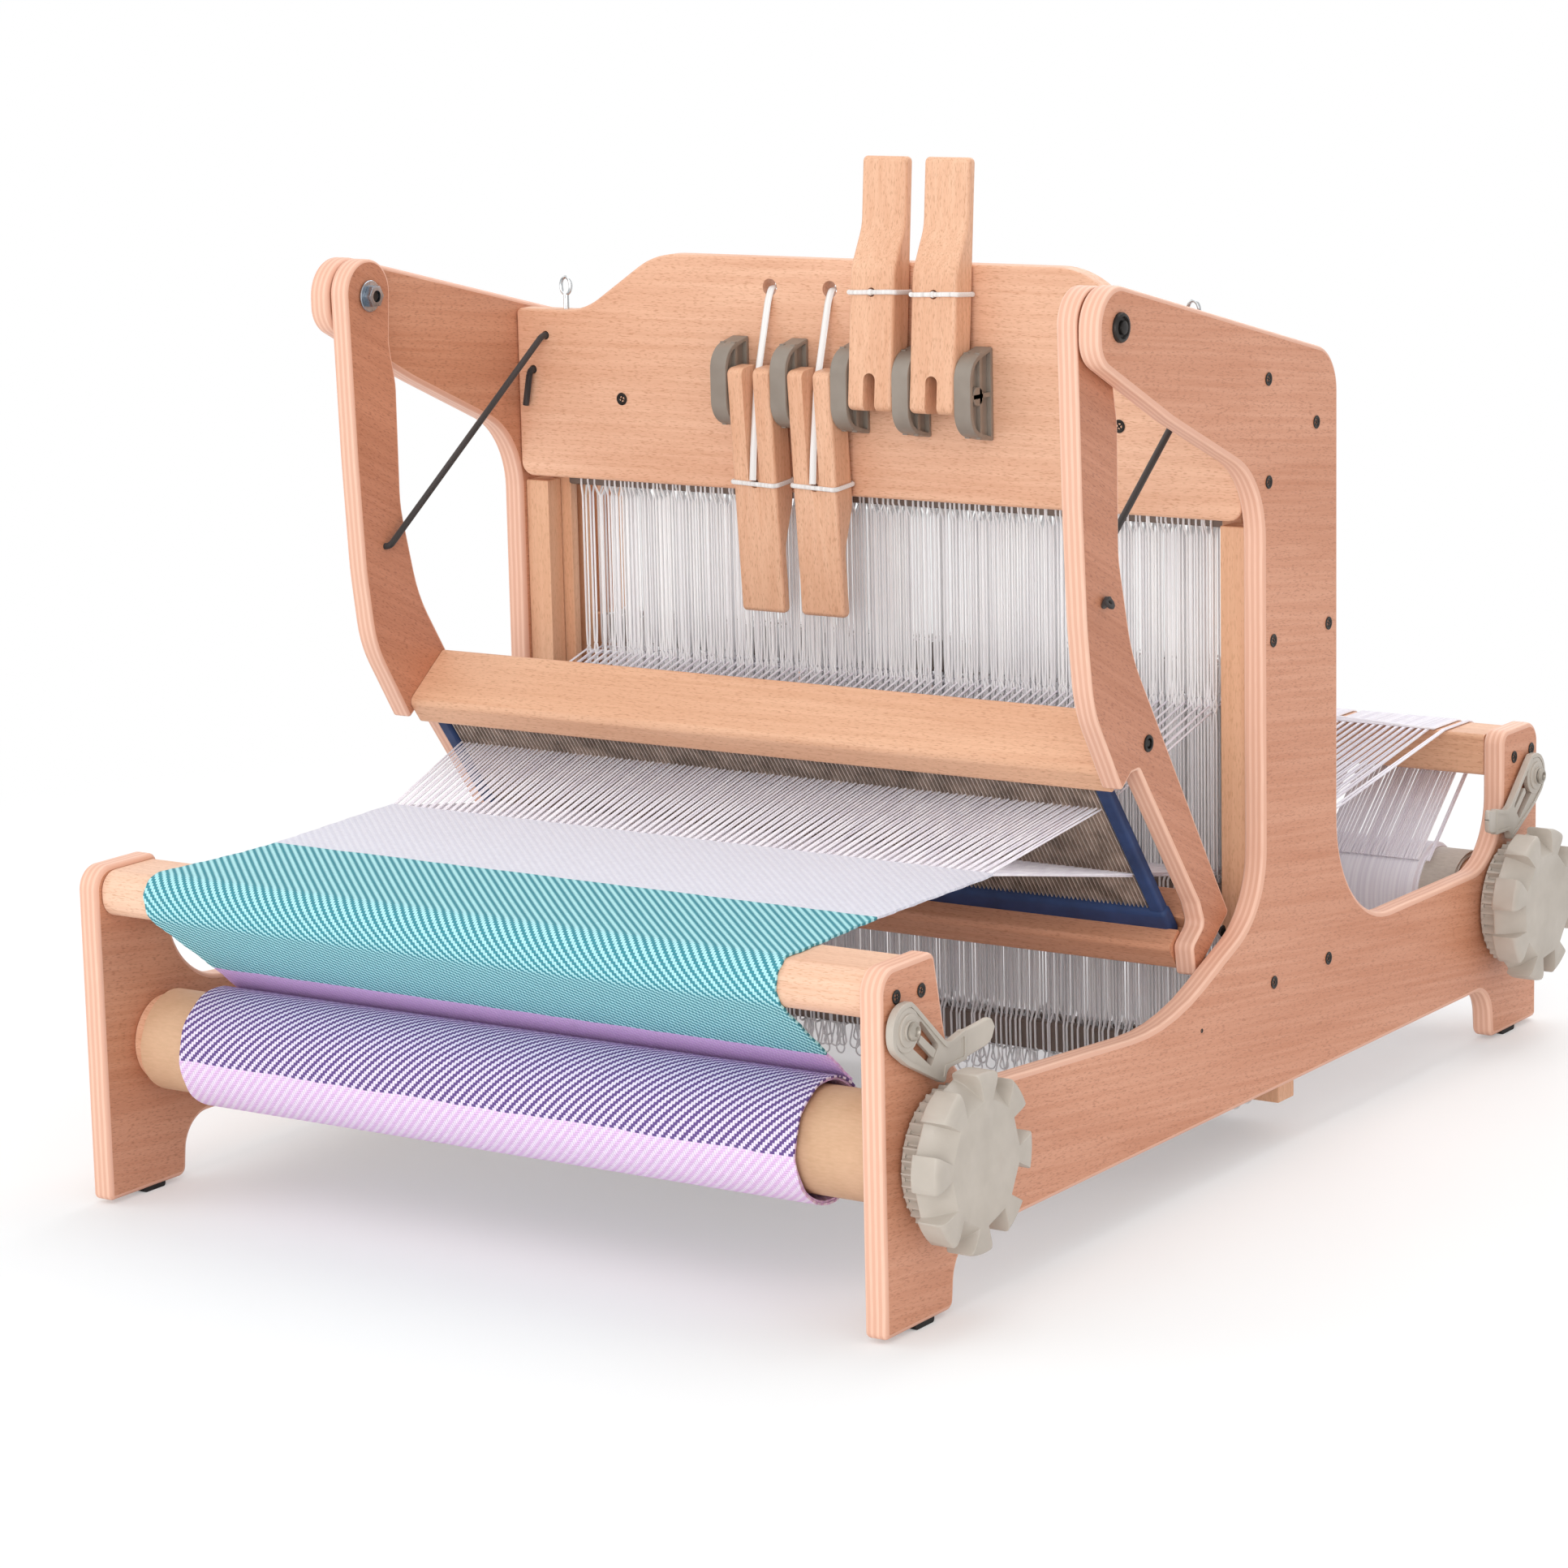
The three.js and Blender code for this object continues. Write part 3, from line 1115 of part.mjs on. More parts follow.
// The woven cloth: from its edge over the breast beam, round its nose and down to the roll.
function cloth() {
  const nose = new THREE.Vector2(BEAM_INSET + BEAM_ROUND, BEAM_TOP - BEAM_ROUND);
  const chin = new THREE.Vector2(BEAM_INSET + BEAM_ROUND, BEAM_TOP - BEAM_HEIGHT + BEAM_ROUND);
  const reach = BEAM_ROUND + FIT;
  const axis = new THREE.Vector2(FRONT_AXIS, ROLLER_HEIGHT);
  const web = crossTangent(chin, reach, axis, CLOTH_ROLL_RADIUS + FIT + CLOTH_THICKNESS);
  const leave = web.direction - 2 * Math.PI;
  const line = [
    web.end,
    ...arc(chin, reach, leave, -Math.PI, 5),
    ...arc(nose, reach, Math.PI, Math.PI / 2, 6),
    new THREE.Vector2(BEAM_INSET + BEAM_DEPTH, BEAM_TOP + FIT),
    new THREE.Vector2(FELL, BEAM_TOP + FIT + FELL_RISE),
  ];
  return plate(sheetOutline(line, CLOTH_THICKNESS), -CLOTH_HALF, CLOTH_HALF);
}

// One band of warp between two heddles: from the cloth, through an eye, to the back beam.
function warpBand(index, eyeBack, eyeHeight) {
  const start = FELL + FIT;
  const level = BEAM_TOP + FIT;
  const end = LOOM_DEPTH - BEAM_INSET - BEAM_DEPTH + WARP_LAP;
  const line = [
    [start, level + FELL_RISE],
    [eyeBack, eyeHeight],
    [end, level],
  ].map(([y, z]) => new THREE.Vector2(y, z));
  const outline = [...line, ...line.map((p) => new THREE.Vector2(p.x, p.y + WARP_THICKNESS)).reverse()];
  const x0 = index * THREAD_PITCH - THREADS_HALF + DENT_WIDTH / 2 + BAND_GAP;
  const x1 = x0 + THREAD_PITCH - DENT_WIDTH - 2 * BAND_GAP;
  return plate(outline.reverse(), x0, x1);
}

// The warp: two layers of bands that make the shed, and the sheet over the back beam to its roller.
function warp() {
  const raisedEye = RAISED_BOTTOM + BAR_HEIGHT + HEDDLE_WINDOW / 2;
  const upperBack = (shaftMiddle(0) + shaftMiddle(RAISED_SHAFTS - 1)) / 2;
  const lowerBack = (shaftMiddle(RAISED_SHAFTS) + shaftMiddle(LEVER_COUNT - 1)) / 2;
  const bands = Array.from({ length: THREAD_BANDS }, (_, i) => [
    warpBand(i, upperBack, raisedEye),
    warpBand(i, lowerBack, raisedEye - SHAFT_TRAVEL),
  ]).flat();
  const half = THREADS_HALF - DENT_WIDTH / 2 - BAND_GAP;
  const level = BEAM_TOP + FIT;
  const fellLevel = level + FELL_RISE;
  const fell = block(-half, half, FELL + FIT, FELL + WARP_LAP, fellLevel, fellLevel + WARP_THICKNESS);
  const back = LOOM_DEPTH - BEAM_INSET;
  const nose = new THREE.Vector2(back - BEAM_ROUND, BEAM_TOP - BEAM_ROUND);
  const chin = new THREE.Vector2(back - BEAM_ROUND, BEAM_TOP - BEAM_HEIGHT + BEAM_ROUND);
  const axis = new THREE.Vector2(BACK_AXIS, ROLLER_HEIGHT);
  const reach = BEAM_ROUND + FIT;
  const mirrored = (p) => new THREE.Vector2(LOOM_DEPTH - p.x, p.y);
  const rollReach = WARP_ROLL_RADIUS + FIT + WARP_THICKNESS;
  const web = crossTangent(mirrored(chin), reach, mirrored(axis), rollReach);
  const leave = web.direction - 2 * Math.PI;
  const line = [
    web.end,
    ...arc(mirrored(chin), reach, leave, -Math.PI, 5),
    ...arc(mirrored(nose), reach, Math.PI, Math.PI / 2, 6),
    new THREE.Vector2(BEAM_INSET + BEAM_DEPTH, level),
  ];
  const outline = sheetOutline(line, WARP_THICKNESS).map(mirrored);
  return joined([...bands, fell, plate(outline.reverse(), -half, half)]);
}

// A split pin that stands in the board's shoulder.
function splitPin(side) {
  const [x, y] = [side * PIN_OFFSET, CASTLE_FRONT + BOARD_THICKNESS / 2];
  const ringMiddle = BOARD_SHOULDER + PIN_STANDS;
  const ring = new THREE.TorusGeometry(PIN_RING, PIN_WIRE, 6, 16);
  ring.rotateX(Math.PI / 2).translate(x, y, ringMiddle);
  const shank = roundZ(PIN_WIRE, BOARD_SHOULDER - PIN_DEPTH, ringMiddle - PIN_RING, x, y, 8);
  return joined([ring, shank]);
}

function addFrame() {
  [-1, 1].forEach((side) => {
    const name = side < 0 ? "left" : "right";
    piece(`${name}_side_panel`, sidePanel(side), "panel");
    piece(`${name}_shaft_guide`, shaftGuide(side), "guide_wood");
    footPlaces().forEach((y, i) => {
      piece(`${name}_${i === 0 ? "front" : "back"}_rubber_foot`, rubberFoot(side, y), "rubber");
    });
    piece(`${name}_split_pin`, splitPin(side), "steel");
  });
  piece("breast_beam", beam(BEAM_INSET, true), "pale_wood");
  piece("back_beam", beam(LOOM_DEPTH - BEAM_INSET - BEAM_DEPTH, false), "pale_wood");
  piece("castle_front_board", castleBoard(), "pale_wood");
  piece("castle_cord_rail", cordRail(), "pale_wood");
}

function addLevers() {
  for (let i = 0; i <= LEVER_COUNT; i += 1) {
    piece(`lever_bracket_${i + 1}`, leverBracket(i), "bracket_plastic");
  }
  leverPlaces().forEach((x, i) => {
    const mesh = piece(`lever_${i + 1}`, lever(), "lever_wood");
    mesh.position.set(x, LEVER_PIVOT_BACK, LEVER_PIVOT_HEIGHT);
    mesh.rotation.x = leverTurn(i);
    piece(`lift_cord_${i + 1}`, liftCord(i), "white_cord");
  });
}

function addShafts() {
  for (let i = 0; i < LEVER_COUNT; i += 1) {
    piece(`shaft_${i + 1}`, shaft(i), "guide_wood");
    piece(`heddles_${i + 1}`, heddles(i), "white_cord");
  }
}

function addBeater() {
  const frame = beaterFrame();
  loom.add(frame);
  const topRail = beaterRail(0, 0, BEATER_RAIL_DEPTH, BEATER_RAIL_ROUND);
  const bottomRail = beaterRail(BEATER_BOTTOM_RAIL, BOTTOM_RAIL_FRONT, BEATER_RAIL_DEPTH, BEATER_RAIL_ROUND);
  const topGroove = reedGroove(REED_TOP - FIT, BEATER_RAIL_HEIGHT + 1);
  const bottomGroove = reedGroove(BEATER_BOTTOM_RAIL - 1, REED_BOTTOM + FIT);
  piece("beater_top_rail", without(topRail, [topGroove]), "pale_wood", frame);
  piece("beater_bottom_rail", without(bottomRail, [bottomGroove]), "pale_wood", frame);
  piece("reed", reed(), "steel", frame);
  [-1, 1].forEach((side) => {
    const name = side < 0 ? "left" : "right";
    piece(`${name}_beater_arm`, beaterArm(side), "panel");
    piece(`${name}_pivot_bolt`, pivotBolt(side), "dark_steel");
    piece(`${name}_pivot_nut`, pivotNut(side), "dark_steel");
    piece(`${name}_elastic`, elastic(side), "elastic");
  });
}

function addRollers() {
  piece("cloth_roller", roller(FRONT_AXIS), "pale_wood");
  piece("warp_roller", roller(BACK_AXIS), "pale_wood");
  const paper = (y) => sleeveX(ROLLER_RADIUS + FIT, PAPER_RADIUS, -PAPER_HALF, PAPER_HALF, y, ROLLER_HEIGHT);
  piece("cloth_roller_paper", paper(FRONT_AXIS), "kraft_paper");
  piece("warp_roller_paper", paper(BACK_AXIS), "grey_paper");
  const wound = (radius, half, y) => sleeveX(PAPER_RADIUS + FIT, radius, -half, half, y, ROLLER_HEIGHT);
  piece("cloth_roll", wound(CLOTH_ROLL_RADIUS, CLOTH_HALF, FRONT_AXIS), "rolled_cloth");
  piece("warp_roll", wound(WARP_ROLL_RADIUS, THREADS_HALF, BACK_AXIS), "warp_cotton");
  [
    ["front", FRONT_AXIS, PAWL_INSET, 1, FRONT_KNOB_TURN],
    ["back", BACK_AXIS, LOOM_DEPTH - PAWL_INSET, -1, BACK_KNOB_TURN],
  ].forEach(([name, axis, pawlBack, sense, turn]) => {
    piece(`${name}_ratchet_wheel`, ratchetWheel(axis, sense, turn), "wheel_plastic");
    piece(`${name}_pawl`, pawl(pawlBack, sense), "wheel_plastic");
    piece(`${name}_pawl_screw`, pawlScrew(pawlBack), "dark_steel");
  });
}

// Stands the loom on Z = 0 with the middle of its footprint at the origin.
function centred(group) {
  const box = new THREE.Box3().setFromObject(group, true);
  const middle = box.getCenter(new THREE.Vector3());
  group.position.set(-middle.x, -middle.y, -box.min.z);
  return group;
}

addFrame();
addLevers();
addShafts();
addBeater();
addRollers();
piece("cloth", cloth(), "woven_cloth");
piece("warp", warp(), "warp_cotton");

export default centred(loom);
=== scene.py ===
"""A four-shaft table loom with a warp on it: its pieces, finishes, floor, light and camera.

Shapes are drawn in millimetres from the loom's own corner, as its source draws them: X runs to the weaver's
right, Y from the breast beam to the back beam and Z up from the soles of the wooden feet. LOOM_SHIFT and
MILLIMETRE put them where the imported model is.
"""

from __future__ import annotations

import logging
import math
import random
from dataclasses import dataclass, field
from enum import Enum
from typing import Callable, Optional, Sequence

import bmesh
import bpy
from mathutils import Matrix, Vector
from mathutils.geometry import tessellate_polygon


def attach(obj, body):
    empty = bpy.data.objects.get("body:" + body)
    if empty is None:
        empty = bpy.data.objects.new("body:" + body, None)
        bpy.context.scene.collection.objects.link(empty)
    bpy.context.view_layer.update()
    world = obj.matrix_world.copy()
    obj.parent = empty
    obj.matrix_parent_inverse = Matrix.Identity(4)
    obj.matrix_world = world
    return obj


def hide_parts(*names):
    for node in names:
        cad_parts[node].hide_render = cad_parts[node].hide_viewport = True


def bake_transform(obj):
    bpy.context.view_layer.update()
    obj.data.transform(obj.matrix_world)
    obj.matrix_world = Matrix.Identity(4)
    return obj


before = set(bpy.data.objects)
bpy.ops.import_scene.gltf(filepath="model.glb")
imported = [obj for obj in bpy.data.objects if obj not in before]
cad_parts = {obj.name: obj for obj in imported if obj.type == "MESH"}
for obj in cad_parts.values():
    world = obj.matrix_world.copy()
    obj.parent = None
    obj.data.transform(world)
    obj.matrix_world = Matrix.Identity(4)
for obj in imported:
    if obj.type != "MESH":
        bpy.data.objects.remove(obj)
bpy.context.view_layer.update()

LOG = logging.getLogger("table_loom")
MILLIMETRE = 0.001
LOOM_SHIFT = Vector((-11.85, -342.5, 2.0))
LOOM_DEPTH = 685.0
ROLLER_HEIGHT = 75.5
ROLLER_AXIS = (44.0, ROLLER_HEIGHT)
BEAM_NOSE = (14.0, 157.5)
BEAM_CHIN = (14.0, 154.5)
PANEL_INNER = 223.0
PANEL_OUTER = 235.0
BOARD_FRONT = 360.0
BOARD_BACK = 372.0
CORD_HEIGHT = 430.0
BEATER_PIVOT = (218.0, 433.0)
SHAFT_COUNT = 4
RAISED_SHAFTS = 2
LAST_PICK = 193.0
SEAT = 0.05
TURN = 2 * math.pi
ARC_STEP = math.radians(9)
FINE_STEP = math.radians(5)
COARSE_STEP = math.radians(30)
SHARP_ANGLE = math.radians(38)
REPEAT_ANGLE = math.radians(60)

Flat = tuple[float, float]
Corner = tuple[float, ...]
Place = Sequence[float]
Look = tuple[object, object, object]
Object = bpy.types.Object
Socket = bpy.types.NodeSocket


class Side(Enum):
    """A side of the loom, as the sign of its X."""

    LEFT = -1
    RIGHT = 1

    @property
    def word(self) -> str:
        """The side's name in the names of pieces."""
        return self.name.lower()


class Along(Enum):
    """The axis that an outline is drawn out along, as its place in a point."""

    X = 0
    Y = 1
    Z = 2

    def point(self, level: float, a: float, b: float) -> Vector:
        """A point at a level along the axis, its two other coordinates in their order."""
        parts = [a, b]
        parts.insert(self.value, level)
        return Vector(parts)


def linear(code: str) -> tuple[float, float, float, float]:
    """The linear colour, with alpha, of a screen colour's six hexadecimal digits after a hash."""
    parts = [int(code[i : i + 2], 16) / 255 for i in (1, 3, 5)]
    red, green, blue = (c / 12.92 if c <= 0.04045 else ((c + 0.055) / 1.055) ** 2.4 for c in parts)
    return (red, green, blue, 1.0)


class Board:
    """A node tree and short ways to add to it. A socket's value may be a number, a colour code or another socket."""

    def __init__(self, tree: bpy.types.NodeTree) -> None:
        """Takes the tree to add to."""
        self.tree = tree

    def put(self, socket: Socket, value: object) -> None:
        """Sets a socket to a value, or links it to another socket."""
        if isinstance(value, Socket):
            self.tree.links.new(value, socket)
        else:
            socket.default_value = linear(value) if isinstance(value, str) else value

    def node(self, kind: str, inputs: Optional[dict] = None, **settings: object) -> bpy.types.Node:
        """Adds a node.

        Args:
            kind: The node's type.
            inputs: Values by input name or place.
            settings: Properties of the node.

        Returns:
            The new node.
        """
        made = self.tree.nodes.new(kind)
        for name, value in settings.items():
            setattr(made, name, value)
        for key, value in (inputs or {}).items():
            self.put(made.inputs[key], value)
        return made

    def out(self, kind: str, inputs: Optional[dict] = None, output: object = 0, **settings: object) -> Socket:
        """Adds a node and returns one of its outputs."""
        return self.node(kind, inputs, **settings).outputs[output]

    def math(self, operation: str, *terms: object) -> Socket:
        """Adds a Math node and returns its result."""
        return self.out("ShaderNodeMath", dict(enumerate(terms)), operation=operation)

    def add(self, first: object, second: object) -> Socket:
        """A sum."""
        return self.math("ADD", first, second)

    def times(self, first: object, second: object) -> Socket:
        """A product."""
        return self.math("MULTIPLY", first, second)

    def between(self, value: object, low: float, high: float, start: float = 0.0, end: float = 1.0) -> Socket:
        """A value carried from one range to another, and held inside it."""
        return self.out("ShaderNodeMapRange", {0: value, 1: low, 2: high, 3: start, 4: end}, clamp=True)

    def blend(self, share: object, first: object, second: object) -> Socket:
        """A colour between two colours."""
        return self.out("ShaderNodeMix", {0: share, 6: first, 7: second}, 2, data_type="RGBA")

    def place(self) -> Socket:
        """The object's own coordinates."""
        return self.out("ShaderNodeTexCoord", output="Object")

    def parts(self, place: Socket) -> bpy.types.NodeOutputs:
        """The three parts of a vector."""
        return self.node("ShaderNodeSeparateXYZ", {0: place}).outputs

    def noise(self, place: Socket, scale: Place, detail: float = 2.0, roughness: float = 0.5,
              twist: float = 0.0) -> Socket:
        """A noise texture's value at coordinates that are scaled along each axis."""
        spread = self.out("ShaderNodeMapping", {0: place, 3: tuple(scale)})
        inputs = {"Vector": spread, "Scale": 1.0, "Detail": detail, "Roughness": roughness, "Distortion": twist}
        return self.out("ShaderNodeTexNoise", inputs)


@dataclass(frozen=True)
class Finish:
    """What every finish has: a name, the record's slot, and a material that it builds once."""

    name: str
    slot: str
    light: str = "#FFFFFF"
    dark: str = "#000000"
    roughness: float = 0.5
    coat: float = 0.0
    sheen: float = 0.0
    metallic: float = 0.0
    bump: float = 0.2
    relief: float = 0.0002
    specular: float = 0.5

    def pattern(self, board: Board) -> Look:
        """The finish's own pattern.

        Args:
            board: The material's tree.

        Returns:
            Colour, roughness and height, each a value or a socket.
        """
        raise NotImplementedError

    def worn(self, board: Board, by: Socket, low: float, high: float, less: float, more: float) -> Socket:
        """The finish's roughness, a little less or more by a pattern between two of its values."""
        return board.between(by, low, high, self.roughness - less, self.roughness + more)

    def material(self) -> bpy.types.Material:
        """The finish's material, made when first asked for.

        Returns:
            The material.
        """
        word = f"{self.name} finish"
        known = bpy.data.materials.get(word)
        if known is not None:
            return known
        made = bpy.data.materials.new(word)
        made.use_nodes = True
        board = Board(made.node_tree)
        inputs = made.node_tree.nodes["Principled BSDF"].inputs
        colour, roughness, height = self.pattern(board)
        relief = {"Strength": self.bump, "Distance": self.relief, "Height": height}
        for name, value in {
            "Base Color": colour, "Roughness": roughness, "Metallic": self.metallic, "Coat Weight": self.coat,
            "Coat Roughness": 0.35, "Sheen Weight": self.sheen, "Specular IOR Level": self.specular,
            "Normal": board.out("ShaderNodeBump", relief),
        }.items():
            board.put(inputs[name], value)
        return made


@dataclass(frozen=True)
class Wood(Finish):
    """Lacquered beech: fine streaks and short flecks along the grain over a slow change of tone."""

    light: str = "#ECBD9E"
    dark: str = "#D8A180"
    fleck: str = "#B87A54"
    grain: Along = Along.X
    turn: float = 0.0
    coat: float = 0.12
    bump: float = 0.12

    def along(self, with_grain: float, across: float) -> Vector:
        """Scales that run long with the grain and short across it."""
        return self.grain.point(with_grain, across, across)

    def pattern(self, board: Board) -> Look:
        """Streaks, flecks and slow tone."""
        place = board.out("ShaderNodeMapping", {0: board.place(), 2: (self.turn, 0, 0)})
        tone = board.noise(place, self.along(3.2, 17), 2.0, 0.5, 0.6)
        streak = board.noise(place, self.along(9, 420), 3.0, 0.6, 0.2)
        fleck = board.noise(place, self.along(330, 1700), 1.0, 0.4)
        share = board.add(board.between(tone, 0.34, 0.66, 0, 0.55), board.between(streak, 0.36, 0.64, 0, 0.45))
        marks = board.between(fleck, 0.54, 0.72, 0, 0.5)
        colour = board.blend(marks, board.blend(share, self.light, self.dark), self.fleck)
        return colour, self.worn(board, streak, 0.2, 0.8, 0.05, 0.07), board.math("SUBTRACT", streak, marks)


@dataclass(frozen=True)
class PlyEdge(Finish):
    """The cut edge of plywood: its plies in turn light and dark through the thickness."""

    light: str = "#EDC0A8"
    dark: str = "#E0AC93"
    glue: str = "#C98F75"
    ply: float = 1.55
    coat: float = 0.12
    bump: float = 0.1

    def pattern(self, board: Board) -> Look:
        """Stripes across X with worn, uneven borders."""
        place = board.place()
        wander = board.noise(place, (60, 25, 25))
        count = board.times(board.parts(place)[0], 1 / (2 * self.ply * MILLIMETRE))
        wave = board.math("PINGPONG", board.add(count, board.between(wander, 0.3, 0.7, -0.08, 0.08)), 0.5)
        plies = board.between(wave, 0.17, 0.33)
        fibre = board.noise(place, (900, 130, 130))
        off_line = board.math("ABSOLUTE", board.math("SUBTRACT", wave, 0.25))
        glued = board.between(off_line, 0.0, 0.035, 0.4, 0)
        base = board.blend(glued, board.blend(plies, self.dark, self.light), self.glue)
        colour = board.blend(board.between(fibre, 0.35, 0.75, 0, 0.3), base, self.dark)
        return colour, self.worn(board, fibre, 0.2, 0.8, 0.05, 0.07), board.add(fibre, plies)


@dataclass(frozen=True)
class Moulded(Finish):
    """Moulded plastic, rubber or a plain coat: a slow drift of tone and a fine grain."""

    grain: float = 900.0
    roughness: float = 0.42

    def pattern(self, board: Board) -> Look:
        """A slow drift of tone and a fine texture."""
        place = board.place()
        drift = board.noise(place, (38,) * 3, 3.0, 0.6)
        colour = board.blend(board.between(drift, 0.3, 0.7), self.light, self.dark)
        return colour, self.worn(board, drift, 0.2, 0.8, 0.04, 0.08), board.noise(place, (self.grain,) * 3)


@dataclass(frozen=True)
class Metal(Finish):
    """Rolled or plated metal: scratches that run up and down, and a little staining."""

    metallic: float = 1.0
    bump: float = 0.08

    def pattern(self, board: Board) -> Look:
        """Scratches and staining."""
        place = board.place()
        scratch = board.noise(place, (1500, 1500, 60))
        stain = board.noise(place, (90,) * 3, 3.0, 0.6)
        colour = board.blend(board.between(stain, 0.35, 0.7), self.light, self.dark)
        return colour, self.worn(board, scratch, 0.25, 0.75, 0.06, 0.12), scratch


@dataclass(frozen=True)
class Yarn(Finish):
    """Yarn or braided cord: plies that wind round it, with a tone that differs from one to the next."""

    lay: float = 900.0
    spread: float = 500.0
    roughness: float = 0.85
    sheen: float = 0.15
    bump: float = 0.35

    def pattern(self, board: Board) -> Look:
        """Slanting plies, painted shade in the grooves between them, and a tone for each thread across the loom."""
        place = board.place()
        parts = board.parts(place)
        slant = board.add(board.times(board.add(parts[2], parts[1]), self.lay), board.times(parts[0], 2.2 * self.lay))
        ply = board.math("PINGPONG", slant, 0.5)
        tone = board.noise(place, (self.spread, 9, 9), 1.0)
        # Random tone for each thread, plus painted shade: darker in the grooves between the plies.
        share = board.add(board.between(tone, 0.35, 0.65, 0, 0.7), board.between(ply, 0.35, 0.5, 0.3, 0))
        return board.blend(share, self.light, self.dark), self.roughness, ply


@dataclass(frozen=True)
class Paper(Finish):
    """Wrapping paper: fibres, soft creases and a slight shine."""

    light: str = "#D8B190"
    dark: str = "#C79F7D"
    roughness: float = 0.62
    bump: float = 0.4
    relief: float = 0.0006

    def pattern(self, board: Board) -> Look:
        """Fibres and creases."""
        place = board.place()
        fibre = board.noise(place, (260, 900, 900))
        crease = board.noise(place, (28, 16, 16), 2.0, 0.5, 1.4)
        share = board.add(board.between(fibre, 0.3, 0.7, 0, 0.45), board.between(crease, 0.35, 0.7, 0, 0.55))
        return board.blend(share, self.light, self.dark), self.roughness, board.add(crease, board.times(fibre, 0.15))


@dataclass(frozen=True)
class Stripe:
    """A length of cloth in one weft, from a distance along the cloth."""

    start: float
    weft: str
    warp: str


@dataclass(frozen=True)
class Twill(Finish):
    """A two-over-two twill, thread by thread, in stripes of different weft.

    The cloth's UV map holds the distance across it and along it, in metres.
    """

    stripes: tuple[Stripe, ...] = ()
    pitch: float = 1.25
    shadow: str = "#61596F"
    roughness: float = 0.9
    sheen: float = 0.04
    specular: float = 0.15
    bump: float = 0.55
    relief: float = 0.0004

    def pattern(self, board: Board) -> Look:
        """Which thread is on top, its colour with painted shade in the hollows between threads, and its roundness."""
        place = board.out("ShaderNodeUVMap", uv_map="cloth")
        pull = board.between(board.noise(place, (55,) * 3), 0.3, 0.7, -0.35, 0.35)
        counts, numbers, bows = [], [], []
        for part in list(board.parts(place))[:2]:
            count = board.add(board.math("DIVIDE", part, self.pitch * MILLIMETRE), pull)
            counts.append(count)
            numbers.append(board.math("FLOOR", count))
            bows.append(board.math("SINE", board.times(board.math("FRACT", count), math.pi)))
        end, pick = numbers
        order = board.math("SUBTRACT", end, pick)
        over = board.math("LESS_THAN", board.math("FLOORED_MODULO", order, 4.0), 1.5)
        height = board.add(board.times(over, bows[0]), board.times(board.math("SUBTRACT", 1.0, over), bows[1]))
        weft: object = self.stripes[0].weft
        warp: object = self.stripes[0].warp
        for stripe in self.stripes[1:]:
            past = board.math("GREATER_THAN", board.times(pick, self.pitch), stripe.start)
            weft = board.blend(past, weft, stripe.weft)
            warp = board.blend(past, warp, stripe.warp)
        thread = board.out("ShaderNodeCombineXYZ", {0: end, 1: pick})
        uneven = board.times(board.out("ShaderNodeTexWhiteNoise", {0: thread}), 0.35)
        # Painted shade: the colour is drawn towards the shadow colour where a thread's surface dips between threads,
        # and by a random amount for each thread.
        shade = board.between(board.add(height, uneven), 0.0, 1.3, 0.3, 0)
        return board.blend(shade, board.blend(over, weft, warp), self.shadow), self.roughness, height


PANEL_FACE = Wood("panel_face", "panel_plywood", "#D99C7D", "#C4815F", fleck="#A05F3C", grain=Along.Y, turn=0.12)
# Painted shade: a darker copy of the panel wood for the panels' inner faces, which lie in the loom's shade.
PANEL_INSIDE_PAINTED_SHADE = Wood("panel_inside", "panel_plywood", "#D3997A", "#BF7F5E", fleck="#965A3A", grain=Along.Y, turn=0.12)
ARM_FACE = Wood("arm_face", "panel_plywood", "#CB8B6C", "#B17050", fleck="#8A4D33", grain=Along.Y, turn=0.45)
PLY_EDGE = PlyEdge("ply_edge", "panel_plywood")
PALE_WOOD = Wood("pale_wood", "pale_wood")
# Painted shade: a darker, redder copy of the rail wood for the bottom rail, which lies in shade under the warp and
# reed.
BOTTOM_RAIL_PAINTED_SHADE = Wood("lower_rail_wood", "pale_wood", "#DDA281", "#C88A67", fleck="#A2633F")
BEAM_WOOD = Wood("beam_wood", "pale_wood", "#F0C9AE", "#DFB092", fleck="#BE8862")
RAIL_WOOD = Wood("rail_wood", "pale_wood", "#E3B391", "#D09B79", fleck="#AE7551")
LEVER_WOOD = Wood("lever_wood", "lever_wood", "#E9BA99", "#D7A07D", fleck="#B47C58", grain=Along.Z)
UPRIGHT_WOOD = Wood("upright_wood", "guide_wood", "#E9B996", "#D9A480", fleck="#C08A64", grain=Along.Z)
BAR_STEEL = Moulded("bar_coat", "guide_wood", "#7B6B61", "#695A51")
BRACKET_PLASTIC = Moulded("bracket_plastic", "bracket_plastic", "#958B80", "#857A6F")
WHEEL_PLASTIC = Moulded("wheel_plastic", "wheel_plastic", "#BDB4A9", "#AFA69B")
RUBBER = Moulded("foot_rubber", "rubber", "#232120", "#171615", 0.8)
REED_TAPE = Moulded("reed_tape", "reed_steel", "#26406F", "#1B2C50", 0.6, grain=1600)
REED_STEEL = Metal("reed_steel", "reed_steel", "#C6B5A9", "#8C7D73", 0.42, metallic=0.3)
BLACK_STEEL = Metal("black_steel", "dark_steel", "#35302D", "#1D1A19", 0.42, metallic=0.6)
ZINC = Metal("zinc", "dark_steel", "#B9C0C8", "#8E959E", 0.28)
HUB_STEEL = Metal("hub_steel", "dark_steel", "#B3ABA0", "#8B8379", 0.36, metallic=0.5)
PIN_STEEL = Metal("pin_steel", "pin_steel", "#C9CBCC", "#9C9FA1", 0.25)
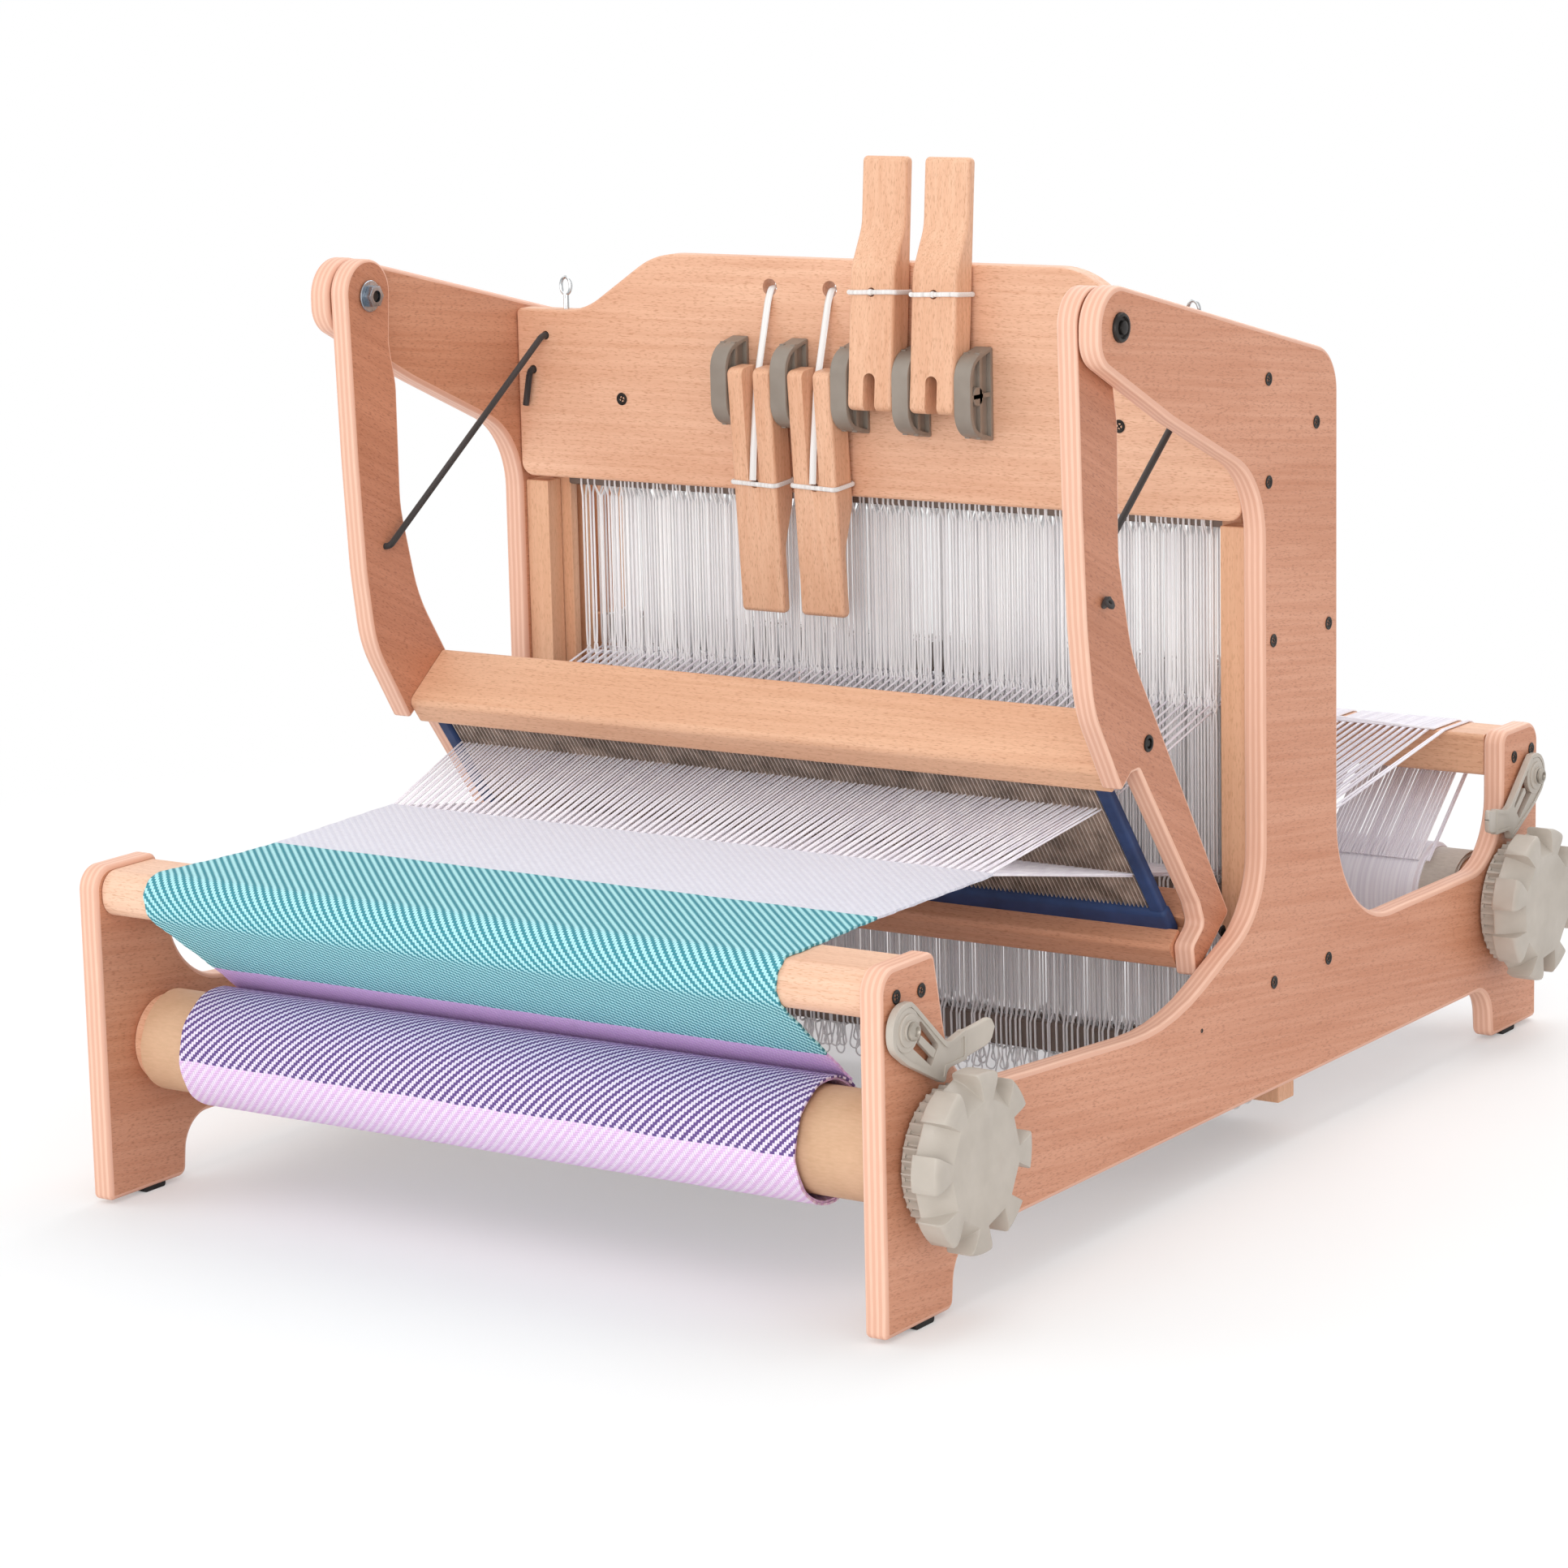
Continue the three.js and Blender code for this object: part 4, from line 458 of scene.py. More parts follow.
ELASTIC = Yarn("elastic_braid", "elastic", "#3A3230", "#241F1E", 0.7, lay=420)
LIFT_CORD = Yarn("lift_cord", "white_cord", "#F7F5F3", "#D6D1CD", lay=520)
HEDDLE_CORD = Yarn("heddle_cord", "white_cord", "#FFFFFF", "#F0EFF1", spread=260)
WARP_YARN = Yarn("warp_yarn", "warp_cotton", "#FDFBFF", "#E9E4ED", spread=800)
KRAFT = Paper("kraft_paper", "kraft_paper")
GREY_PAPER = Paper("grey_paper", "grey_paper", "#CBC1B6", "#B0A59A")


def rounded(corners: Sequence[Corner], step: float = ARC_STEP) -> list[Flat]:
    """An outline through corners, each turned round to its own radius.

    Args:
        corners: First and second coordinate, and a radius or nothing, of each corner.
        step: The angle between points on a turn, in radians.

    Returns:
        The outline's points.
    """
    points: list[Flat] = []
    for i, corner in enumerate(corners):
        here = Vector(corner[:2])
        radius = corner[2] if len(corner) > 2 else 0.0
        if radius == 0:
            points.append((here.x, here.y))
            continue
        back = (Vector(corners[i - 1][:2]) - here).normalized()
        on = (Vector(corners[(i + 1) % len(corners)][:2]) - here).normalized()
        half = math.acos(max(-1.0, min(1.0, back.dot(on)))) / 2
        centre = here + (back + on).normalized() * (radius / math.sin(half))
        start = here + back * (radius / math.tan(half)) - centre
        turn = math.pi - 2 * half
        sense = -1 if back.cross(on) > 0 else 1
        steps = max(2, round(turn / step))
        for k in range(steps + 1):
            a, b = math.cos(sense * turn * k / steps), math.sin(sense * turn * k / steps)
            points.append((centre.x + start.x * a - start.y * b, centre.y + start.x * b + start.y * a))
    return points


def oblong(low: Flat, high: Flat, radius: float = 0.0, step: float = ARC_STEP) -> list[Flat]:
    """A rectangle from its lowest to its highest corner, with its corners turned round."""
    (a, b), (c, d) = low, high
    return rounded([(a, b, radius), (c, b, radius), (c, d, radius), (a, d, radius)], step)


def arc(centre: Flat, radius: float, start: float, end: float, steps: int) -> list[Flat]:
    """Points along an arc, both ends among them."""
    angles = [start + (end - start) * k / steps for k in range(steps + 1)]
    return [(centre[0] + radius * math.cos(a), centre[1] + radius * math.sin(a)) for a in angles]


def circle(centre: Flat, radius: float, sides: int = 32) -> list[Flat]:
    """A circle's points."""
    return arc(centre, radius, 0, TURN, sides)[:-1]


def area_of(points: Sequence[Flat]) -> float:
    """An outline's area, below nothing where it runs clockwise."""
    return sum(a[0] * b[1] - b[0] * a[1] for a, b in zip(points, list(points[1:]) + [points[0]])) / 2


def inset(points: Sequence[Flat], distance: float) -> list[Flat]:
    """An anticlockwise outline moved inwards by a distance, point by point.

    Args:
        points: The outline.
        distance: How far, in millimetres.

    Returns:
        The moved outline.
    """
    moved: list[Flat] = []
    for i, point in enumerate(points):
        before = Vector(point) - Vector(points[i - 1])
        after = Vector(points[(i + 1) % len(points)]) - Vector(point)
        before = before.normalized() if before.length > 1e-9 else after.normalized()
        after = after.normalized() if after.length > 1e-9 else before
        square = Vector((-before.y, before.x))
        normal = square + Vector((-after.y, after.x))
        normal = normal.normalized() if normal.length > 1e-9 else square
        spread = max(0.5, normal.dot(square))
        moved.append((point[0] + normal.x * distance / spread, point[1] + normal.y * distance / spread))
    return moved


def bend(corners: Sequence[Place], reach: float, steps: int) -> list[Vector]:
    """A line through places, with its corners bent round.

    Args:
        corners: The places.
        reach: The distance from a corner to where its bend begins.
        steps: Pieces of each bend.

    Returns:
        The line's points.
    """
    places = [Vector(p) for p in corners]
    points = [places[0]]
    for before, here, after in zip(places, places[1:], places[2:]):
        back, on = before - here, after - here
        short = min(reach, back.length / 2.1, on.length / 2.1)
        start, end = here + back.normalized() * short, here + on.normalized() * short
        for k in range(steps + 1):
            t = k / steps
            points.append(start * (1 - t) ** 2 + here * (2 * t * (1 - t)) + end * t**2)
    return points + [places[-1]]


def lengths(line: Sequence[Place]) -> list[float]:
    """How far along a line each of its points is."""
    along = [0.0]
    for a, b in zip(line, line[1:]):
        along.append(along[-1] + math.dist(a, b))
    return along


def over_beam(nose: Flat, chin: Flat, radius: float, axis: Flat, reach: float, parts: Sequence[int]) -> list[Flat]:
    """A sheet's way over a beam and down to a roll, in Y and Z.

    Args:
        nose: The middle of the bend over the beam's upper edge.
        chin: The middle of the bend round its lower edge.
        radius: The radius of both bends.
        axis: The roll's middle.
        reach: The roll's radius where the sheet meets it.
        parts: How many pieces each bend and the straight run have.

    Returns:
        The points, from the top of the beam.
    """
    span = Vector(axis) - Vector(chin)
    direction = math.atan2(span.y, span.x) - math.acos((radius + reach) / span.length)
    over = arc(nose, radius, math.pi / 2, math.pi, parts[0]) + arc(chin, radius, math.pi, direction % TURN, parts[1])
    (a, b), (c, d) = over[-1], arc(axis, -reach, direction, direction, 1)[0]
    return over + [(a + (c - a) * k / parts[2], b + (d - b) * k / parts[2]) for k in range(1, parts[2] + 1)]


def in_loom(point: Place) -> Vector:
    """A place drawn in millimetres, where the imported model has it."""
    return (Vector(point) + LOOM_SHIFT) * MILLIMETRE


def linked(name: str, data: bpy.types.ID) -> Object:
    """A new object in the scene."""
    made = bpy.data.objects.new(name, data)
    bpy.context.scene.collection.objects.link(made)
    return made


def baked(piece: Object) -> Object:
    """Turns what a piece's modifiers make into its own mesh.

    Args:
        piece: The piece.

    Returns:
        The piece.
    """
    evaluated = piece.evaluated_get(bpy.context.evaluated_depsgraph_get())
    made = bpy.data.meshes.new_from_object(evaluated)
    piece.modifiers.clear()
    piece.data = made
    return piece


def smooth(piece: Object, angle: float) -> None:
    """Shades a piece smooth up to an angle."""
    piece.data.polygons.foreach_set("use_smooth", [True] * len(piece.data.polygons))
    piece.data.set_sharp_from_angle(angle=angle)


def fitted(piece: Object, finish: Finish, body: str, *nodes: str) -> Object:
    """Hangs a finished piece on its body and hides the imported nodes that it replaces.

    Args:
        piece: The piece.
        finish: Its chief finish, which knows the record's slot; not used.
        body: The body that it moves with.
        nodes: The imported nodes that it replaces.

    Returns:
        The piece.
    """
    if nodes:
        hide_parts(*nodes)
    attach(piece, body)
    LOG.info("%s rides on %s, %d faces", piece.name, body, len(piece.data.polygons))
    return piece


def stretched(piece: Object, node: str, body: str, end: Place) -> None:
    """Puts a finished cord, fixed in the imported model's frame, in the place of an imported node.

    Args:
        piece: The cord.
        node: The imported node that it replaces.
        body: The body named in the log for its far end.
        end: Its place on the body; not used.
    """
    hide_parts(node)
    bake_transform(piece)
    LOG.info("%s blends from frame to %s", piece.name, body)


def dressed(node: str, finish: Finish) -> None:
    """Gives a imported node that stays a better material."""
    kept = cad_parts[node]
    kept.data.materials.clear()
    kept.data.materials.append(finish.material())
    LOG.info("%s kept, in %s", node, finish.name)


class Form:
    """A closed form being built up from simple shapes, in the loom's millimetres."""

    def __init__(self, name: str) -> None:
        """Starts an empty form."""
        self.name = name
        self.points: list[Vector] = []
        self.faces: list[tuple[int, ...]] = []
        self.dress: list[int] = []

    def ring(self, points: Sequence[Place]) -> list[int]:
        """Adds points and returns their numbers."""
        first = len(self.points)
        self.points.extend(Vector(p) for p in points)
        return list(range(first, len(self.points)))

    def face(self, corners: Sequence[int], dress: int = 0) -> None:
        """Adds a face in the numbered finish."""
        self.faces.append(tuple(corners))
        self.dress.append(dress)

    def bridge(self, first: Sequence[int], second: Sequence[int], dress: int = 0) -> None:
        """Joins two rings of equal length with four-sided faces."""
        for i in range(len(first)):
            j = (i + 1) % len(first)
            self.face((first[i], first[j], second[j], second[i]), dress)

    def loft(self, rings: Sequence[Sequence[Place]], looped: bool = False) -> None:
        """Joins rings of points one after another, and closes the ends or joins them.

        Args:
            rings: The rings, each of as many points.
            looped: Whether the last ring meets the first.
        """
        made = [self.ring(r) for r in rings]
        for first, second in zip(made, made[1:]):
            self.bridge(first, second)
        if looped:
            self.bridge(made[-1], made[0])
        else:
            self.face(list(reversed(made[0])))
            self.face(made[-1])

    def prism(self, outline: Sequence[Flat], start: float, end: float, along: Along = Along.X, edge: float = 0.0,
              steps: int = 3, holes: Sequence[Sequence[Flat]] = (), dress: Sequence[int] = (0, 0, 0),
              turn: Matrix = Matrix()) -> None:
        """An outline drawn out along an axis, with rounded edges.

        Args:
            outline: Points in the two other axes, in their order.
            start: Where it starts along the axis.
            end: Where it ends, on either side of the start.
            along: The axis.
            edge: The radius of its edges.
            steps: Faces round each edge.
            holes: Outlines of holes through it.
            dress: The finishes of its start, its sides and its end.
            turn: A last move of every point.
        """

        def lifted(points: Sequence[Flat], level: float) -> list[int]:
            """Adds an outline at a level."""
            return self.ring([turn @ along.point(level, a, b) for a, b in points])

        low, high, ends = (start, end, dress[::2]) if start < end else (end, start, dress[::-2])
        ordered = list(outline) if area_of(outline) > 0 else list(reversed(outline))
        levels = [(low, 0.0), (high, 0.0)]
        if edge > 0:
            bends = [(edge * (1 - math.sin(a)), edge * (1 - math.cos(a))) for a in
                     [math.pi / 2 * k / steps for k in range(steps + 1)]]
            levels = [(low + a, b) for a, b in reversed(bends)] + [(high - a, b) for a, b in bends]
        rings = [lifted(inset(ordered, d) if d > 0 else ordered, z) for z, d in levels]
        for first, second in zip(rings, rings[1:]):
            self.bridge(first, second, dress[1])
        cuts = [list(h) if area_of(h) < 0 else list(reversed(h)) for h in holes]
        low_cuts, high_cuts = ([lifted(h, level) for h in cuts] for level in (low, high))
        for first, second in zip(low_cuts, high_cuts):
            self.bridge(second, first, dress[1])
        if not cuts:
            self.face(list(reversed(rings[0])), ends[0])
            self.face(rings[-1], ends[1])
            return
        for loops, finish in (([rings[0], *low_cuts], ends[0]), ([rings[-1], *high_cuts], ends[1])):
            numbers = [n for loop in loops for n in loop]
            for triangle in tessellate_polygon([[self.points[n] for n in loop] for loop in loops]):
                self.face([numbers[k] for k in triangle], finish)

    def turned(self, profile: Sequence[Flat], centre: Flat = (0.0, 0.0), along: Along = Along.X,
               sides: int = 40) -> None:
        """A solid turned piece: rings of distance along the axis and radius, closed by flat ends."""
        self.loft([[along.point(level, *p) for p in circle(centre, radius, sides)] for level, radius in profile])

    def ribbon(self, path: Sequence[Vector], width: float, depth: float, sides: int,
               across: Place = (1, 0, 0)) -> None:
        """A flat cord along a path: its width lies along a fixed direction, its depth square to it.

        Args:
            path: The cord's middle line.
            width: Its width.
            depth: Its depth.
            sides: Points round it.
            across: The direction of its width.
        """
        rings, round_it, wide = [], circle((0, 0), 0.5, sides), Vector(across)
        for before, point, after in zip([path[0], *path], path, [*path[1:], path[-1]]):
            heading = (after - before).normalized()
            flat = (wide - heading * heading.dot(wide)).normalized()
            thick = heading.cross(flat).normalized()
            rings.append([point + flat * (width * a) + thick * (depth * b) for a, b in round_it])
        self.loft(rings)

    def made(self, *finishes: Finish, soft: float = SHARP_ANGLE) -> Object:
        """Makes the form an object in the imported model's frame.

        Args:
            finishes: The finishes that the faces' numbers stand for.
            soft: The angle past which an edge stays sharp.

        Returns:
            The new object.
        """
        mesh = bpy.data.meshes.new(self.name)
        mesh.from_pydata([in_loom(p) for p in self.points], [], self.faces)
        for finish in finishes:
            mesh.materials.append(finish.material())
        mesh.polygons.foreach_set("material_index", self.dress)
        shell = bmesh.new()
        shell.from_mesh(mesh)
        bmesh.ops.recalc_face_normals(shell, faces=shell.faces)
        shell.to_mesh(mesh)
        shell.free()
        piece = linked(self.name, mesh)
        smooth(piece, soft)
        piece.modifiers.new("even_normals", "WEIGHTED_NORMAL").keep_sharp = True
        return baked(piece)

    def hung(self, body: str, finish: Finish, *others: Finish, nodes: Sequence[str] = ()) -> Object:
        """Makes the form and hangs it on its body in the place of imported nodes."""
        return fitted(self.made(finish, *others), finish, body, *nodes)

    def pattern(self, finish: Finish) -> Object:
        """Makes the form a small shape about the origin, for a tree to repeat."""
        self.points = [p - LOOM_SHIFT for p in self.points]
        return self.made(finish)


def carved(piece: Object, cutters: Sequence[Object], ease: float) -> Object:
    """Cuts shapes out of a piece and eases the new edges.

    Args:
        piece: The piece.
        cutters: The shapes, which are used up.
        ease: The width of the eased edges, in millimetres.

    Returns:
        The piece.
    """
    for cutter in cutters:
        cut = piece.modifiers.new("cut", "BOOLEAN")
        cut.object = cutter
        cut.operation = "DIFFERENCE"
        cut.solver = "EXACT"
    edge = piece.modifiers.new("ease", "BEVEL")
    edge.width = ease * MILLIMETRE
    edge.segments = 2
    edge.limit_method = "ANGLE"
    edge.angle_limit = math.radians(50)
    baked(piece)
    for cutter in cutters:
        bpy.data.objects.remove(cutter)
    piece.data.set_sharp_from_angle(angle=SHARP_ANGLE)
    return piece


class Repeats:
    """Node trees that repeat a small shape along a row or at points, or wrap yarn round lines."""

    @staticmethod
    def tree(name: str, sockets: dict[str, str], grow: Callable) -> bpy.types.NodeTree:
        """A tree, made when first asked for, that ends with real copies in their finish.

        Args:
            name: Its name.
            sockets: The types of its inputs, by name.
            grow: Adds its own nodes to a board from its inputs, and returns their geometry.

        Returns:
            The tree.
        """
        known = bpy.data.node_groups.get(name)
        if known:
            return known
        group = bpy.data.node_groups.new(name, "GeometryNodeTree")
        for way in ("INPUT", "OUTPUT"):
            group.interface.new_socket("Geometry", in_out=way, socket_type="NodeSocketGeometry")
        for word, kind in {**sockets, "Finish": "Material"}.items():
            group.interface.new_socket(word, in_out="INPUT", socket_type=f"NodeSocket{kind}")
        board = Board(group)
        given = board.node("NodeGroupInput").outputs
        real = board.out("GeometryNodeRealizeInstances", {0: grow(board, given)})
        coat = board.out("GeometryNodeSetMaterial", {"Geometry": real, "Material": given["Finish"]})
        board.node("NodeGroupOutput", {0: coat})
        return group

    @staticmethod
    def in_row(board: Board, given: bpy.types.NodeOutputs) -> Socket:
        """A shape in a row along X, each copy moved and turned a little by chance.

        Args:
            board: The tree.
            given: Its inputs.

        Returns:
            The copies.
        """
        step = board.out("ShaderNodeCombineXYZ", {0: given["Pitch"]})
        run = {"Count": given["Count"], "Start Location": given["Start"], "Offset": step}
        line = board.out("GeometryNodeMeshLine", run)
        back = board.out("ShaderNodeVectorMath", {0: given["Wander"], 1: (-1, -1, -1)}, operation="MULTIPLY")
        reach = {0: back, 1: given["Wander"], "Seed": given["Seed"]}
        shift = board.out("FunctionNodeRandomValue", reach, data_type="FLOAT_VECTOR")
        placed = board.out("GeometryNodeSetPosition", {0: line, "Offset": shift})
        swing = {2: board.times(given["Turn"], -1.0), 3: given["Turn"], "Seed": given["Seed"]}
        angle = board.out("FunctionNodeRandomValue", swing, 1, data_type="FLOAT")
        return board.out("GeometryNodeInstanceOnPoints", {
            "Points": placed, "Instance": board.out("GeometryNodeObjectInfo", {0: given["Shape"]}, "Geometry"),
            "Rotation": board.out("ShaderNodeCombineXYZ", {2: angle}),
        })

    @staticmethod
    def on_spots(board: Board, given: bpy.types.NodeOutputs) -> Socket:
        """A shape on each point, turned about the loom's axes and turned again about itself by chance.

        Args:
            board: The tree.
            given: Its inputs.

        Returns:
            The copies.
        """
        chance = board.out("FunctionNodeRandomValue", {2: 0.0, 3: math.pi, "Seed": given["Seed"]}, 1)
        copies = board.out("GeometryNodeInstanceOnPoints", {
            "Points": given[0], "Instance": board.out("GeometryNodeObjectInfo", {0: given["Shape"]}, "Geometry"),
            "Rotation": given["Facing"], "Scale": given["Size"],
        })
        spin = board.out("ShaderNodeCombineXYZ", {2: chance})
        return board.out("GeometryNodeRotateInstances", {"Instances": copies, "Rotation": spin})

    @staticmethod
    def round_lines(board: Board, given: bpy.types.NodeOutputs) -> Socket:
        """Yarn round every line of a mesh of edges."""
        lines = board.out("GeometryNodeMeshToCurve", {0: given[0]})
        size = {"Resolution": given["Sides"], "Radius": given["Radius"]}
        section = board.out("GeometryNodeCurvePrimitiveCircle", size)
        return board.out("GeometryNodeCurveToMesh", {"Curve": lines, "Profile Curve": section, "Fill Caps": True})

    @staticmethod
    def run(name: str, tree: bpy.types.NodeTree, values: dict[str, object], finish: Finish,
            points: Sequence[Place] = (), edges: Sequence[tuple[int, int]] = ()) -> Object:
        """Runs a tree and keeps the plain mesh.

        Args:
            name: The new piece's name.
            tree: The tree.
            values: Its inputs by name.
            finish: The piece's finish.
            points: The points that the tree starts from, in the loom's millimetres.
            edges: The edges between them.

        Returns:
            The piece.
        """
        mesh = bpy.data.meshes.new(name)
        mesh.from_pydata([in_loom(p) for p in points], list(edges), [])
        made = linked(name, mesh)
        modifier = made.modifiers.new("repeat", "NODES")
        modifier.node_group = tree
        values = {**values, "Finish": finish.material()}
        for item in tree.interface.items_tree:
            if item.in_out == "INPUT" and item.name in values:
                modifier[item.identifier] = values[item.name]
        baked(made)
        smooth(made, REPEAT_ANGLE)
        return made

    @classmethod
    def row(cls, name: str, shape: Object, count: int, start: Place, pitch: float, wander: Place,
            turn: float, seed: int, finish: Finish) -> Object:
        """A row of copies of a shape as one plain mesh.

        Args:
            name: The row's name.
            shape: The shape.
            count: How many copies.
            start: The first copy's place.
            pitch: The step along X.
            wander: How far a copy may be off its place.
            turn: How far it may be turned.
            seed: The seed of both.
            finish: The row's finish.

        Returns:
            The row.
        """
        tree = cls.tree("row", {"Shape": "Object", "Count": "Int", "Start": "Vector", "Pitch": "Float",
                                "Wander": "Vector", "Turn": "Float", "Seed": "Int"}, cls.in_row)
        return cls.run(name, tree, {
            "Shape": shape, "Count": count, "Start": in_loom(start), "Pitch": pitch * MILLIMETRE,
            "Wander": Vector(wander) * MILLIMETRE, "Turn": turn, "Seed": seed,
        }, finish)

    @classmethod
    def spots(cls, name: str, shape: Object, places: Sequence[Place], facing: Place, size: float,
              finish: Finish, seed: int = 3) -> Object:
        """Copies of a shape on chosen places as one plain mesh.

        Args:
            name: The piece's name.
            shape: The shape.
            places: Where the copies go.
            facing: Their turn about X, Y and Z.
            size: Their scale.
            finish: The piece's finish.
            seed: The seed of their spin.

        Returns:
            The piece.
        """
        tree = cls.tree("spots", {"Shape": "Object", "Facing": "Vector", "Size": "Float", "Seed": "Int"}, cls.on_spots)
        values = {"Shape": shape, "Facing": tuple(facing), "Size": size, "Seed": seed}
        return cls.run(name, tree, values, finish, places)

    @classmethod
    def yarns(cls, name: str, lines: Sequence[Sequence[Place]], radius: float, sides: int, finish: Finish) -> Object:
        """Yarn along lines of points as one plain mesh.

        Args:
            name: The piece's name.
            lines: The yarns' middle lines.
            radius: Their radius.
            sides: Points round each.
            finish: The piece's finish.

        Returns:
            The piece.
        """
        edges: list[tuple[int, int]] = []
        first = 0
        for line in lines:
            edges += [(first + k, first + k + 1) for k in range(len(line) - 1)]
            first += len(line)
        tree = cls.tree("yarn", {"Radius": "Float", "Sides": "Int"}, cls.round_lines)
        values = {"Radius": radius * MILLIMETRE, "Sides": sides}
        return cls.run(name, tree, values, finish, [p for line in lines for p in line], edges)


@dataclass
class Screws:
    """Countersunk screws with a cross recess, all copied from one shape."""

    radius: float = 3.4
    bar: Flat = (0.62, 0.1)
    profile: tuple[Flat, ...] = (
        (-1.5, 0.6), (0.0, 0.93), (0.3, 1.0), (0.45, 0.95), (0.5, 0.82), (0.2, 0.5), (-0.9, 0.28), (-1.1, 0.0294),
    )

    def shape(self) -> Object:
        """The screw, facing up at the origin.

        Returns:
            The shape.
        """
        form = Form("screw_shape")
        r = self.radius
        form.turned([(level, r * share) for level, share in self.profile], along=Along.Z, sides=20)
        length, width = self.bar[0] * r, self.bar[1] * r
        for turn in range(2):
            spin = Matrix.Rotation(turn * math.pi / 2, 4, "Z")
            form.prism(oblong((-length, -width), (length, width)), 0.1, 0.34, Along.Z, turn=spin)
        return form.pattern(BLACK_STEEL)

    def driven(self, name: str, body: str, places: Sequence[Place], facing: Place, size: float = 1.0) -> None:
        """Puts a screw at each place, facing out.

        Args:
            name: The screws' name.
            body: The body that they are in.
            places: Where their heads sit.
            facing: Their turn about X, Y and Z.
            size: Their scale.
        """
        shape = self.shape()
        fitted(Repeats.spots(name, shape, places, facing, size, BLACK_STEEL), BLACK_STEEL, body)
        bpy.data.objects.remove(shape)

    def in_side(self, name: str, body: str, side: Side, face: float, places: Sequence[Flat], size: float = 1.0) -> None:
        """Puts screws in a face that looks to a side, at places in Y and Z."""
        spots = [(side.value * (face + SEAT), y, z) for y, z in places]
        self.driven(f"{side.word}_{name}", body, spots, (0, side.value * math.pi / 2, 0), size)


@dataclass
class SidePanels:
    """The two plywood sides with their rubber feet."""

    inner: float = PANEL_INNER
    edge: float = 2.5
    castle_front: float = BOARD_FRONT
    castle_back: float = 441.0
    castle_top: float = 400.0
    pivot: Flat = BEATER_PIVOT
    head: float = 19.5
    pilot: Flat = (293.8, 78.1)
    pilot_size: float = 0.34
    screws: tuple[Flat, ...] = (
        (365.5, 393.5), (365.5, 342.3), (416.7, 366.5), (430, 262), (370, 262), (430, 86.5), (370, 86.5),
        (12.8, 156), (33.8, 154.6), (653.7, 154), (675.8, 155),
    )

    def outline(self) -> list[Flat]:
        """The panel's outline: two posts, the rail, the castle and its horn.

        Returns:
            The outline in Y and Z.
        """
        horn_tip = self.pivot[0] - self.head
        head_top = self.pivot[1] + self.head * 1.025
        top_slope = (head_top - self.castle_top) / (self.castle_back - self.pivot[0])
        under_bend = (self.pivot[0] + self.castle_front) / 2 - 20
        head_under = self.pivot[1] - 14.5
        return rounded([
            (0, 0, 3), (57.5, 0, 5), (60.5, 29.5, 18), (624.5, 29.5, 18), (627.5, 0, 5), (LOOM_DEPTH, 0, 3),
            (LOOM_DEPTH, 170, 12), (639, 170, 8), (639, 97.5, 36), (self.castle_back, 97.5, 62),
            (self.castle_back, self.castle_top, 25), (horn_tip, head_top + top_slope * self.head, self.head),
            (horn_tip, head_under, 16), (under_bend, head_under - 0.5 * (under_bend - horn_tip), 150),
            (self.castle_front, 344, 45), (self.castle_front, 126.5, 45), (self.castle_front - 98, 86.5, 160),
            (61, 100.5, 42), (46, 170, 5), (0, 170, 12),
        ], FINE_STEP)

    def build(self, screws: Screws) -> None:
        """Builds and hangs both panels, their feet and their screws.

        Args:
            screws: What the screws are made by.
        """
        for side in Side:
            form = Form(f"{side.word}_panel")
            # The inner faces take the darker copy of the panel wood: painted shade.
            form.prism(self.outline(), side.value * self.inner, side.value * PANEL_OUTER, Along.X, self.edge, 4,
                       dress=(2, 1, 0))
            form.hung("frame", PANEL_FACE, PLY_EDGE, PANEL_INSIDE_PAINTED_SHADE, nodes=[f"{side.word}_side_panel"])
            screws.in_side("panel_screws", "frame", side, PANEL_OUTER, self.screws)
            screws.in_side("panel_pin", "frame", side, PANEL_OUTER, [self.pilot], self.pilot_size)
            for end in ("front", "back"):
                dressed(f"{side.word}_{end}_rubber_foot", RUBBER)


@dataclass
class Beams:
    """The breast beam and the back beam."""

    reach: float = 222.7
    front: float = 4.0
    depth: float = 40.0
    low: float = 144.5
    top: float = 167.5
    outer_edge: float = 10.0
    inner_edge: float = 2.5

    def build(self) -> None:
        """Builds and hangs both beams."""
        for name, outer, inner, finish in (
            ("breast_beam", self.front, self.front + self.depth, BEAM_WOOD),
            ("back_beam", LOOM_DEPTH - self.front, LOOM_DEPTH - self.front - self.depth, RAIL_WOOD),
        ):
            form = Form(name + "_wood")
            form.prism(rounded([
                (outer, self.low, self.outer_edge), (inner, self.low, self.inner_edge),
                (inner, self.top, self.inner_edge), (outer, self.top, self.outer_edge),
            ]), -self.reach, self.reach, Along.X, 0.6, 2)
            form.hung("frame", finish, nodes=[name])


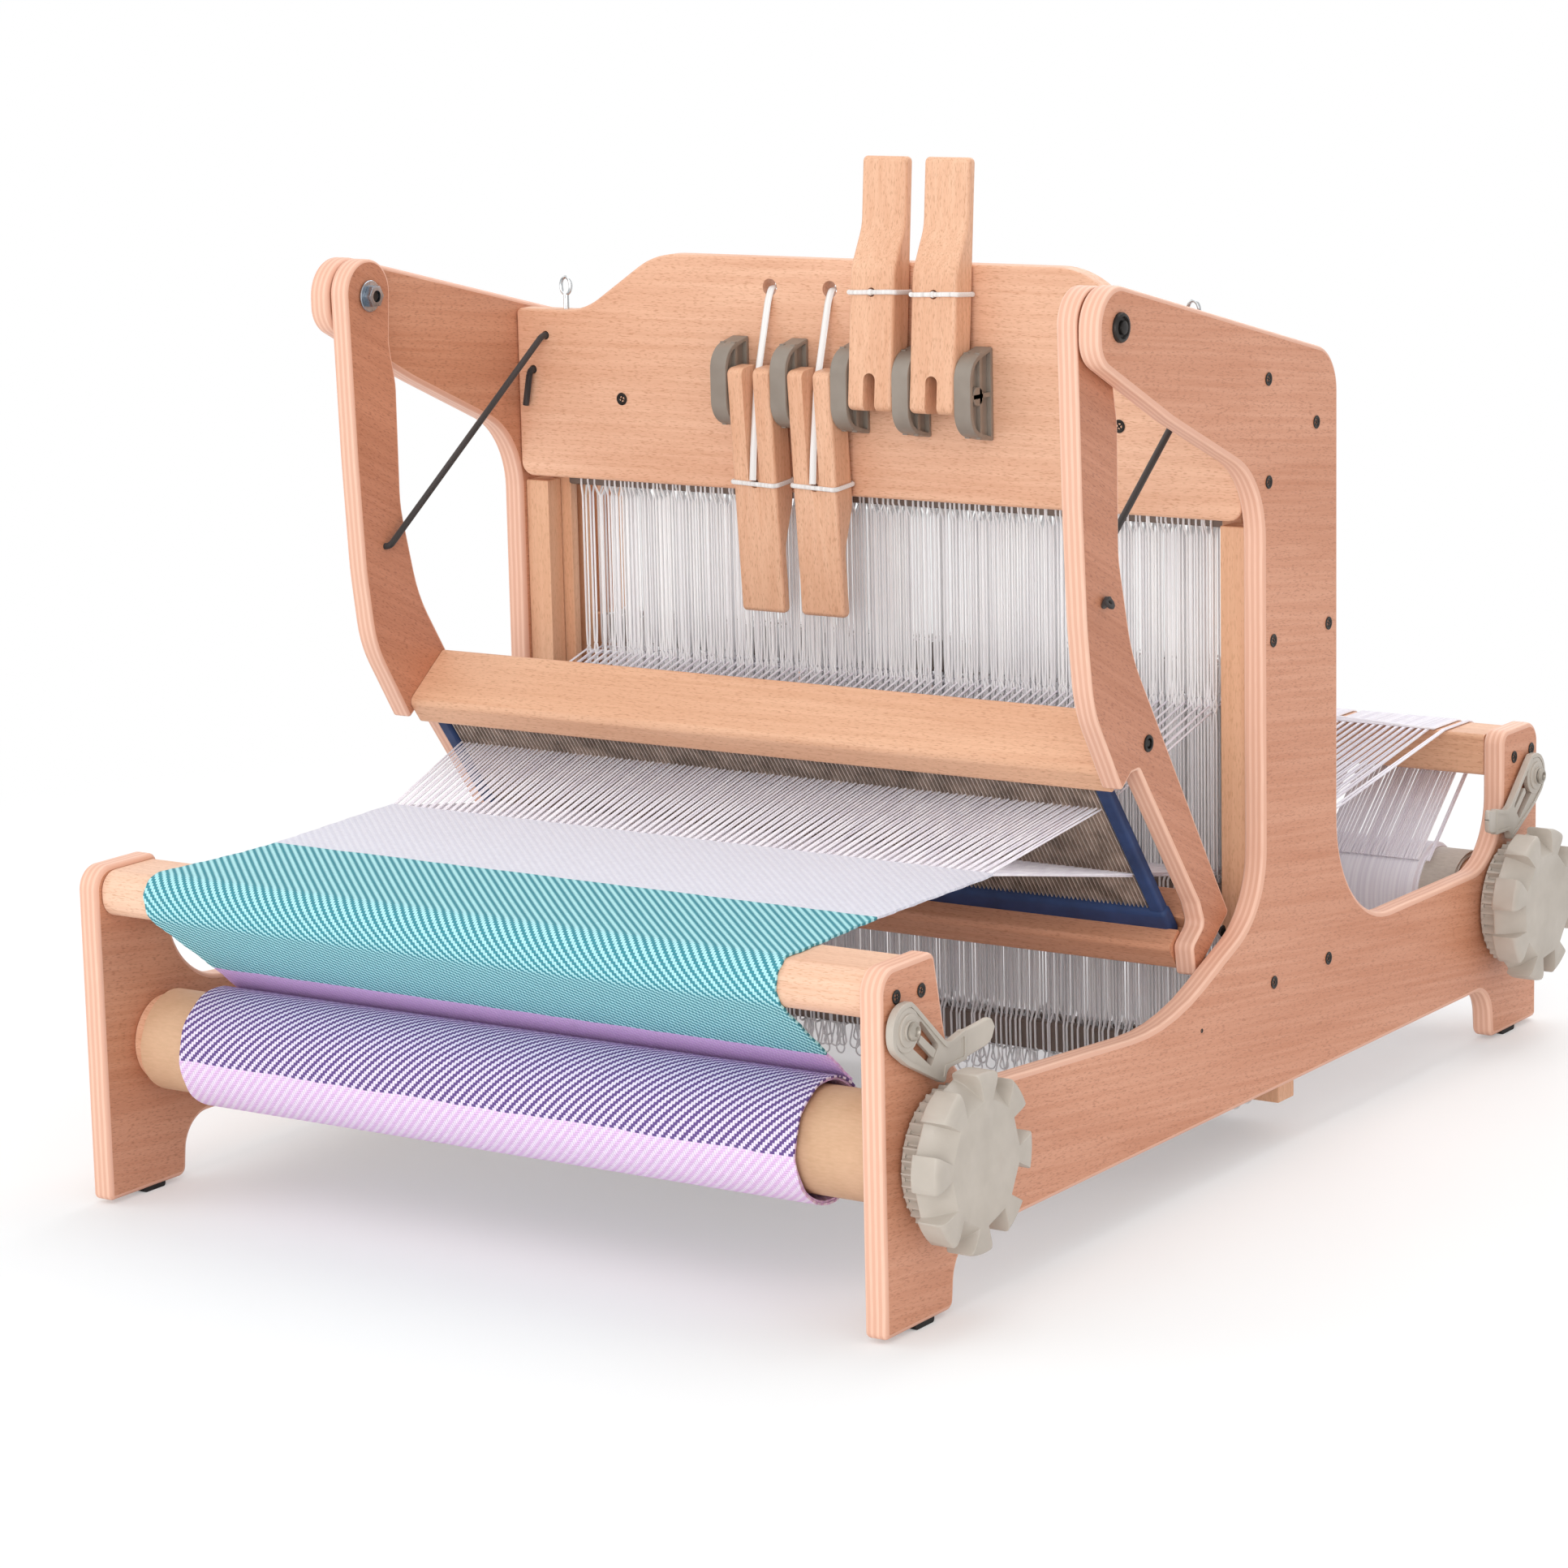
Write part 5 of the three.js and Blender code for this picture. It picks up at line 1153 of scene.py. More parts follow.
@dataclass
class Castle:
    """The castle's front board, its split pins and its screws, and the rail behind."""

    reach: float = 222.7
    front: float = BOARD_FRONT
    thickness: float = BOARD_BACK - BOARD_FRONT
    bottom: float = 322.0
    shoulder: float = 413.5
    crest: float = 445.5
    cord_holes: tuple[float, ...] = (-56.25, -18.75, 18.75, 56.25)
    cord_height: float = CORD_HEIGHT
    elastic_holes: tuple[Flat, ...] = ((203.4, 399.3), (212.4, 380.4))
    screw_place: Flat = (153.5, 366.8)
    pin_offset: float = 193.0
    pin_leg: float = 11.0
    pin_rise: float = 12.5
    pin_wire: Flat = (2.5, 1.7)
    pin_ring: Flat = (3.2, 4.7)

    def board(self) -> None:
        """The front board with its crest and its holes."""
        half = [(self.reach, self.bottom, 8), (self.reach, self.shoulder, 3), (178, self.shoulder, 40),
                (130, self.crest, 45)]
        holes = [circle((x, self.cord_height), 4.5, 28) for x in self.cord_holes]
        holes += [circle((s.value * x, z), 2.4, 16) for s in Side for x, z in self.elastic_holes]
        form = Form("castle_board")
        outline = rounded(half + [(-x, z, r) for x, z, r in reversed(half)], FINE_STEP)
        form.prism(outline, self.front, self.front + self.thickness, Along.Y, 1.5, 3, holes)
        form.hung("frame", PALE_WOOD, nodes=["castle_front_board"])
        dressed("castle_cord_rail", PALE_WOOD)

    def pins(self) -> None:
        """The split pins on the board's shoulders."""
        for side in Side:
            x, y = side.value * self.pin_offset, self.front + self.thickness / 2
            low, middle = self.shoulder - self.pin_leg, self.shoulder + self.pin_rise
            eye = [(x + a * self.pin_ring[0], y, middle + b * self.pin_ring[1]) for a, b in
                   arc((0, 0), 1.0, math.radians(-100), math.radians(-440), 26)]
            path = [Vector(p) for p in [(x - 0.7, y, low), *eye, (x + 0.7, y, low)]]
            form = Form(f"{side.word}_split_pin_wire")
            form.ribbon(path, *self.pin_wire, 8, (0, 1, 0))
            form.hung("frame", PIN_STEEL, nodes=[f"{side.word}_split_pin"])

    def build(self, screws: Screws) -> None:
        """Builds and hangs the castle's pieces."""
        self.board()
        self.pins()
        places = [(side.value * self.screw_place[0], self.front - SEAT, self.screw_place[1]) for side in Side]
        screws.driven("castle_board_screws", "frame", places, (math.pi / 2, 0, 0))


@dataclass
class Levers:
    """The levers, the brackets between them and the cords that they pull."""

    pitch: float = 37.5
    count: int = SHAFT_COUNT
    raised: int = RAISED_SHAFTS
    board_front: float = BOARD_FRONT
    board_back: float = BOARD_BACK
    bracket_width: float = 10.0
    bracket_reach: float = 22.7
    bracket_height: float = 48.5
    wall: float = 2.4
    pivot: Flat = (345.5, 380.0)
    thickness: float = 16.5
    fork: float = 10.0
    handle: float = 120.5
    handle_thickness: float = 7.0
    slot: float = 7.0
    tie: float = 51.0
    tie_hole: float = 2.4
    lean: float = math.radians(4.5)
    tape_size: Flat = (4.2, 1.7)
    cord_height: float = CORD_HEIGHT
    rail: Flat = (416.7, 388.0)

    @property
    def flat(self) -> float:
        """Half a lever's thickness."""
        return self.thickness / 2

    @property
    def half(self) -> float:
        """Half a lever's width."""
        return (self.pitch - self.bracket_width) / 2 - 0.3

    def across(self, index: float) -> float:
        """A lever's middle across the loom."""
        return (index - (self.count - 1) / 2) * self.pitch

    def bracket_outline(self, shrink: float) -> list[Flat]:
        """The outline of a bracket's cheek, moved in by a distance.

        Args:
            shrink: The distance.

        Returns:
            The outline in Y and Z.
        """
        back, front = self.board_front - 0.3 - shrink, self.board_front - 0.3 - self.bracket_reach + shrink
        drop = self.bracket_height / 2 - shrink
        middle, radius = self.pivot[1], 14 - shrink
        return rounded([(back, middle - drop, 1), (back, middle + drop, 1), (front, middle + drop - 5, radius),
                        (front, middle - drop + 5, radius)])

    def brackets(self) -> None:
        """The brackets: a web, a rim round it, a ribbed cross and a boss."""
        half = self.bracket_width / 2
        web = half - 2.5
        y, z = self.pivot
        ribs = (oblong((y - 7, z - 1.1), (y + 13, z + 1.1)), oblong((y + 1.5, z - 22), (y + 3.7, z + 22)))
        for index in range(self.count + 1):
            x = self.across(index - 0.5)
            form = Form(f"bracket_{index + 1}")
            form.prism(self.bracket_outline(0.2), x - web, x + web)
            form.prism(self.bracket_outline(0), x - half, x + half, Along.X, 0.7, 2, [self.bracket_outline(self.wall)])
            for side, outermost in ((-1, 0), (1, self.count)):
                near, far = x + side * (web - 0.5), x + side * (half - 0.3)
                for rib in ribs:
                    form.prism(rib, near, far)
                form.prism(circle(self.pivot, 4.9, 24), near, far, Along.X, 0.3, 1)
                if index != outermost:
                    form.prism(circle(self.pivot, 2.5, 20), x + side * web, x + side * (half + 4))
            form.hung("frame", BRACKET_PLASTIC, nodes=[f"lever_bracket_{index + 1}"])

    def stand(self, index: int) -> Matrix:
        """The place of a lever, whose pivot is its origin."""
        turn = math.pi + self.lean if index < self.raised else -self.lean
        return Matrix.Translation((self.across(index), *self.pivot)) @ Matrix.Rotation(turn, 4, "X")

    def cutters(self, stand: Matrix) -> list[Object]:
        """The shapes that cut a lever's slot and its tie hole.

        Args:
            stand: The lever's place.

        Returns:
            The slot's shape and the hole's.
        """
        front_end, back_end = 19.5 - self.fork, 62 - self.fork
        rise = (back_end - front_end) / self.thickness
        reach, half, foot = self.flat + 1, self.slot / 2, -self.fork - 3
        slot, hole = Form("slot_cutter"), Form("tie_cutter")
        slot.loft([
            [stand @ Vector((a, level, b)) for a, b in
             [(half, foot), *arc((0, end - half), half, 0, math.pi, 12), (-half, foot)]]
            for level, end in ((-reach, front_end - rise), (reach, back_end + rise))
        ])
        hole.prism(circle((0, self.tie), self.tie_hole, 20), -reach, reach, Along.Y, turn=stand)
        return [slot.made(LEVER_WOOD), hole.made(LEVER_WOOD)]

    def levers(self) -> None:
        """The levers, each cut for its cord."""
        flat, face = self.flat, self.flat - self.handle_thickness
        foot, top = -self.fork, self.handle
        outline = rounded([(-flat, foot, 4), (flat, foot, 4), (flat, top, 3), (face, top, 3), (face, 85, 22),
                           (-flat, 63, 22)])
        for index in range(self.count):
            form = Form(f"lever_wood_{index + 1}")
            form.prism(outline, -self.half, self.half, Along.X, 2.0, 4, turn=self.stand(index))
            piece = carved(form.made(LEVER_WOOD), self.cutters(self.stand(index)), 0.9)
            fitted(piece, LEVER_WOOD, f"lever_{index + 1}", f"lever_{index + 1}")

    def cords(self, tops: Sequence[float], backs: Sequence[float]) -> None:
        """The lift cords and the loops that tie them to the levers.

        Args:
            tops: The height of each shaft's top.
            backs: The middle of each shaft, front to back.
        """
        for index, (top, back) in enumerate(zip(tops, backs)):
            x, stand, down = self.across(index), self.stand(index), index < self.raised
            knot = stand @ Vector((0, self.flat + 1.2, self.tie - (2 if down else 0)))
            hole = (x, (self.board_front + self.board_back) / 2, self.cord_height)
            ahead = [knot]
            if down:
                ahead += [stand @ Vector((0, self.flat - drop, z)) for drop, z in ((1.5, self.tie - 18), (9, -2))]
                ahead.append((x, self.board_front - 1.6, self.cord_height - 6))
            ahead += [(x, self.board_front + 2, self.cord_height), hole]
            behind = [hole, (x, self.board_back + 1.5, self.cord_height)]
            if index == self.count - 1:
                behind += [(x, *self.rail), (x, self.rail[0], 350)]
            else:
                behind.append((x, back, 402))
            behind += [(x, back, top + 7), (x, back, top + 0.6)]
            for word, body, places, start, end in (
                ("ahead", "lever", ahead, hole, knot), ("behind", "shaft", behind, behind[-3], behind[-1]),
            ):
                form = Form(f"lift_tape_{index + 1}_{word}")
                form.ribbon(bend(places, 5, 5), *self.tape_size, 10)
                stretched(form.made(LIFT_CORD), f"lift_cord_{index + 1}", f"{body}_{index + 1}", end)
            self.tie_loop(index, stand)

    def tie_loop(self, index: int, stand: Matrix) -> None:
        """The cord tied round a lever, with its knot at the hole.

        Args:
            index: The lever's number.
            stand: Its place.
        """
        a, b = self.half + 0.9, self.flat + 0.9
        rim = oblong((-a, -b), (a, b), 2.6, math.radians(15))
        form = Form(f"tie_loop_{index + 1}")
        rings = []
        for i, (a, b) in enumerate(rim):
            heading = (Vector(rim[(i + 1) % len(rim)]) - Vector(rim[i - 1])).normalized()
            level = self.tie + 0.5 * math.sin(a / self.half * 2.2)
            rings.append([stand @ Vector((a + heading.y * 0.9 * c, b - heading.x * 0.9 * c, level + 1.25 * s))
                          for c, s in circle((0, 0), 1, 8)])
        form.loft(rings, looped=True)
        form.loft([[stand @ Vector((1.9 * c * share, out - self.flat - 1.0, self.tie + 1.7 * s * share))
                    for c, s in circle((0, 0), 1, 12)]
                   for out, share in ((1.6, 0.8), (0.2, 1.0), (-0.9, 0.8), (-1.3, 0.3))])
        form.hung(f"lever_{index + 1}", LIFT_CORD)

    def build(self, tops: Sequence[float], backs: Sequence[float]) -> None:
        """Builds and hangs levers, brackets and cords."""
        self.brackets()
        self.levers()
        self.cords(tops, backs)


@dataclass
class HeddleShafts:
    """The four shafts with their heddles, and the guides that they slide in."""

    inner: float = PANEL_INNER
    first: float = 380.0
    pitch: float = 40 / 3
    count: int = SHAFT_COUNT
    bar_thickness: float = 6.0
    bar_height: float = 16.0
    bar_half: float = 202.0
    strut: float = 12.0
    window: float = 184.0
    raised: int = RAISED_SHAFTS
    raised_bottom: float = 116.0
    travel: float = 92.0
    heddle_count: int = 120
    cord_apart: float = 0.78
    heddle_span: Flat = (-178.0, 197.0)
    slack_count: int = 36
    slack_reach: float = 194.0
    eye: float = 7.0
    guide_span: Flat = (364.5, 436.0)
    guide_levels: Flat = (60.0, 319.0)
    guide_reach: float = 14.7
    guide_base: float = 7.5
    guide_post: tuple[Flat, Flat] = ((398.2, 15), (415.2, 61))
    guide_foot: tuple[Flat, Flat] = ((398.0, 14.8), (415.4, 23.7))
    slot_half: float = 4.0

    def middle(self, index: int) -> float:
        """A shaft's middle, front to back."""
        return self.first + index * self.pitch

    def bottom(self, index: int) -> float:
        """A shaft's lowest level."""
        return self.raised_bottom - (0 if index < self.raised else self.travel)

    def top(self, index: int) -> float:
        """A shaft's highest level."""
        return self.bottom(index) + 2 * self.bar_height + self.window

    def eye_level(self, index: int) -> float:
        """The height of a shaft's heddle eyes."""
        return self.bottom(index) + self.bar_height + self.window / 2

    def shaft(self, index: int) -> None:
        """Two bars and the struts that join them.

        Args:
            index: The shaft's number.
        """
        y, low, high = self.middle(index), self.bottom(index), self.top(index)
        half, end = self.bar_thickness / 2, self.bar_half + 1
        form = Form(f"shaft_frame_{index + 1}")
        for z in (low, high - self.bar_height):
            form.prism(oblong((y - half, z), (y + half, z + self.bar_height), 1.2, COARSE_STEP), -end, end)
        for side in Side:
            x = side.value * (self.bar_half + self.strut / 2)
            outline = oblong((x - self.strut / 2, low), (x + self.strut / 2, high), 2.5, math.radians(22))
            form.prism(outline, y - half - SEAT, y + half + SEAT, Along.Y, 0.9, 2, dress=(1, 1, 1))
        body = f"shaft_{index + 1}"
        form.hung(body, BAR_STEEL, UPRIGHT_WOOD, nodes=[body])

    @staticmethod
    def shape(name: str, lines: Sequence[Sequence[Corner]], radius: float, sides: int) -> Object:
        """A small shape of cords about the origin, for a tree to repeat."""
        centred = [[Vector(p) - LOOM_SHIFT for p in line] for line in lines]
        return Repeats.yarns(name, centred, radius, sides, HEDDLE_CORD)

    def heddle_shape(self) -> Object:
        """One heddle: a loop round each bar, two cords and an eye.

        Returns:
            The shape.
        """
        reach, eye, apart = self.window / 2, self.eye / 2, self.cord_apart
        end, half = reach + self.bar_height, self.bar_thickness / 2 + 0.55
        up = [(0.6, 0, eye), (apart, 0.2, eye + 9), (apart, 0.25, reach * 0.94), (0.5, half, reach + 1),
              (0.3, half, end), (0, half * 0.5, end + 1.1)]
        lines = [[(x, y, s * z) for x, y, z in up] + [(-x, -y, s * z) for x, y, z in reversed(up)] for s in (-1, 1)]
        lines.append([(0.85 * a, 0, eye * b) for b, a in arc((0, 0), 1, 0, TURN, 8)])
        return self.shape("heddle_shape", lines, 0.6, 4)

    def slack_shape(self) -> Object:
        """The slack end of a heddle: a loop that hangs under the lower bar.

        Returns:
            The shape.
        """
        lines = []
        for x, width, drop in ((-1.2, 2.4, 18.0), (1.6, 1.9, 13.0)):
            loop = arc((x, width - drop), width, math.radians(160), math.radians(380), 9)
            lines.append([(x - 0.5, -1.2, 1.5), (x - 0.4, -1.0, -drop * 0.35),
                          *[(a, 0.3 * (k - 5), c) for k, (a, c) in enumerate(loop)],
                          (x + 0.5, 1.0, -drop * 0.35), (x + 0.4, 1.2, 1.5)])
        return self.shape("slack_shape", lines, 0.5, 5)

    def heddles(self, index: int, shape: Object, slack: Object) -> None:
        """A shaft's row of heddles, the few at its left end that stand apart, and their slack ends.

        Args:
            index: The shaft's number.
            shape: A heddle.
            slack: A slack end.
        """
        y, level, low = self.middle(index), self.eye_level(index), self.bottom(index) - 0.4
        first, last = self.heddle_span
        pitch = (last - first) / (self.heddle_count - 1)
        slack_pitch = 2 * self.slack_reach / (self.slack_count - 1)
        for name, made, count, start, step, wander, turn, seed, nodes in (
            ("heddle_row", shape, self.heddle_count, (first + index * pitch / 4, y, level), pitch, (0.7, 0, 1.3), 0.3,
             11, [f"heddles_{index + 1}"]),
            ("spare_heddles", shape, 3, (-196, y, level), 6.5, (1.5, 0, 1.3), 0.6, 21, []),
            ("slack_ends", slack, self.slack_count, (-self.slack_reach, y, low), slack_pitch, (1.6, 0, 1.2), 0.9,
             31, []),
        ):
            row = Repeats.row(f"{name}_{index + 1}", made, count, start, step, wander, turn, seed + index, HEDDLE_CORD)
            fitted(row, HEDDLE_CORD, f"shaft_{index + 1}", *nodes)

    def guides(self) -> None:
        """The slatted guides on the panels, with the block under them."""
        outer, tip, floor = self.inner - 0.3, self.inner - self.guide_reach, self.inner - self.guide_base - 0.3
        front, back = self.guide_span
        half = self.slot_half
        profile = [(outer, front), (tip, front)]
        for y in map(self.middle, range(self.count)):
            profile += [(tip, y - half), (floor, y - half), (floor, y + half), (tip, y + half)]
        profile += [(tip, back), (outer, back)]
        for side in Side:
            sign = side.value
            form = Form(f"{side.word}_guide")
            form.prism([(sign * x, y) for x, y in profile], *self.guide_levels, Along.Z, 0.5, 1)
            form.prism(oblong(*self.guide_post, 1), sign * floor, sign * outer, Along.X, 0.6, 2)
            form.prism(oblong(*self.guide_foot, 1), sign * (tip - 2), sign * (outer - 0.1), Along.X, 0.6, 2)
            form.hung("frame", UPRIGHT_WOOD, nodes=[f"{side.word}_shaft_guide"])

    def build(self) -> None:
        """Builds and hangs shafts, heddles and guides."""
        shape, slack = self.heddle_shape(), self.slack_shape()
        for index in range(self.count):
            self.shaft(index)
            self.heddles(index, shape, slack)
        bpy.data.objects.remove(shape)
        bpy.data.objects.remove(slack)
        self.guides()


@dataclass
class Beater:
    """The swinging beater: arms, rails and reed, its pivots and its elastics."""

    pivot: Flat = BEATER_PIVOT
    head: float = 19.0
    lean: float = math.radians(37.2)
    corner: Flat = (238.4, 216.5)
    arm_inner: float = 211.0
    arm_outer: float = 222.0
    bolt: Flat = (265.1, 226.4)
    bolt_radius: float = 4.3
    screw_places: tuple[Flat, ...] = ((339.4, 118), (322.4, 105.6))
    rail_height: float = 17.0
    rail_depth: float = 40.0
    bottom_rail: float = 120.5
    reed_top: float = 9.0
    reed_bottom: float = 128.0
    reed_front: float = 4.0
    reed_depth: float = 7.0
    reed_half: float = 205.5
    dents: int = 160
    dent_pitch: float = 2.5
    dent_size: Corner = (0.34, 1.7, 52)
    elastic_x: float = 203.4
    elastic_radius: float = 1.75

    def stand(self) -> Matrix:
        """The place of the frame that the rails and the reed are drawn in: Y back through it, Z up along it."""
        return Matrix.Translation((0, *self.corner)) @ Matrix.Rotation(self.lean, 4, "X")

    def on(self, down: float, back: float, radius: float) -> Corner:
        """A corner at distances down the reed and back through it."""
        point = self.stand() @ Vector((0, back, -down))
        return (point.y, point.z, radius)

    def share_at_reed(self, first: Vector, second: Vector) -> float:
        """How far along a thread, from nothing to one, it passes the reed's middle."""
        middle = self.stand() @ Vector((0, self.reed_front + self.reed_depth / 2, 0))
        slope = math.tan(self.lean)
        run, climb = second.y - first.y, second.z - first.z
        return (middle.y + (middle.z - first.z) * slope - first.y) / (run + climb * slope)

    def arm_outline(self) -> list[Flat]:
        """A round head, a long neck and a foot with the slot for the reed.

        Returns:
            The outline in Y and Z.
        """
        y, z = self.pivot
        r = self.head
        rail_end = self.bottom_rail + self.rail_height
        wall = self.reed_front + self.reed_depth + 2
        return rounded([
            (y - r, z + r, 0.93 * r), (y + r, z + r, 0.93 * r), (y + r - 3, z - 26, 12), (y + r + 1.5, z - 48, 30),
            (y + r + 1.5, z - 112, 60), (y + r + 14, z - 161, 80), self.on(rail_end, 32, 3), self.on(rail_end, -13, 2),
            self.on(self.reed_bottom - 6, -5, 5), self.on(self.reed_bottom - 6, wall - 3, 4),
            self.on(self.reed_bottom - 18, wall, 6), self.on(self.reed_top + 3, wall, 3),
            self.on(self.reed_top - 1, 7, 2), self.on(self.reed_top - 1, -5, 2), (y - 6, z - 183, 60),
            (y - r + 7, z - 142, 150), (y - r + 3.5, z - 83, 200),
        ], FINE_STEP)

    def arms(self, screws: Screws) -> None:
        """Both arms with their bolts and screws.

        Args:
            screws: What the screws are made by.
        """
        r = self.bolt_radius
        levels = [(0.0, r), (0.5, r), (0.8, 0.93 * r), (0.9, 0.62 * r), (-0.6, 0.55 * r), (-0.6, 0.05)]
        for side in Side:
            sign = side.value
            face = sign * self.arm_outer
            form = Form(f"{side.word}_arm")
            form.prism(self.arm_outline(), sign * self.arm_inner, face, Along.X, 1.6, 3, dress=(0, 1, 0))
            form.hung("beater", ARM_FACE, PLY_EDGE, nodes=[f"{side.word}_beater_arm"])
            screws.in_side("arm_screws", "beater", side, self.arm_outer, self.screw_places, 0.9)
            bolt = Form(f"{side.word}_arm_bolt")
            bolt.turned([(face + sign * a, out) for a, out in levels], self.bolt, sides=24)
            bolt.prism(circle(self.bolt, 0.42 * r, 6), face - sign * 0.6, face + sign * 0.25)
            bolt.hung("beater", BLACK_STEEL)

    def pivots(self) -> None:
        """The bolts through the horns, and the nuts and washers on the arms."""
        rim = ((0, 7.2), (1.1, 7.2), (1.9, 6.7), (2.2, 5.4), (1.0, 4.8), (1.0, 3.4), (2.6, 3.2), (2.9, 2.6), (2.9, 0.2))
        for side in Side:
            sign = side.value
            start, end, near = (sign * x for x in (PANEL_OUTER + SEAT, self.arm_inner - 4.4, self.arm_inner - 0.4))
            form = Form(f"{side.word}_pivot_head")
            form.turned([(start + sign * a, r) for a, r in rim], self.pivot, sides=36)
            form.turned([(end, 2.4), (end + sign * 0.6, 3), (start, 3)], self.pivot, sides=20)
            form.hung("frame", BLACK_STEEL, nodes=[f"{side.word}_pivot_bolt"])
            nut = Form(f"{side.word}_hex_nut")
            for radius, sides, a, b, edge, steps, bore in (
                (6, 6, 1.0, 5.0, 0.5, 2, 3.1), (8.2, 36, 0, 1.1, 0.3, 1, 3.2),
            ):
                nut.prism(circle(self.pivot, radius, sides), near - sign * a, near - sign * b, Along.X, edge, steps,
                          [circle(self.pivot, bore, 20)])
            nut.hung("frame", ZINC, nodes=[f"{side.word}_pivot_nut"])

    def rails(self) -> None:
        """The top and bottom rails, grooved for the reed."""
        g0, g1 = self.reed_front - 0.3, self.reed_front + self.reed_depth + 0.3
        high, low = -self.rail_height, -self.bottom_rail
        # The bottom rail takes the darker copy of the rail wood: painted shade.
        for name, finish, front, open_side, far, groove, nose in (
            ("beater_top_rail", RAIL_WOOD, 0.0, high, 0.0, 0.3 - self.reed_top, 4),
            ("beater_bottom_rail", BOTTOM_RAIL_PAINTED_SHADE, -9.0, low, low + high, -0.3 - self.reed_bottom, 3),
        ):
            back = front + self.rail_depth
            outline = rounded([
                (front, open_side, 3), (g0, open_side, 0.6), (g0, groove, 0.4), (g1, groove, 0.4), (g1, open_side, 0.6),
                (back, open_side, 3), (back, far, 3), (front, far, nose),
            ], math.radians(15))
            form = Form(name + "_wood")
            form.prism(outline, 0.3 - self.arm_inner, self.arm_inner - 0.3, turn=self.stand())
            form.hung("beater", finish, nodes=[name])

    def reed(self) -> None:
        """The reed: a row of thin dents between taped baulks and ends."""
        front, back, half, stand = self.reed_front, self.reed_front + self.reed_depth, self.reed_half, self.stand()
        tape = Form("reed_binding")
        for low, tall, wide in ((-self.reed_bottom, 19, 1.2), (-self.reed_top - 8, 8, 0)):
            section = oblong((front - wide, low), (back, low + tall), 3.4)
            tape.prism(section, -half - wide, half + wide, Along.X, 2.6, 3, turn=stand)
        for x in (4 - half, half - 4):
            section = oblong((x - 4, front + 0.4), (x + 4, back - 0.4), 2)
            tape.prism(section, 1 - self.reed_bottom, -self.reed_top - 1, Along.Z, turn=stand)
        tape.hung("beater", REED_TAPE, nodes=["reed"])
        a, b, c = self.dent_size
        shape = Form("dent_shape")
        shape.prism(oblong((-a, -b), (a, b)), -c, c, Along.Z, turn=stand.to_3x3().to_4x4())
        dent = shape.pattern(REED_STEEL)
        start = stand @ Vector((0, (front + back) / 2, -(self.reed_top + self.reed_bottom) / 2))
        start.x = -(self.dents - 1) / 2 * self.dent_pitch
        row = Repeats.row("reed_dents", dent, self.dents, start, self.dent_pitch, (0.05, 0, 0), 0.0, 5, REED_STEEL)
        bpy.data.objects.remove(dent)
        fitted(row, REED_STEEL, "beater")

    def elastics(self) -> None:
        """The elastics that pull the beater back, with the knots at their ends."""
        y, z = self.pivot[0] + 5.5, self.pivot[1] - 131.5
        out = self.elastic_x
        run = ((self.arm_outer + 0.9, y, z), (self.arm_inner - 3, y, z), (out, 357, 399.3), (out, 375, 399.3),
               (out + 9, 375, 380.4), (out + 9, 357, 380.4), (out + 12.5, 357, 361))
        for side in Side:
            s = side.value
            places = [(s * a, b, c) for a, b, c in run]
            cord = Form(f"{side.word}_shock_cord")
            cord.ribbon(bend(places, 3, 5), 2 * self.elastic_radius, 2 * self.elastic_radius, 12, (0, 0.3, 1))
            stretched(cord.made(ELASTIC), f"{side.word}_elastic", "beater", places[1])
            knot = Form(f"{side.word}_shock_cord_knot")
            for shift, lean in ((1.3, 0.5), (2.9, -0.6)):
                turn = Matrix.Translation((s * (self.arm_outer + shift), y, z)) @ Matrix.Rotation(lean, 4, "Y")
                knot.loft([[turn @ Vector((0.9 * up, (2.3 + 1.3 * on) * c, (2.3 + 1.3 * on) * d))
                            for on, up in circle((0, 0), 1, 8)] for c, d in circle((0, 0), 1, 16)], looped=True)
            knot.hung("beater", ELASTIC)

    def build(self, screws: Screws) -> None:
        """Builds and hangs the beater's pieces.

        Args:
            screws: What the screws are made by.
        """
        self.arms(screws)
        self.pivots()
        self.rails()
        self.reed()
        self.elastics()


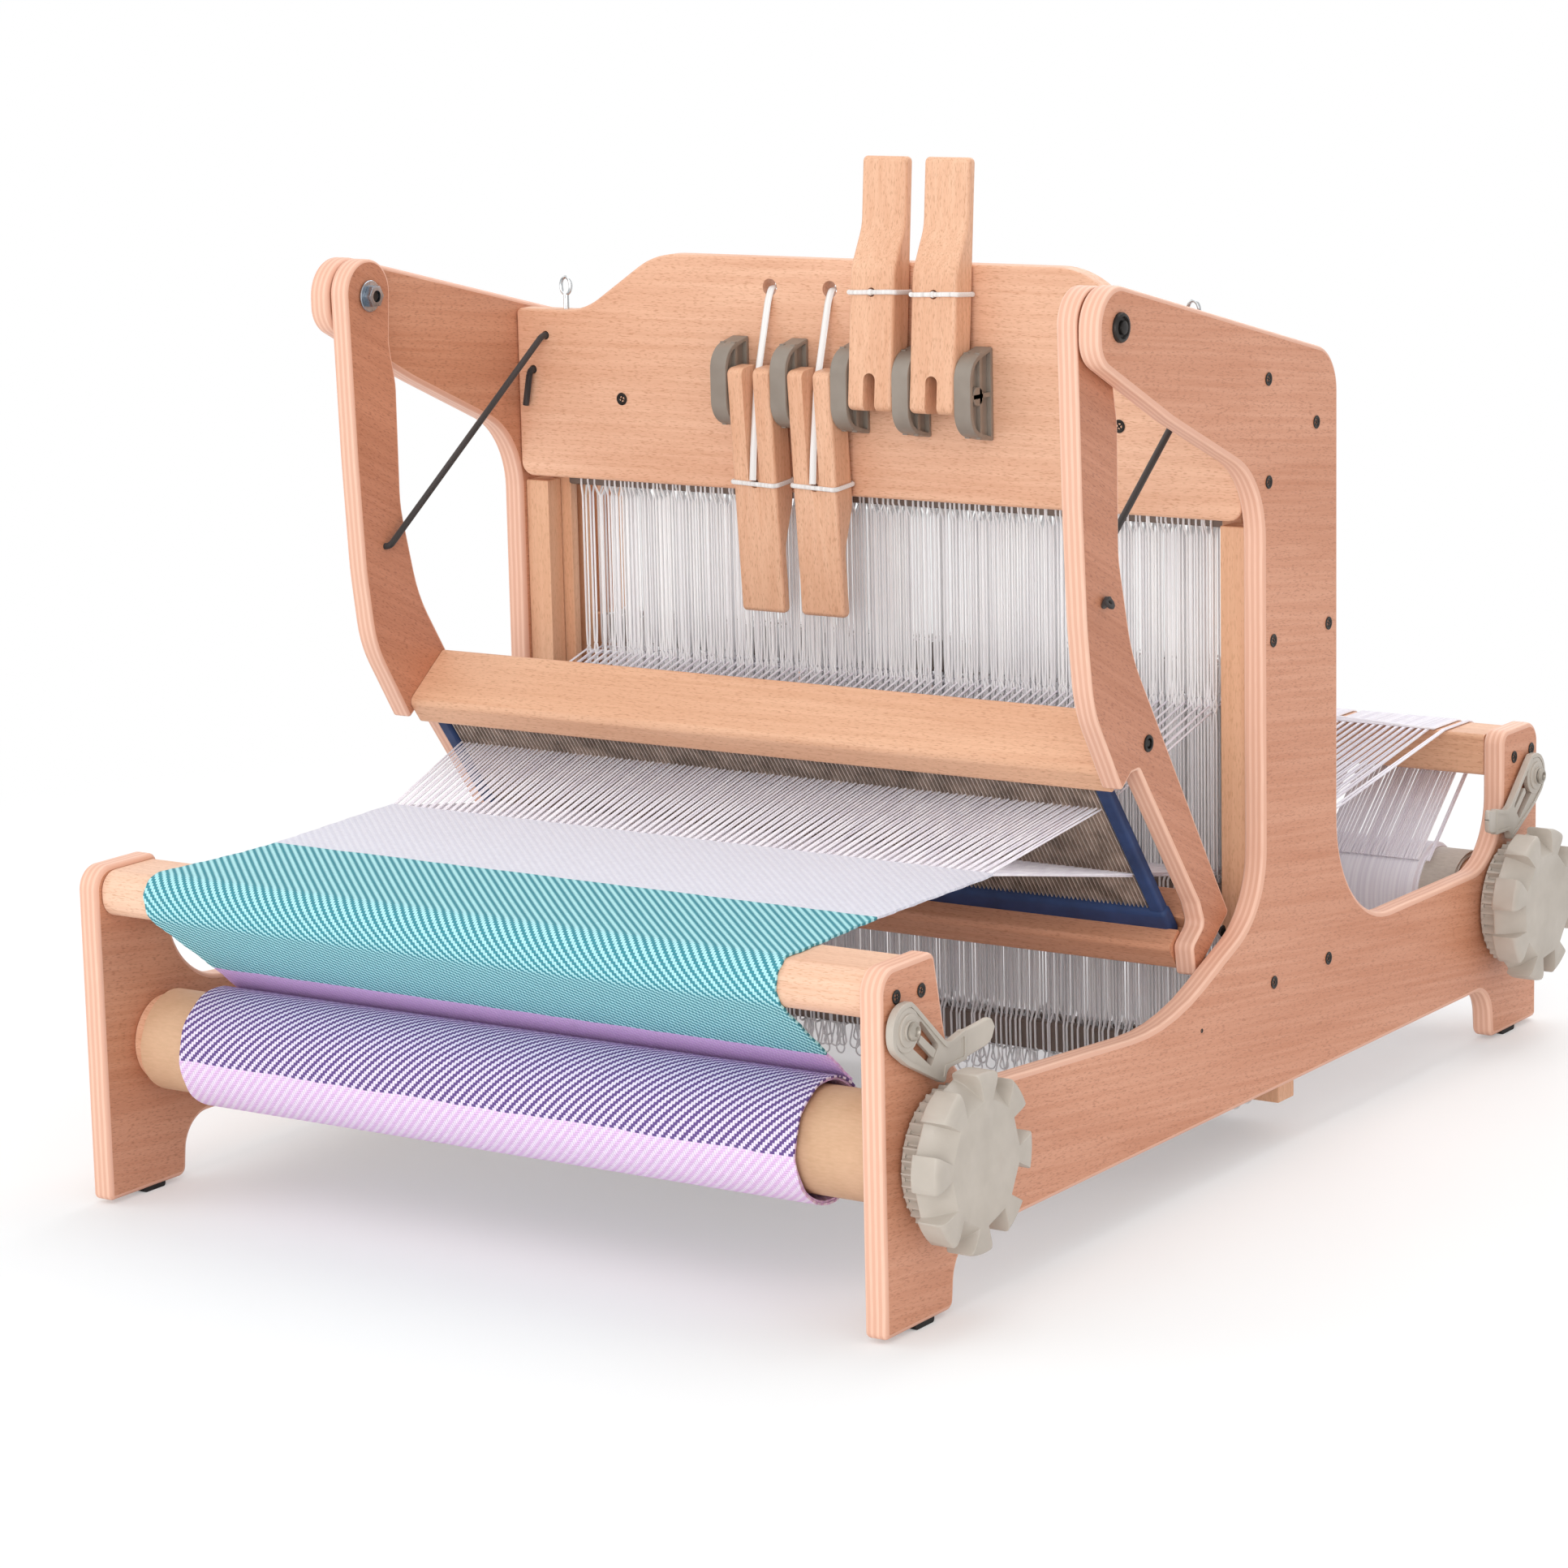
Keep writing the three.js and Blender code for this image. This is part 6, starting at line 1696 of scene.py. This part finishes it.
@dataclass
class Roller:
    """A roller with its paper, ratchet wheel, knob, pawl and screw."""

    end: str
    word: str
    axis: float
    pawl_back: float
    sense: int
    turn: float
    paper: Finish
    radius: float = 22.0
    reach: float = 222.7
    shaft_end: float = 256.0
    paper_radius: float = 26.0
    paper_half: float = 215.0
    paper_turns: int = 4
    paper_steps: int = 48
    paper_thickness: float = 0.6
    teeth: int = 36
    tooth_radius: float = 33.5
    tooth_depth: float = 3.0
    tooth_width: float = 10.0
    lobes: int = 8
    lobe_radius: float = 42.0
    notch_share: float = 0.47
    notch_back: float = 4.5
    notch_face: float = 14.0
    knob_width: float = 15.0
    pawl_height: float = 141.0

    @property
    def centre(self) -> Flat:
        """The roller's middle, in Y and Z."""
        return (self.axis, ROLLER_HEIGHT)

    def bar_and_paper(self) -> None:
        """The wooden roller and the paper rolled on it."""
        body, reach, radius = f"{self.word}_beam", self.reach, self.radius
        bar = Form(f"{self.word}_roller_wood")
        for profile, sides in (
            (((-reach, radius - 1), (-reach + 1, radius), (reach - 1, radius), (reach, radius - 1)), 64),
            (((-reach - 7, 6.5), (-reach - 6.5, 7), (-reach + 5, 7)), 32), (((reach - 5, 9), (self.shaft_end, 9)), 32),
        ):
            bar.turned(profile, self.centre, sides=sides)
        bar.hung(body, PALE_WOOD, nodes=[f"{self.word}_roller"])
        paper = Form(f"{self.word}_roller_wrap")
        rng = random.Random(7 + self.sense)
        count = self.paper_turns * self.paper_steps
        rings = []
        for k in range(count + 1):
            angle = self.sense * TURN * k / self.paper_steps + 0.6
            r = radius + 0.45 + (self.paper_radius - radius - 1.1) * k / count
            half = self.paper_half + 0.6 * math.sin(2.3 * angle) + rng.uniform(-0.15, 0.15)
            low, high = (arc(self.centre, r + grow, angle, angle, 1)[0] for grow in (0, self.paper_thickness))
            rings.append([(-half, *low), (half, *low), (half, *high), (-half, *high)])
        paper.loft(rings)
        paper.hung(body, self.paper, nodes=[f"{self.word}_roller_paper"])

    def wheel(self) -> None:
        """The toothed ring and the lobed knob."""
        form = Form(f"{self.end}_wheel")
        back = PANEL_OUTER + 2
        knob_back = back + self.tooth_width
        teeth = []
        for i in range(self.teeth):
            for lag, drop in ((0.0, 0.0), (0.12, 0.0), (0.34, self.tooth_depth), (0.5, self.tooth_depth)):
                angle = math.pi / 2 - self.sense * (i + lag) * TURN / self.teeth
                teeth += arc(self.centre, self.tooth_radius - drop, angle, angle, 1)[:1]
        form.prism(teeth, back, knob_back + 0.5, Along.X, 0.4, 1)
        form.prism(circle(self.centre, 31.5, 72), back - 0.6, back + 1)
        form.hung(f"{self.word}_beam", WHEEL_PLASTIC, nodes=[f"{self.end}_ratchet_wheel"])
        self.knob(knob_back)

    def knob(self, start: float) -> None:
        """The hand knob: a thick disc with scooped notches between its lobes.

        Args:
            start: Where it begins along X.
        """
        r = self.lobe_radius
        disc = Form(f"{self.end}_knob")
        levels = [(0.0, 1.4), (0.5, 0.5), (1.4, 0.0), (12.4, 0.0), (13.5, 0.4), (14.3, 1.4), (14.8, 3.0), (15.0, 5.2)]
        disc.turned([(start + a, r - b) for a, b in levels], self.centre, sides=96)
        face, back = start + self.knob_width, r - self.notch_back
        half = self.notch_share * r * math.sin(math.pi / self.lobes)
        profile = [(start - 1, back), (start + 1, back), (start + 6, back - 2.2), (face, r - self.notch_face),
                   (face + 1, r - self.notch_face), (face + 1, r + 1), (start - 1, r + 1)]
        notches = Form("knob_cutter")
        for k in range(self.lobes):
            angle = math.radians(self.turn) + TURN * (k + 0.5) / self.lobes
            place = Matrix.Translation((0, *self.centre)) @ Matrix.Rotation(angle - math.pi / 2, 4, "X")
            notches.prism(profile, -half, half, Along.Y, turn=place)
        piece = carved(disc.made(WHEEL_PLASTIC), [notches.made(WHEEL_PLASTIC)], 0.8)
        fitted(piece, WHEEL_PLASTIC, f"{self.word}_beam")

    def pawl(self) -> None:
        """The pawl with its hub, its window and its spring finger, and its screw."""
        back = PANEL_OUTER + 1.3
        face = back + 4
        middle = (self.pawl_back, self.pawl_height)

        def placed(points: Sequence[Corner], step: float = ARC_STEP) -> list[Flat]:
            """An outline whose corners are counted from the pawl's pivot, towards its tip."""
            return rounded([(middle[0] + self.sense * y, middle[1] + z, r) for y, z, r in points], step)

        corners = [
            (-12.5, 12.5, 12), (-12.5, -7, 12), (0, -16, 20), (24, -28, 3), (31, -31.3, 2), (33, -25, 4),
            (50, -24.5, 1), (50, -10.2, 1), (34, -13.5, 9), (9, 8.5, 10), (4, 12.5, 4),
        ]
        floor = inset([(a, b) for a, b, _ in corners], 2.2)
        lowered = placed([(a, b, max(0.8, c[2] - 2.2)) for (a, b), c in zip(floor, corners)])
        window = placed([(11, 2.5, 1.5), (3.5, -8.5, 1.5), (20, -21, 1.5), (26.5, -12.5, 1.5)], math.radians(20))
        form = Form(f"{self.end}_pawl_plate")
        form.prism(placed(corners), back, face - 0.6, Along.X, 0.5, 2, [window])
        form.prism(placed(corners), face - 1.2, face, Along.X, 0.5, 2, [lowered])
        for radius, rise in ((10.2, 0.1), (7.6, 1.2), (4.8, 2.4)):
            form.turned([(back + 1, radius - 0.4), (face + rise - 0.4, radius), (face + rise, radius - 0.6)], middle)
        finger = placed([(12, -4.5, 1), (10.2, -7.8, 1), (22.5, -18, 1), (25, -14.5, 1)], COARSE_STEP)
        form.prism(finger, back + 0.8, face - 0.9, Along.X, 0.5, 2)
        rings = []
        for t in [k / 14 for k in range(15)]:
            tip = max(0.0, (t - 0.78) / 0.22)
            low, high = -24.0 + 5.0 * t ** 1.6, -10.8 + 4.6 * t * t
            half = (high - low) / 2 * math.sqrt(max(0.02, 1 - tip * tip))
            level, inner, outer = (low + high) / 2, back + 0.2 + 5.0 * t * t, face - 0.5 + 5.0 * t * t - 0.8 * tip
            section = oblong((level - half, inner), (level + half, outer), 1.1, COARSE_STEP)
            rings.append([(x, middle[0] + self.sense * (46 + 22 * t), middle[1] + w) for w, x in section])
        form.loft(rings)
        form.hung(f"{self.end}_pawl", WHEEL_PLASTIC, nodes=[f"{self.end}_pawl"])
        screw = Form(f"{self.end}_pawl_pin")
        under = face + 2.8
        levels = [(0, 4.4), (0.9, 4.4), (1.7, 3.7), (2.1, 2.4), (0.9, 1.9), (0.9, 0.1)]
        screw.turned([(under + a, r) for a, r in levels], middle, sides=28)
        screw.turned([(PANEL_OUTER - 4, 2), (under + 0.5, 2)], middle, sides=16)
        screw.hung("frame", HUB_STEEL, nodes=[f"{self.end}_pawl_screw"])

    def build(self) -> None:
        """Builds and hangs the roller's pieces."""
        self.bar_and_paper()
        self.wheel()
        self.pawl()


@dataclass
class Cloth:
    """The cloth from its last pick over the breast beam to the roll, and the roll."""

    thickness: float = 1.2
    fell: float = LAST_PICK
    rise: float = 2.5
    beam_edge: float = 44.0
    level: float = 167.8
    web_edges: tuple[Corner, ...] = ((0, -188, 178), (103, -185, 175), (190, -194, 178), (270, -186, 178))
    roll_edges: Flat = (-186.0, 178.0)
    nose: Flat = BEAM_NOSE
    chin: Flat = BEAM_CHIN
    bend_radius: float = 10.3
    roll: float = 30.0
    wrap: float = 26.2
    gap: float = 1.15
    axis: Flat = ROLLER_AXIS
    teal_back: float = 90.0
    pink_end: float = 187.0
    lilac_top: float = 115.0
    roll_turns: int = 3
    roll_steps: int = 72
    web_width: float = 0.37
    roll_width: float = 0.364

    def line(self) -> list[Flat]:
        """The cloth's under side from the last pick to the roll, in Y and Z.

        Returns:
            The line, from the last pick.
        """
        run = self.fell - self.beam_edge
        flat = [(self.fell - run * k / 36, self.level + self.rise * (1 - k / 36)) for k in range(36)]
        flat += [(self.beam_edge - 3 * k, self.level) for k in range(10)]
        reach = self.roll + 0.3 + self.thickness
        return flat + over_beam(self.nose, self.chin, self.bend_radius, self.axis, reach, (14, 10, 20))

    @staticmethod
    def sheet(name: str, line: Sequence[Flat], thickness: float, finish: Finish, columns: int,
              edge: Callable[[int, float], float]) -> Object:
        """A sheet of cloth along a line, with its distances across and along in a UV map.

        Args:
            name: The piece's name.
            line: The under side's points in Y and Z.
            thickness: The cloth's thickness.
            finish: Its finish.
            columns: Faces across it.
            edge: Where a side's selvedge is, from the side's place and a distance along.

        Returns:
            The sheet.
        """
        form = Form(name)
        rings: list[list[Corner]] = []
        marks: list[Flat] = []
        for before, point, after, along in zip([line[0], *line], line, [*line[1:], line[-1]], lengths(line)):
            left, right = edge(0, along), edge(1, along)
            heading = (Vector(after) - Vector(before)).normalized()
            upper = Vector(point) + Vector((heading.y, -heading.x)) * thickness
            xs = [left + (right - left) * k / columns for k in range(columns + 1)]
            rings.append([(x, *point) for x in xs] + [(x, *upper) for x in reversed(xs)])
            marks += [((x + 200) * MILLIMETRE, along * MILLIMETRE) for x in xs + xs[::-1]]
        form.loft(rings)
        piece = form.made(finish, soft=REPEAT_ANGLE)
        layer = piece.data.uv_layers.new(name="cloth")
        for loop in piece.data.loops:
            layer.data[loop.index].uv = marks[loop.vertex_index]
        return piece

    def web_edge(self, side: int, along: float) -> float:
        """The selvedge of the free cloth, which draws in and out between its marks.

        Args:
            side: 0 at the left, 1 at the right.
            along: The distance along the cloth.

        Returns:
            Its X.
        """
        marks = self.web_edges
        ahead = next((i for i in range(1, len(marks)) if marks[i][0] >= along), len(marks) - 1)
        first, second = marks[ahead - 1], marks[ahead]
        share = max(0.0, min(1.0, (along - first[0]) / (second[0] - first[0])))
        place = first[side + 1] + (second[side + 1] - first[side + 1]) * share * share * (3 - 2 * share)
        sign = 2 * side - 1
        return place - sign * (0.35 * math.sin(along / 3.1 + sign) + 0.25 * math.sin(along / 1.3))

    def roll_edge(self, side: int, along: float) -> float:
        """The selvedge of the wound cloth."""
        sign = 2 * side - 1
        wave = 0.5 * math.sin(along / 61 + 2 * sign) + 0.35 * math.sin(along / 3.1 + sign)
        return self.roll_edges[side] - sign * wave

    def build(self) -> None:
        """Builds and hangs the cloth and its roll."""
        line = self.line()
        along = lengths(line)
        teal = max(s for s, p in zip(along, line) if p[0] >= self.teal_back)
        lilac = max(s for s, p in zip(along, line) if p[1] >= self.lilac_top)
        weave = Twill("web_twill", "woven_cloth", stripes=(
            Stripe(0, "#E2E3EF", "#EBECF6"), Stripe(teal, "#3F93A0", "#B4EDF2"), Stripe(lilac, "#E2B6F0", "#EBC9F6"),
        ))
        web = self.sheet("cloth_web", line, self.thickness, weave, 40, self.web_edge)
        fitted(web, weave, "frame", "cloth")
        self.rolled(line[-1])

    def rolled(self, end: Flat) -> None:
        """The cloth already wound on the roller, from the place where it meets the roll inwards.

        Args:
            end: The place, in Y and Z.
        """
        start = math.atan2(end[1] - self.axis[1], end[0] - self.axis[0])
        line: list[Flat] = []
        for k in range(self.roll_turns * self.roll_steps + 1):
            r = self.roll - 0.15 - self.gap * k / self.roll_steps
            if r - 1.0 < self.wrap:
                break
            angle = start - TURN * k / self.roll_steps
            line += arc(self.axis, r, angle, angle, 1)[:1]
        around = TURN * self.roll
        pink = (start - math.radians(self.pink_end - 360)) * self.roll
        weave = Twill("roll_twill", "rolled_cloth", stripes=(
            Stripe(0, "#DDB9EA", "#E4C8EE"), Stripe(pink - 0.3 * around, "#EBC6F0", "#F6E6FB"),
            Stripe(pink, "#6B518F", "#EFE4FA"), Stripe(pink + 0.55 * around, "#DDB9EA", "#E4C8EE"),
        ))
        roll = self.sheet("cloth_wound", line, -1.0, weave, 12, self.roll_edge)
        fitted(roll, weave, "cloth_beam", "cloth_roll")


@dataclass
class Warp:
    """The warp threads from the cloth through reed and heddles, and over the back beam to the roller.

    The nose, the chin and the axis have their first coordinate counted forward from the loom's back. The gaps
    are those between the two threads of a dent, at the reed and at the last pick.
    """

    pairs: int = 158
    pitch: float = 2.5
    radius: float = 0.55
    back_radius: float = 0.62
    fell: float = LAST_PICK
    fell_level: float = 170.8
    fell_share: float = 0.9266
    fell_middle: float = -5.0
    level: float = 168.4
    beam_back: float = 641.0
    nose: Flat = BEAM_NOSE
    chin: Flat = BEAM_CHIN
    bend_radius: float = 10.8
    axis: Flat = ROLLER_AXIS
    roll: float = 28.5
    bare_roll: float = 26.6
    groove: float = 0.35
    roll_half: float = 196.0
    bunch: int = 26
    gather: float = 0.93
    reed_gap: float = 0.95
    fell_gap: float = 1.25

    def bunched(self, x: float) -> float:
        """The middle of the bunch that a thread runs in."""
        width = self.bunch * self.pitch
        return (math.floor(x / width) + 0.5) * width

    def tail(self) -> list[Flat]:
        """The way over the back beam and down to the roll, in Y and Z."""
        down = over_beam(self.nose, self.chin, self.bend_radius, self.axis, self.roll + 0.8, (5, 4, 1))
        return [(self.beam_back, self.level)] + [(LOOM_DEPTH - a, b) for a, b in down]

    def build(self, shafts: HeddleShafts, beater: Beater) -> None:
        """Builds and hangs the threads of each shaft, the sheet behind and the roll.

        Args:
            shafts: The shafts that lift the threads.
            beater: The beater that they run through.
        """
        rng = random.Random(17)
        runs: dict[tuple[str, int], list[list[Vector]]] = {(w, i): [] for i in range(4) for w in ("front", "back")}
        behind: list[list[Corner]] = []
        tail = self.tail()
        for dent in range(self.pairs):
            for thread in range(2):
                shaft = thread if dent % 2 == 0 else 2 + thread
                middle = (dent - (self.pairs - 1) / 2) * self.pitch
                x = middle + (thread - 0.5) * self.reed_gap
                far = self.bunched(x) + (x - self.bunched(x)) * self.gather + rng.uniform(-0.25, 0.25)
                eye = Vector((x, shafts.middle(shaft), shafts.eye_level(shaft)))
                near = (middle + (thread - 0.5) * self.fell_gap) * self.fell_share + self.fell_middle
                start = Vector((near, self.fell - 1.5, self.fell_level + rng.uniform(-0.1, 0.1)))
                end = Vector((far, self.beam_back, self.level))
                reed = start.lerp(eye, beater.share_at_reed(start, eye))
                reed.x = x
                runs["front", shaft].append([start.lerp(reed, k / 3) for k in range(4)] + [reed.lerp(eye, 0.5), eye])
                runs["back", shaft].append([end.lerp(eye, k / 6) for k in range(7)])
                behind.append([(far, y, z) for y, z in tail])
        for (word, shaft), lines in runs.items():
            radius, away = (self.radius, self.fell) if word == "front" else (self.back_radius, self.beam_back)
            threads = Repeats.yarns(f"warp_{word}_{shaft + 1}", lines, radius, 5, WARP_YARN)
            stretched(threads, "warp", f"shaft_{shaft + 1}",
                      (0, shafts.middle(shaft), shafts.eye_level(shaft)))
        sheet = Repeats.yarns("warp_over_beam", behind, self.back_radius, 5, WARP_YARN)
        fitted(sheet, WARP_YARN, "frame")
        self.wound()

    def wound(self) -> None:
        """The warp on its roller, as grooves where the threads lie."""
        form = Form("warp_wound")
        rings = []
        for i in range(int(4 * self.roll_half / self.pitch) + 1):
            x = i * self.pitch / 2 - self.roll_half
            inside = abs(x - self.bunched(x)) < self.bunch * self.pitch * self.gather / 2 + 0.6
            r = self.roll - (0.0 if i % 2 else self.groove) if inside else self.bare_roll
            rings.append([(x, LOOM_DEPTH - a, b) for a, b in circle(self.axis, r, 64)])
        form.loft(rings)
        form.hung("warp_beam", WARP_YARN, nodes=["warp_roll"])


@dataclass
class Studio:
    """The floor, the lights and the camera."""

    place: Place = (1.31993, -2.05452, 0.65891)
    yaw: float = math.radians(33.78)
    pitch: float = math.radians(11.174)
    roll: float = math.radians(-1.293)
    focal: float = 109.014
    target: Place = (0.0, 0.0, 0.22)
    sky: float = 0.8
    floor_reach: float = 9.0
    floor_grey: float = 0.9
    floor_fade: Corner = (0.35, 1.1, 0.25)
    lamps: tuple[tuple[str, Place, float, float], ...] = (
        ("key", (0.5, -2.1, 1.9), 2.4, 9), ("fill", (-2.0, -1.3, 1.2), 2.0, 9), ("low", (0.9, -2.5, 0.55), 1.6, 20),
        ("top", (0.2, 0.7, 2.4), 1.6, 14), ("back", (-0.3, 1.9, 1.5), 1.6, 9),
    )

    def camera(self) -> None:
        """The camera, where the photograph's stood."""
        data = bpy.data.cameras.new("camera")
        data.lens = self.focal
        data.sensor_width = 36.0
        data.clip_end = 60
        seat = linked("camera", data)
        level = math.cos(self.pitch)
        ahead = Vector((-math.sin(self.yaw) * level, math.cos(self.yaw) * level, -math.sin(self.pitch)))
        right = ahead.cross(Vector((0, 0, 1))).normalized()
        up = right.cross(ahead)
        rolled_right = right * math.cos(self.roll) + up * math.sin(self.roll)
        rolled_up = up * math.cos(self.roll) - right * math.sin(self.roll)
        basis = Matrix((rolled_right, rolled_up, -ahead)).transposed().to_4x4()
        seat.matrix_world = Matrix.Translation(self.place) @ basis
        bpy.context.scene.camera = seat

    def lamp(self, name: str, place: Place, size: float, power: float) -> None:
        """A soft lamp that faces the loom.

        Args:
            name: Its name.
            place: Where it hangs, in metres.
            size: Its width.
            power: Its power in watts.
        """
        data = bpy.data.lights.new(name, "AREA")
        data.shape = "DISK"
        data.size = size
        data.energy = power
        ahead = Vector(self.target) - Vector(place)
        facing = ahead.to_track_quat("-Z", "Y").to_matrix().to_4x4()
        linked(name, data).matrix_world = Matrix.Translation(place) @ facing

    def world(self) -> None:
        """Even light from all round, white where the camera or gloss sees it."""
        sky = bpy.data.worlds.new("studio")
        bpy.context.scene.world = sky
        sky.use_nodes = True
        sky.node_tree.nodes.clear()
        board = Board(sky.node_tree)
        rays = board.node("ShaderNodeLightPath").outputs
        seen = board.math("MAXIMUM", rays["Is Camera Ray"], rays["Is Glossy Ray"])
        seen = board.math("MAXIMUM", seen, rays["Is Transmission Ray"])
        strength = board.between(seen, 0, 1, self.sky, 1.0)
        glow = board.out("ShaderNodeBackground", {"Color": (1, 1, 1, 1), "Strength": strength})
        board.node("ShaderNodeOutputWorld", {0: glow})

    def floor(self) -> None:
        """A pale floor that keeps the loom's soft shadow and fades into the white behind."""
        mesh = bpy.data.meshes.new("floor")
        corners = oblong((-self.floor_reach,) * 2, (self.floor_reach,) * 2)
        mesh.from_pydata([(x, y, 0) for x, y in corners], [], [range(4)])
        made = bpy.data.materials.new("floor_white")
        made.use_nodes = True
        board = Board(made.node_tree)
        shader = made.node_tree.nodes["Principled BSDF"]
        shader.inputs["Base Color"].default_value = (*[self.floor_grey] * 3, 1)
        shader.inputs["Roughness"].default_value = 0.9
        camera_ray = board.out("ShaderNodeLightPath", output="Is Camera Ray")
        away = board.out("ShaderNodeVectorMath", {0: board.place()}, "Value", operation="LENGTH")
        far = board.times(camera_ray, board.between(away, *self.floor_fade))
        glow = board.out("ShaderNodeEmission", {"Color": (1, 1, 1, 1), "Strength": 1.0})
        both = board.out("ShaderNodeMixShader", {0: far, 1: shader.outputs[0], 2: glow})
        board.put(made.node_tree.nodes["Material Output"].inputs[0], both)
        mesh.materials.append(made)
        linked("floor", mesh)

    def build(self) -> None:
        """Sets the stage."""
        bpy.context.scene.view_settings.view_transform = "Standard"
        self.camera()
        self.world()
        self.floor()
        for name, place, size, power in self.lamps:
            self.lamp(name, place, size, power)


@dataclass
class TableLoom:
    """The whole loom."""

    studio: Studio = field(default_factory=Studio)
    screws: Screws = field(default_factory=Screws)
    panels: SidePanels = field(default_factory=SidePanels)
    beams: Beams = field(default_factory=Beams)
    castle: Castle = field(default_factory=Castle)
    levers: Levers = field(default_factory=Levers)
    shafts: HeddleShafts = field(default_factory=HeddleShafts)
    beater: Beater = field(default_factory=Beater)
    rollers: tuple[Roller, ...] = (
        Roller(end="front", word="cloth", axis=44.0, pawl_back=14.0, sense=1, turn=-5.0, paper=KRAFT),
        Roller(end="back", word="warp", axis=641.0, pawl_back=671.0, sense=-1, turn=-18.0, paper=GREY_PAPER),
    )
    cloth: Cloth = field(default_factory=Cloth)
    warp: Warp = field(default_factory=Warp)

    def build(self) -> None:
        """Builds every sub-assembly in order."""
        self.studio.build()
        self.panels.build(self.screws)
        self.beams.build()
        self.castle.build(self.screws)
        self.shafts.build()
        indices = range(self.shafts.count)
        self.levers.build([self.shafts.top(i) for i in indices], [self.shafts.middle(i) for i in indices])
        self.beater.build(self.screws)
        for roller in self.rollers:
            roller.build()
        self.cloth.build()
        self.warp.build(self.shafts, self.beater)


def main() -> None:
    """Builds the loom."""
    logging.basicConfig(level=logging.INFO, format="%(message)s")
    TableLoom().build()


if __name__ == "__main__":
    main()
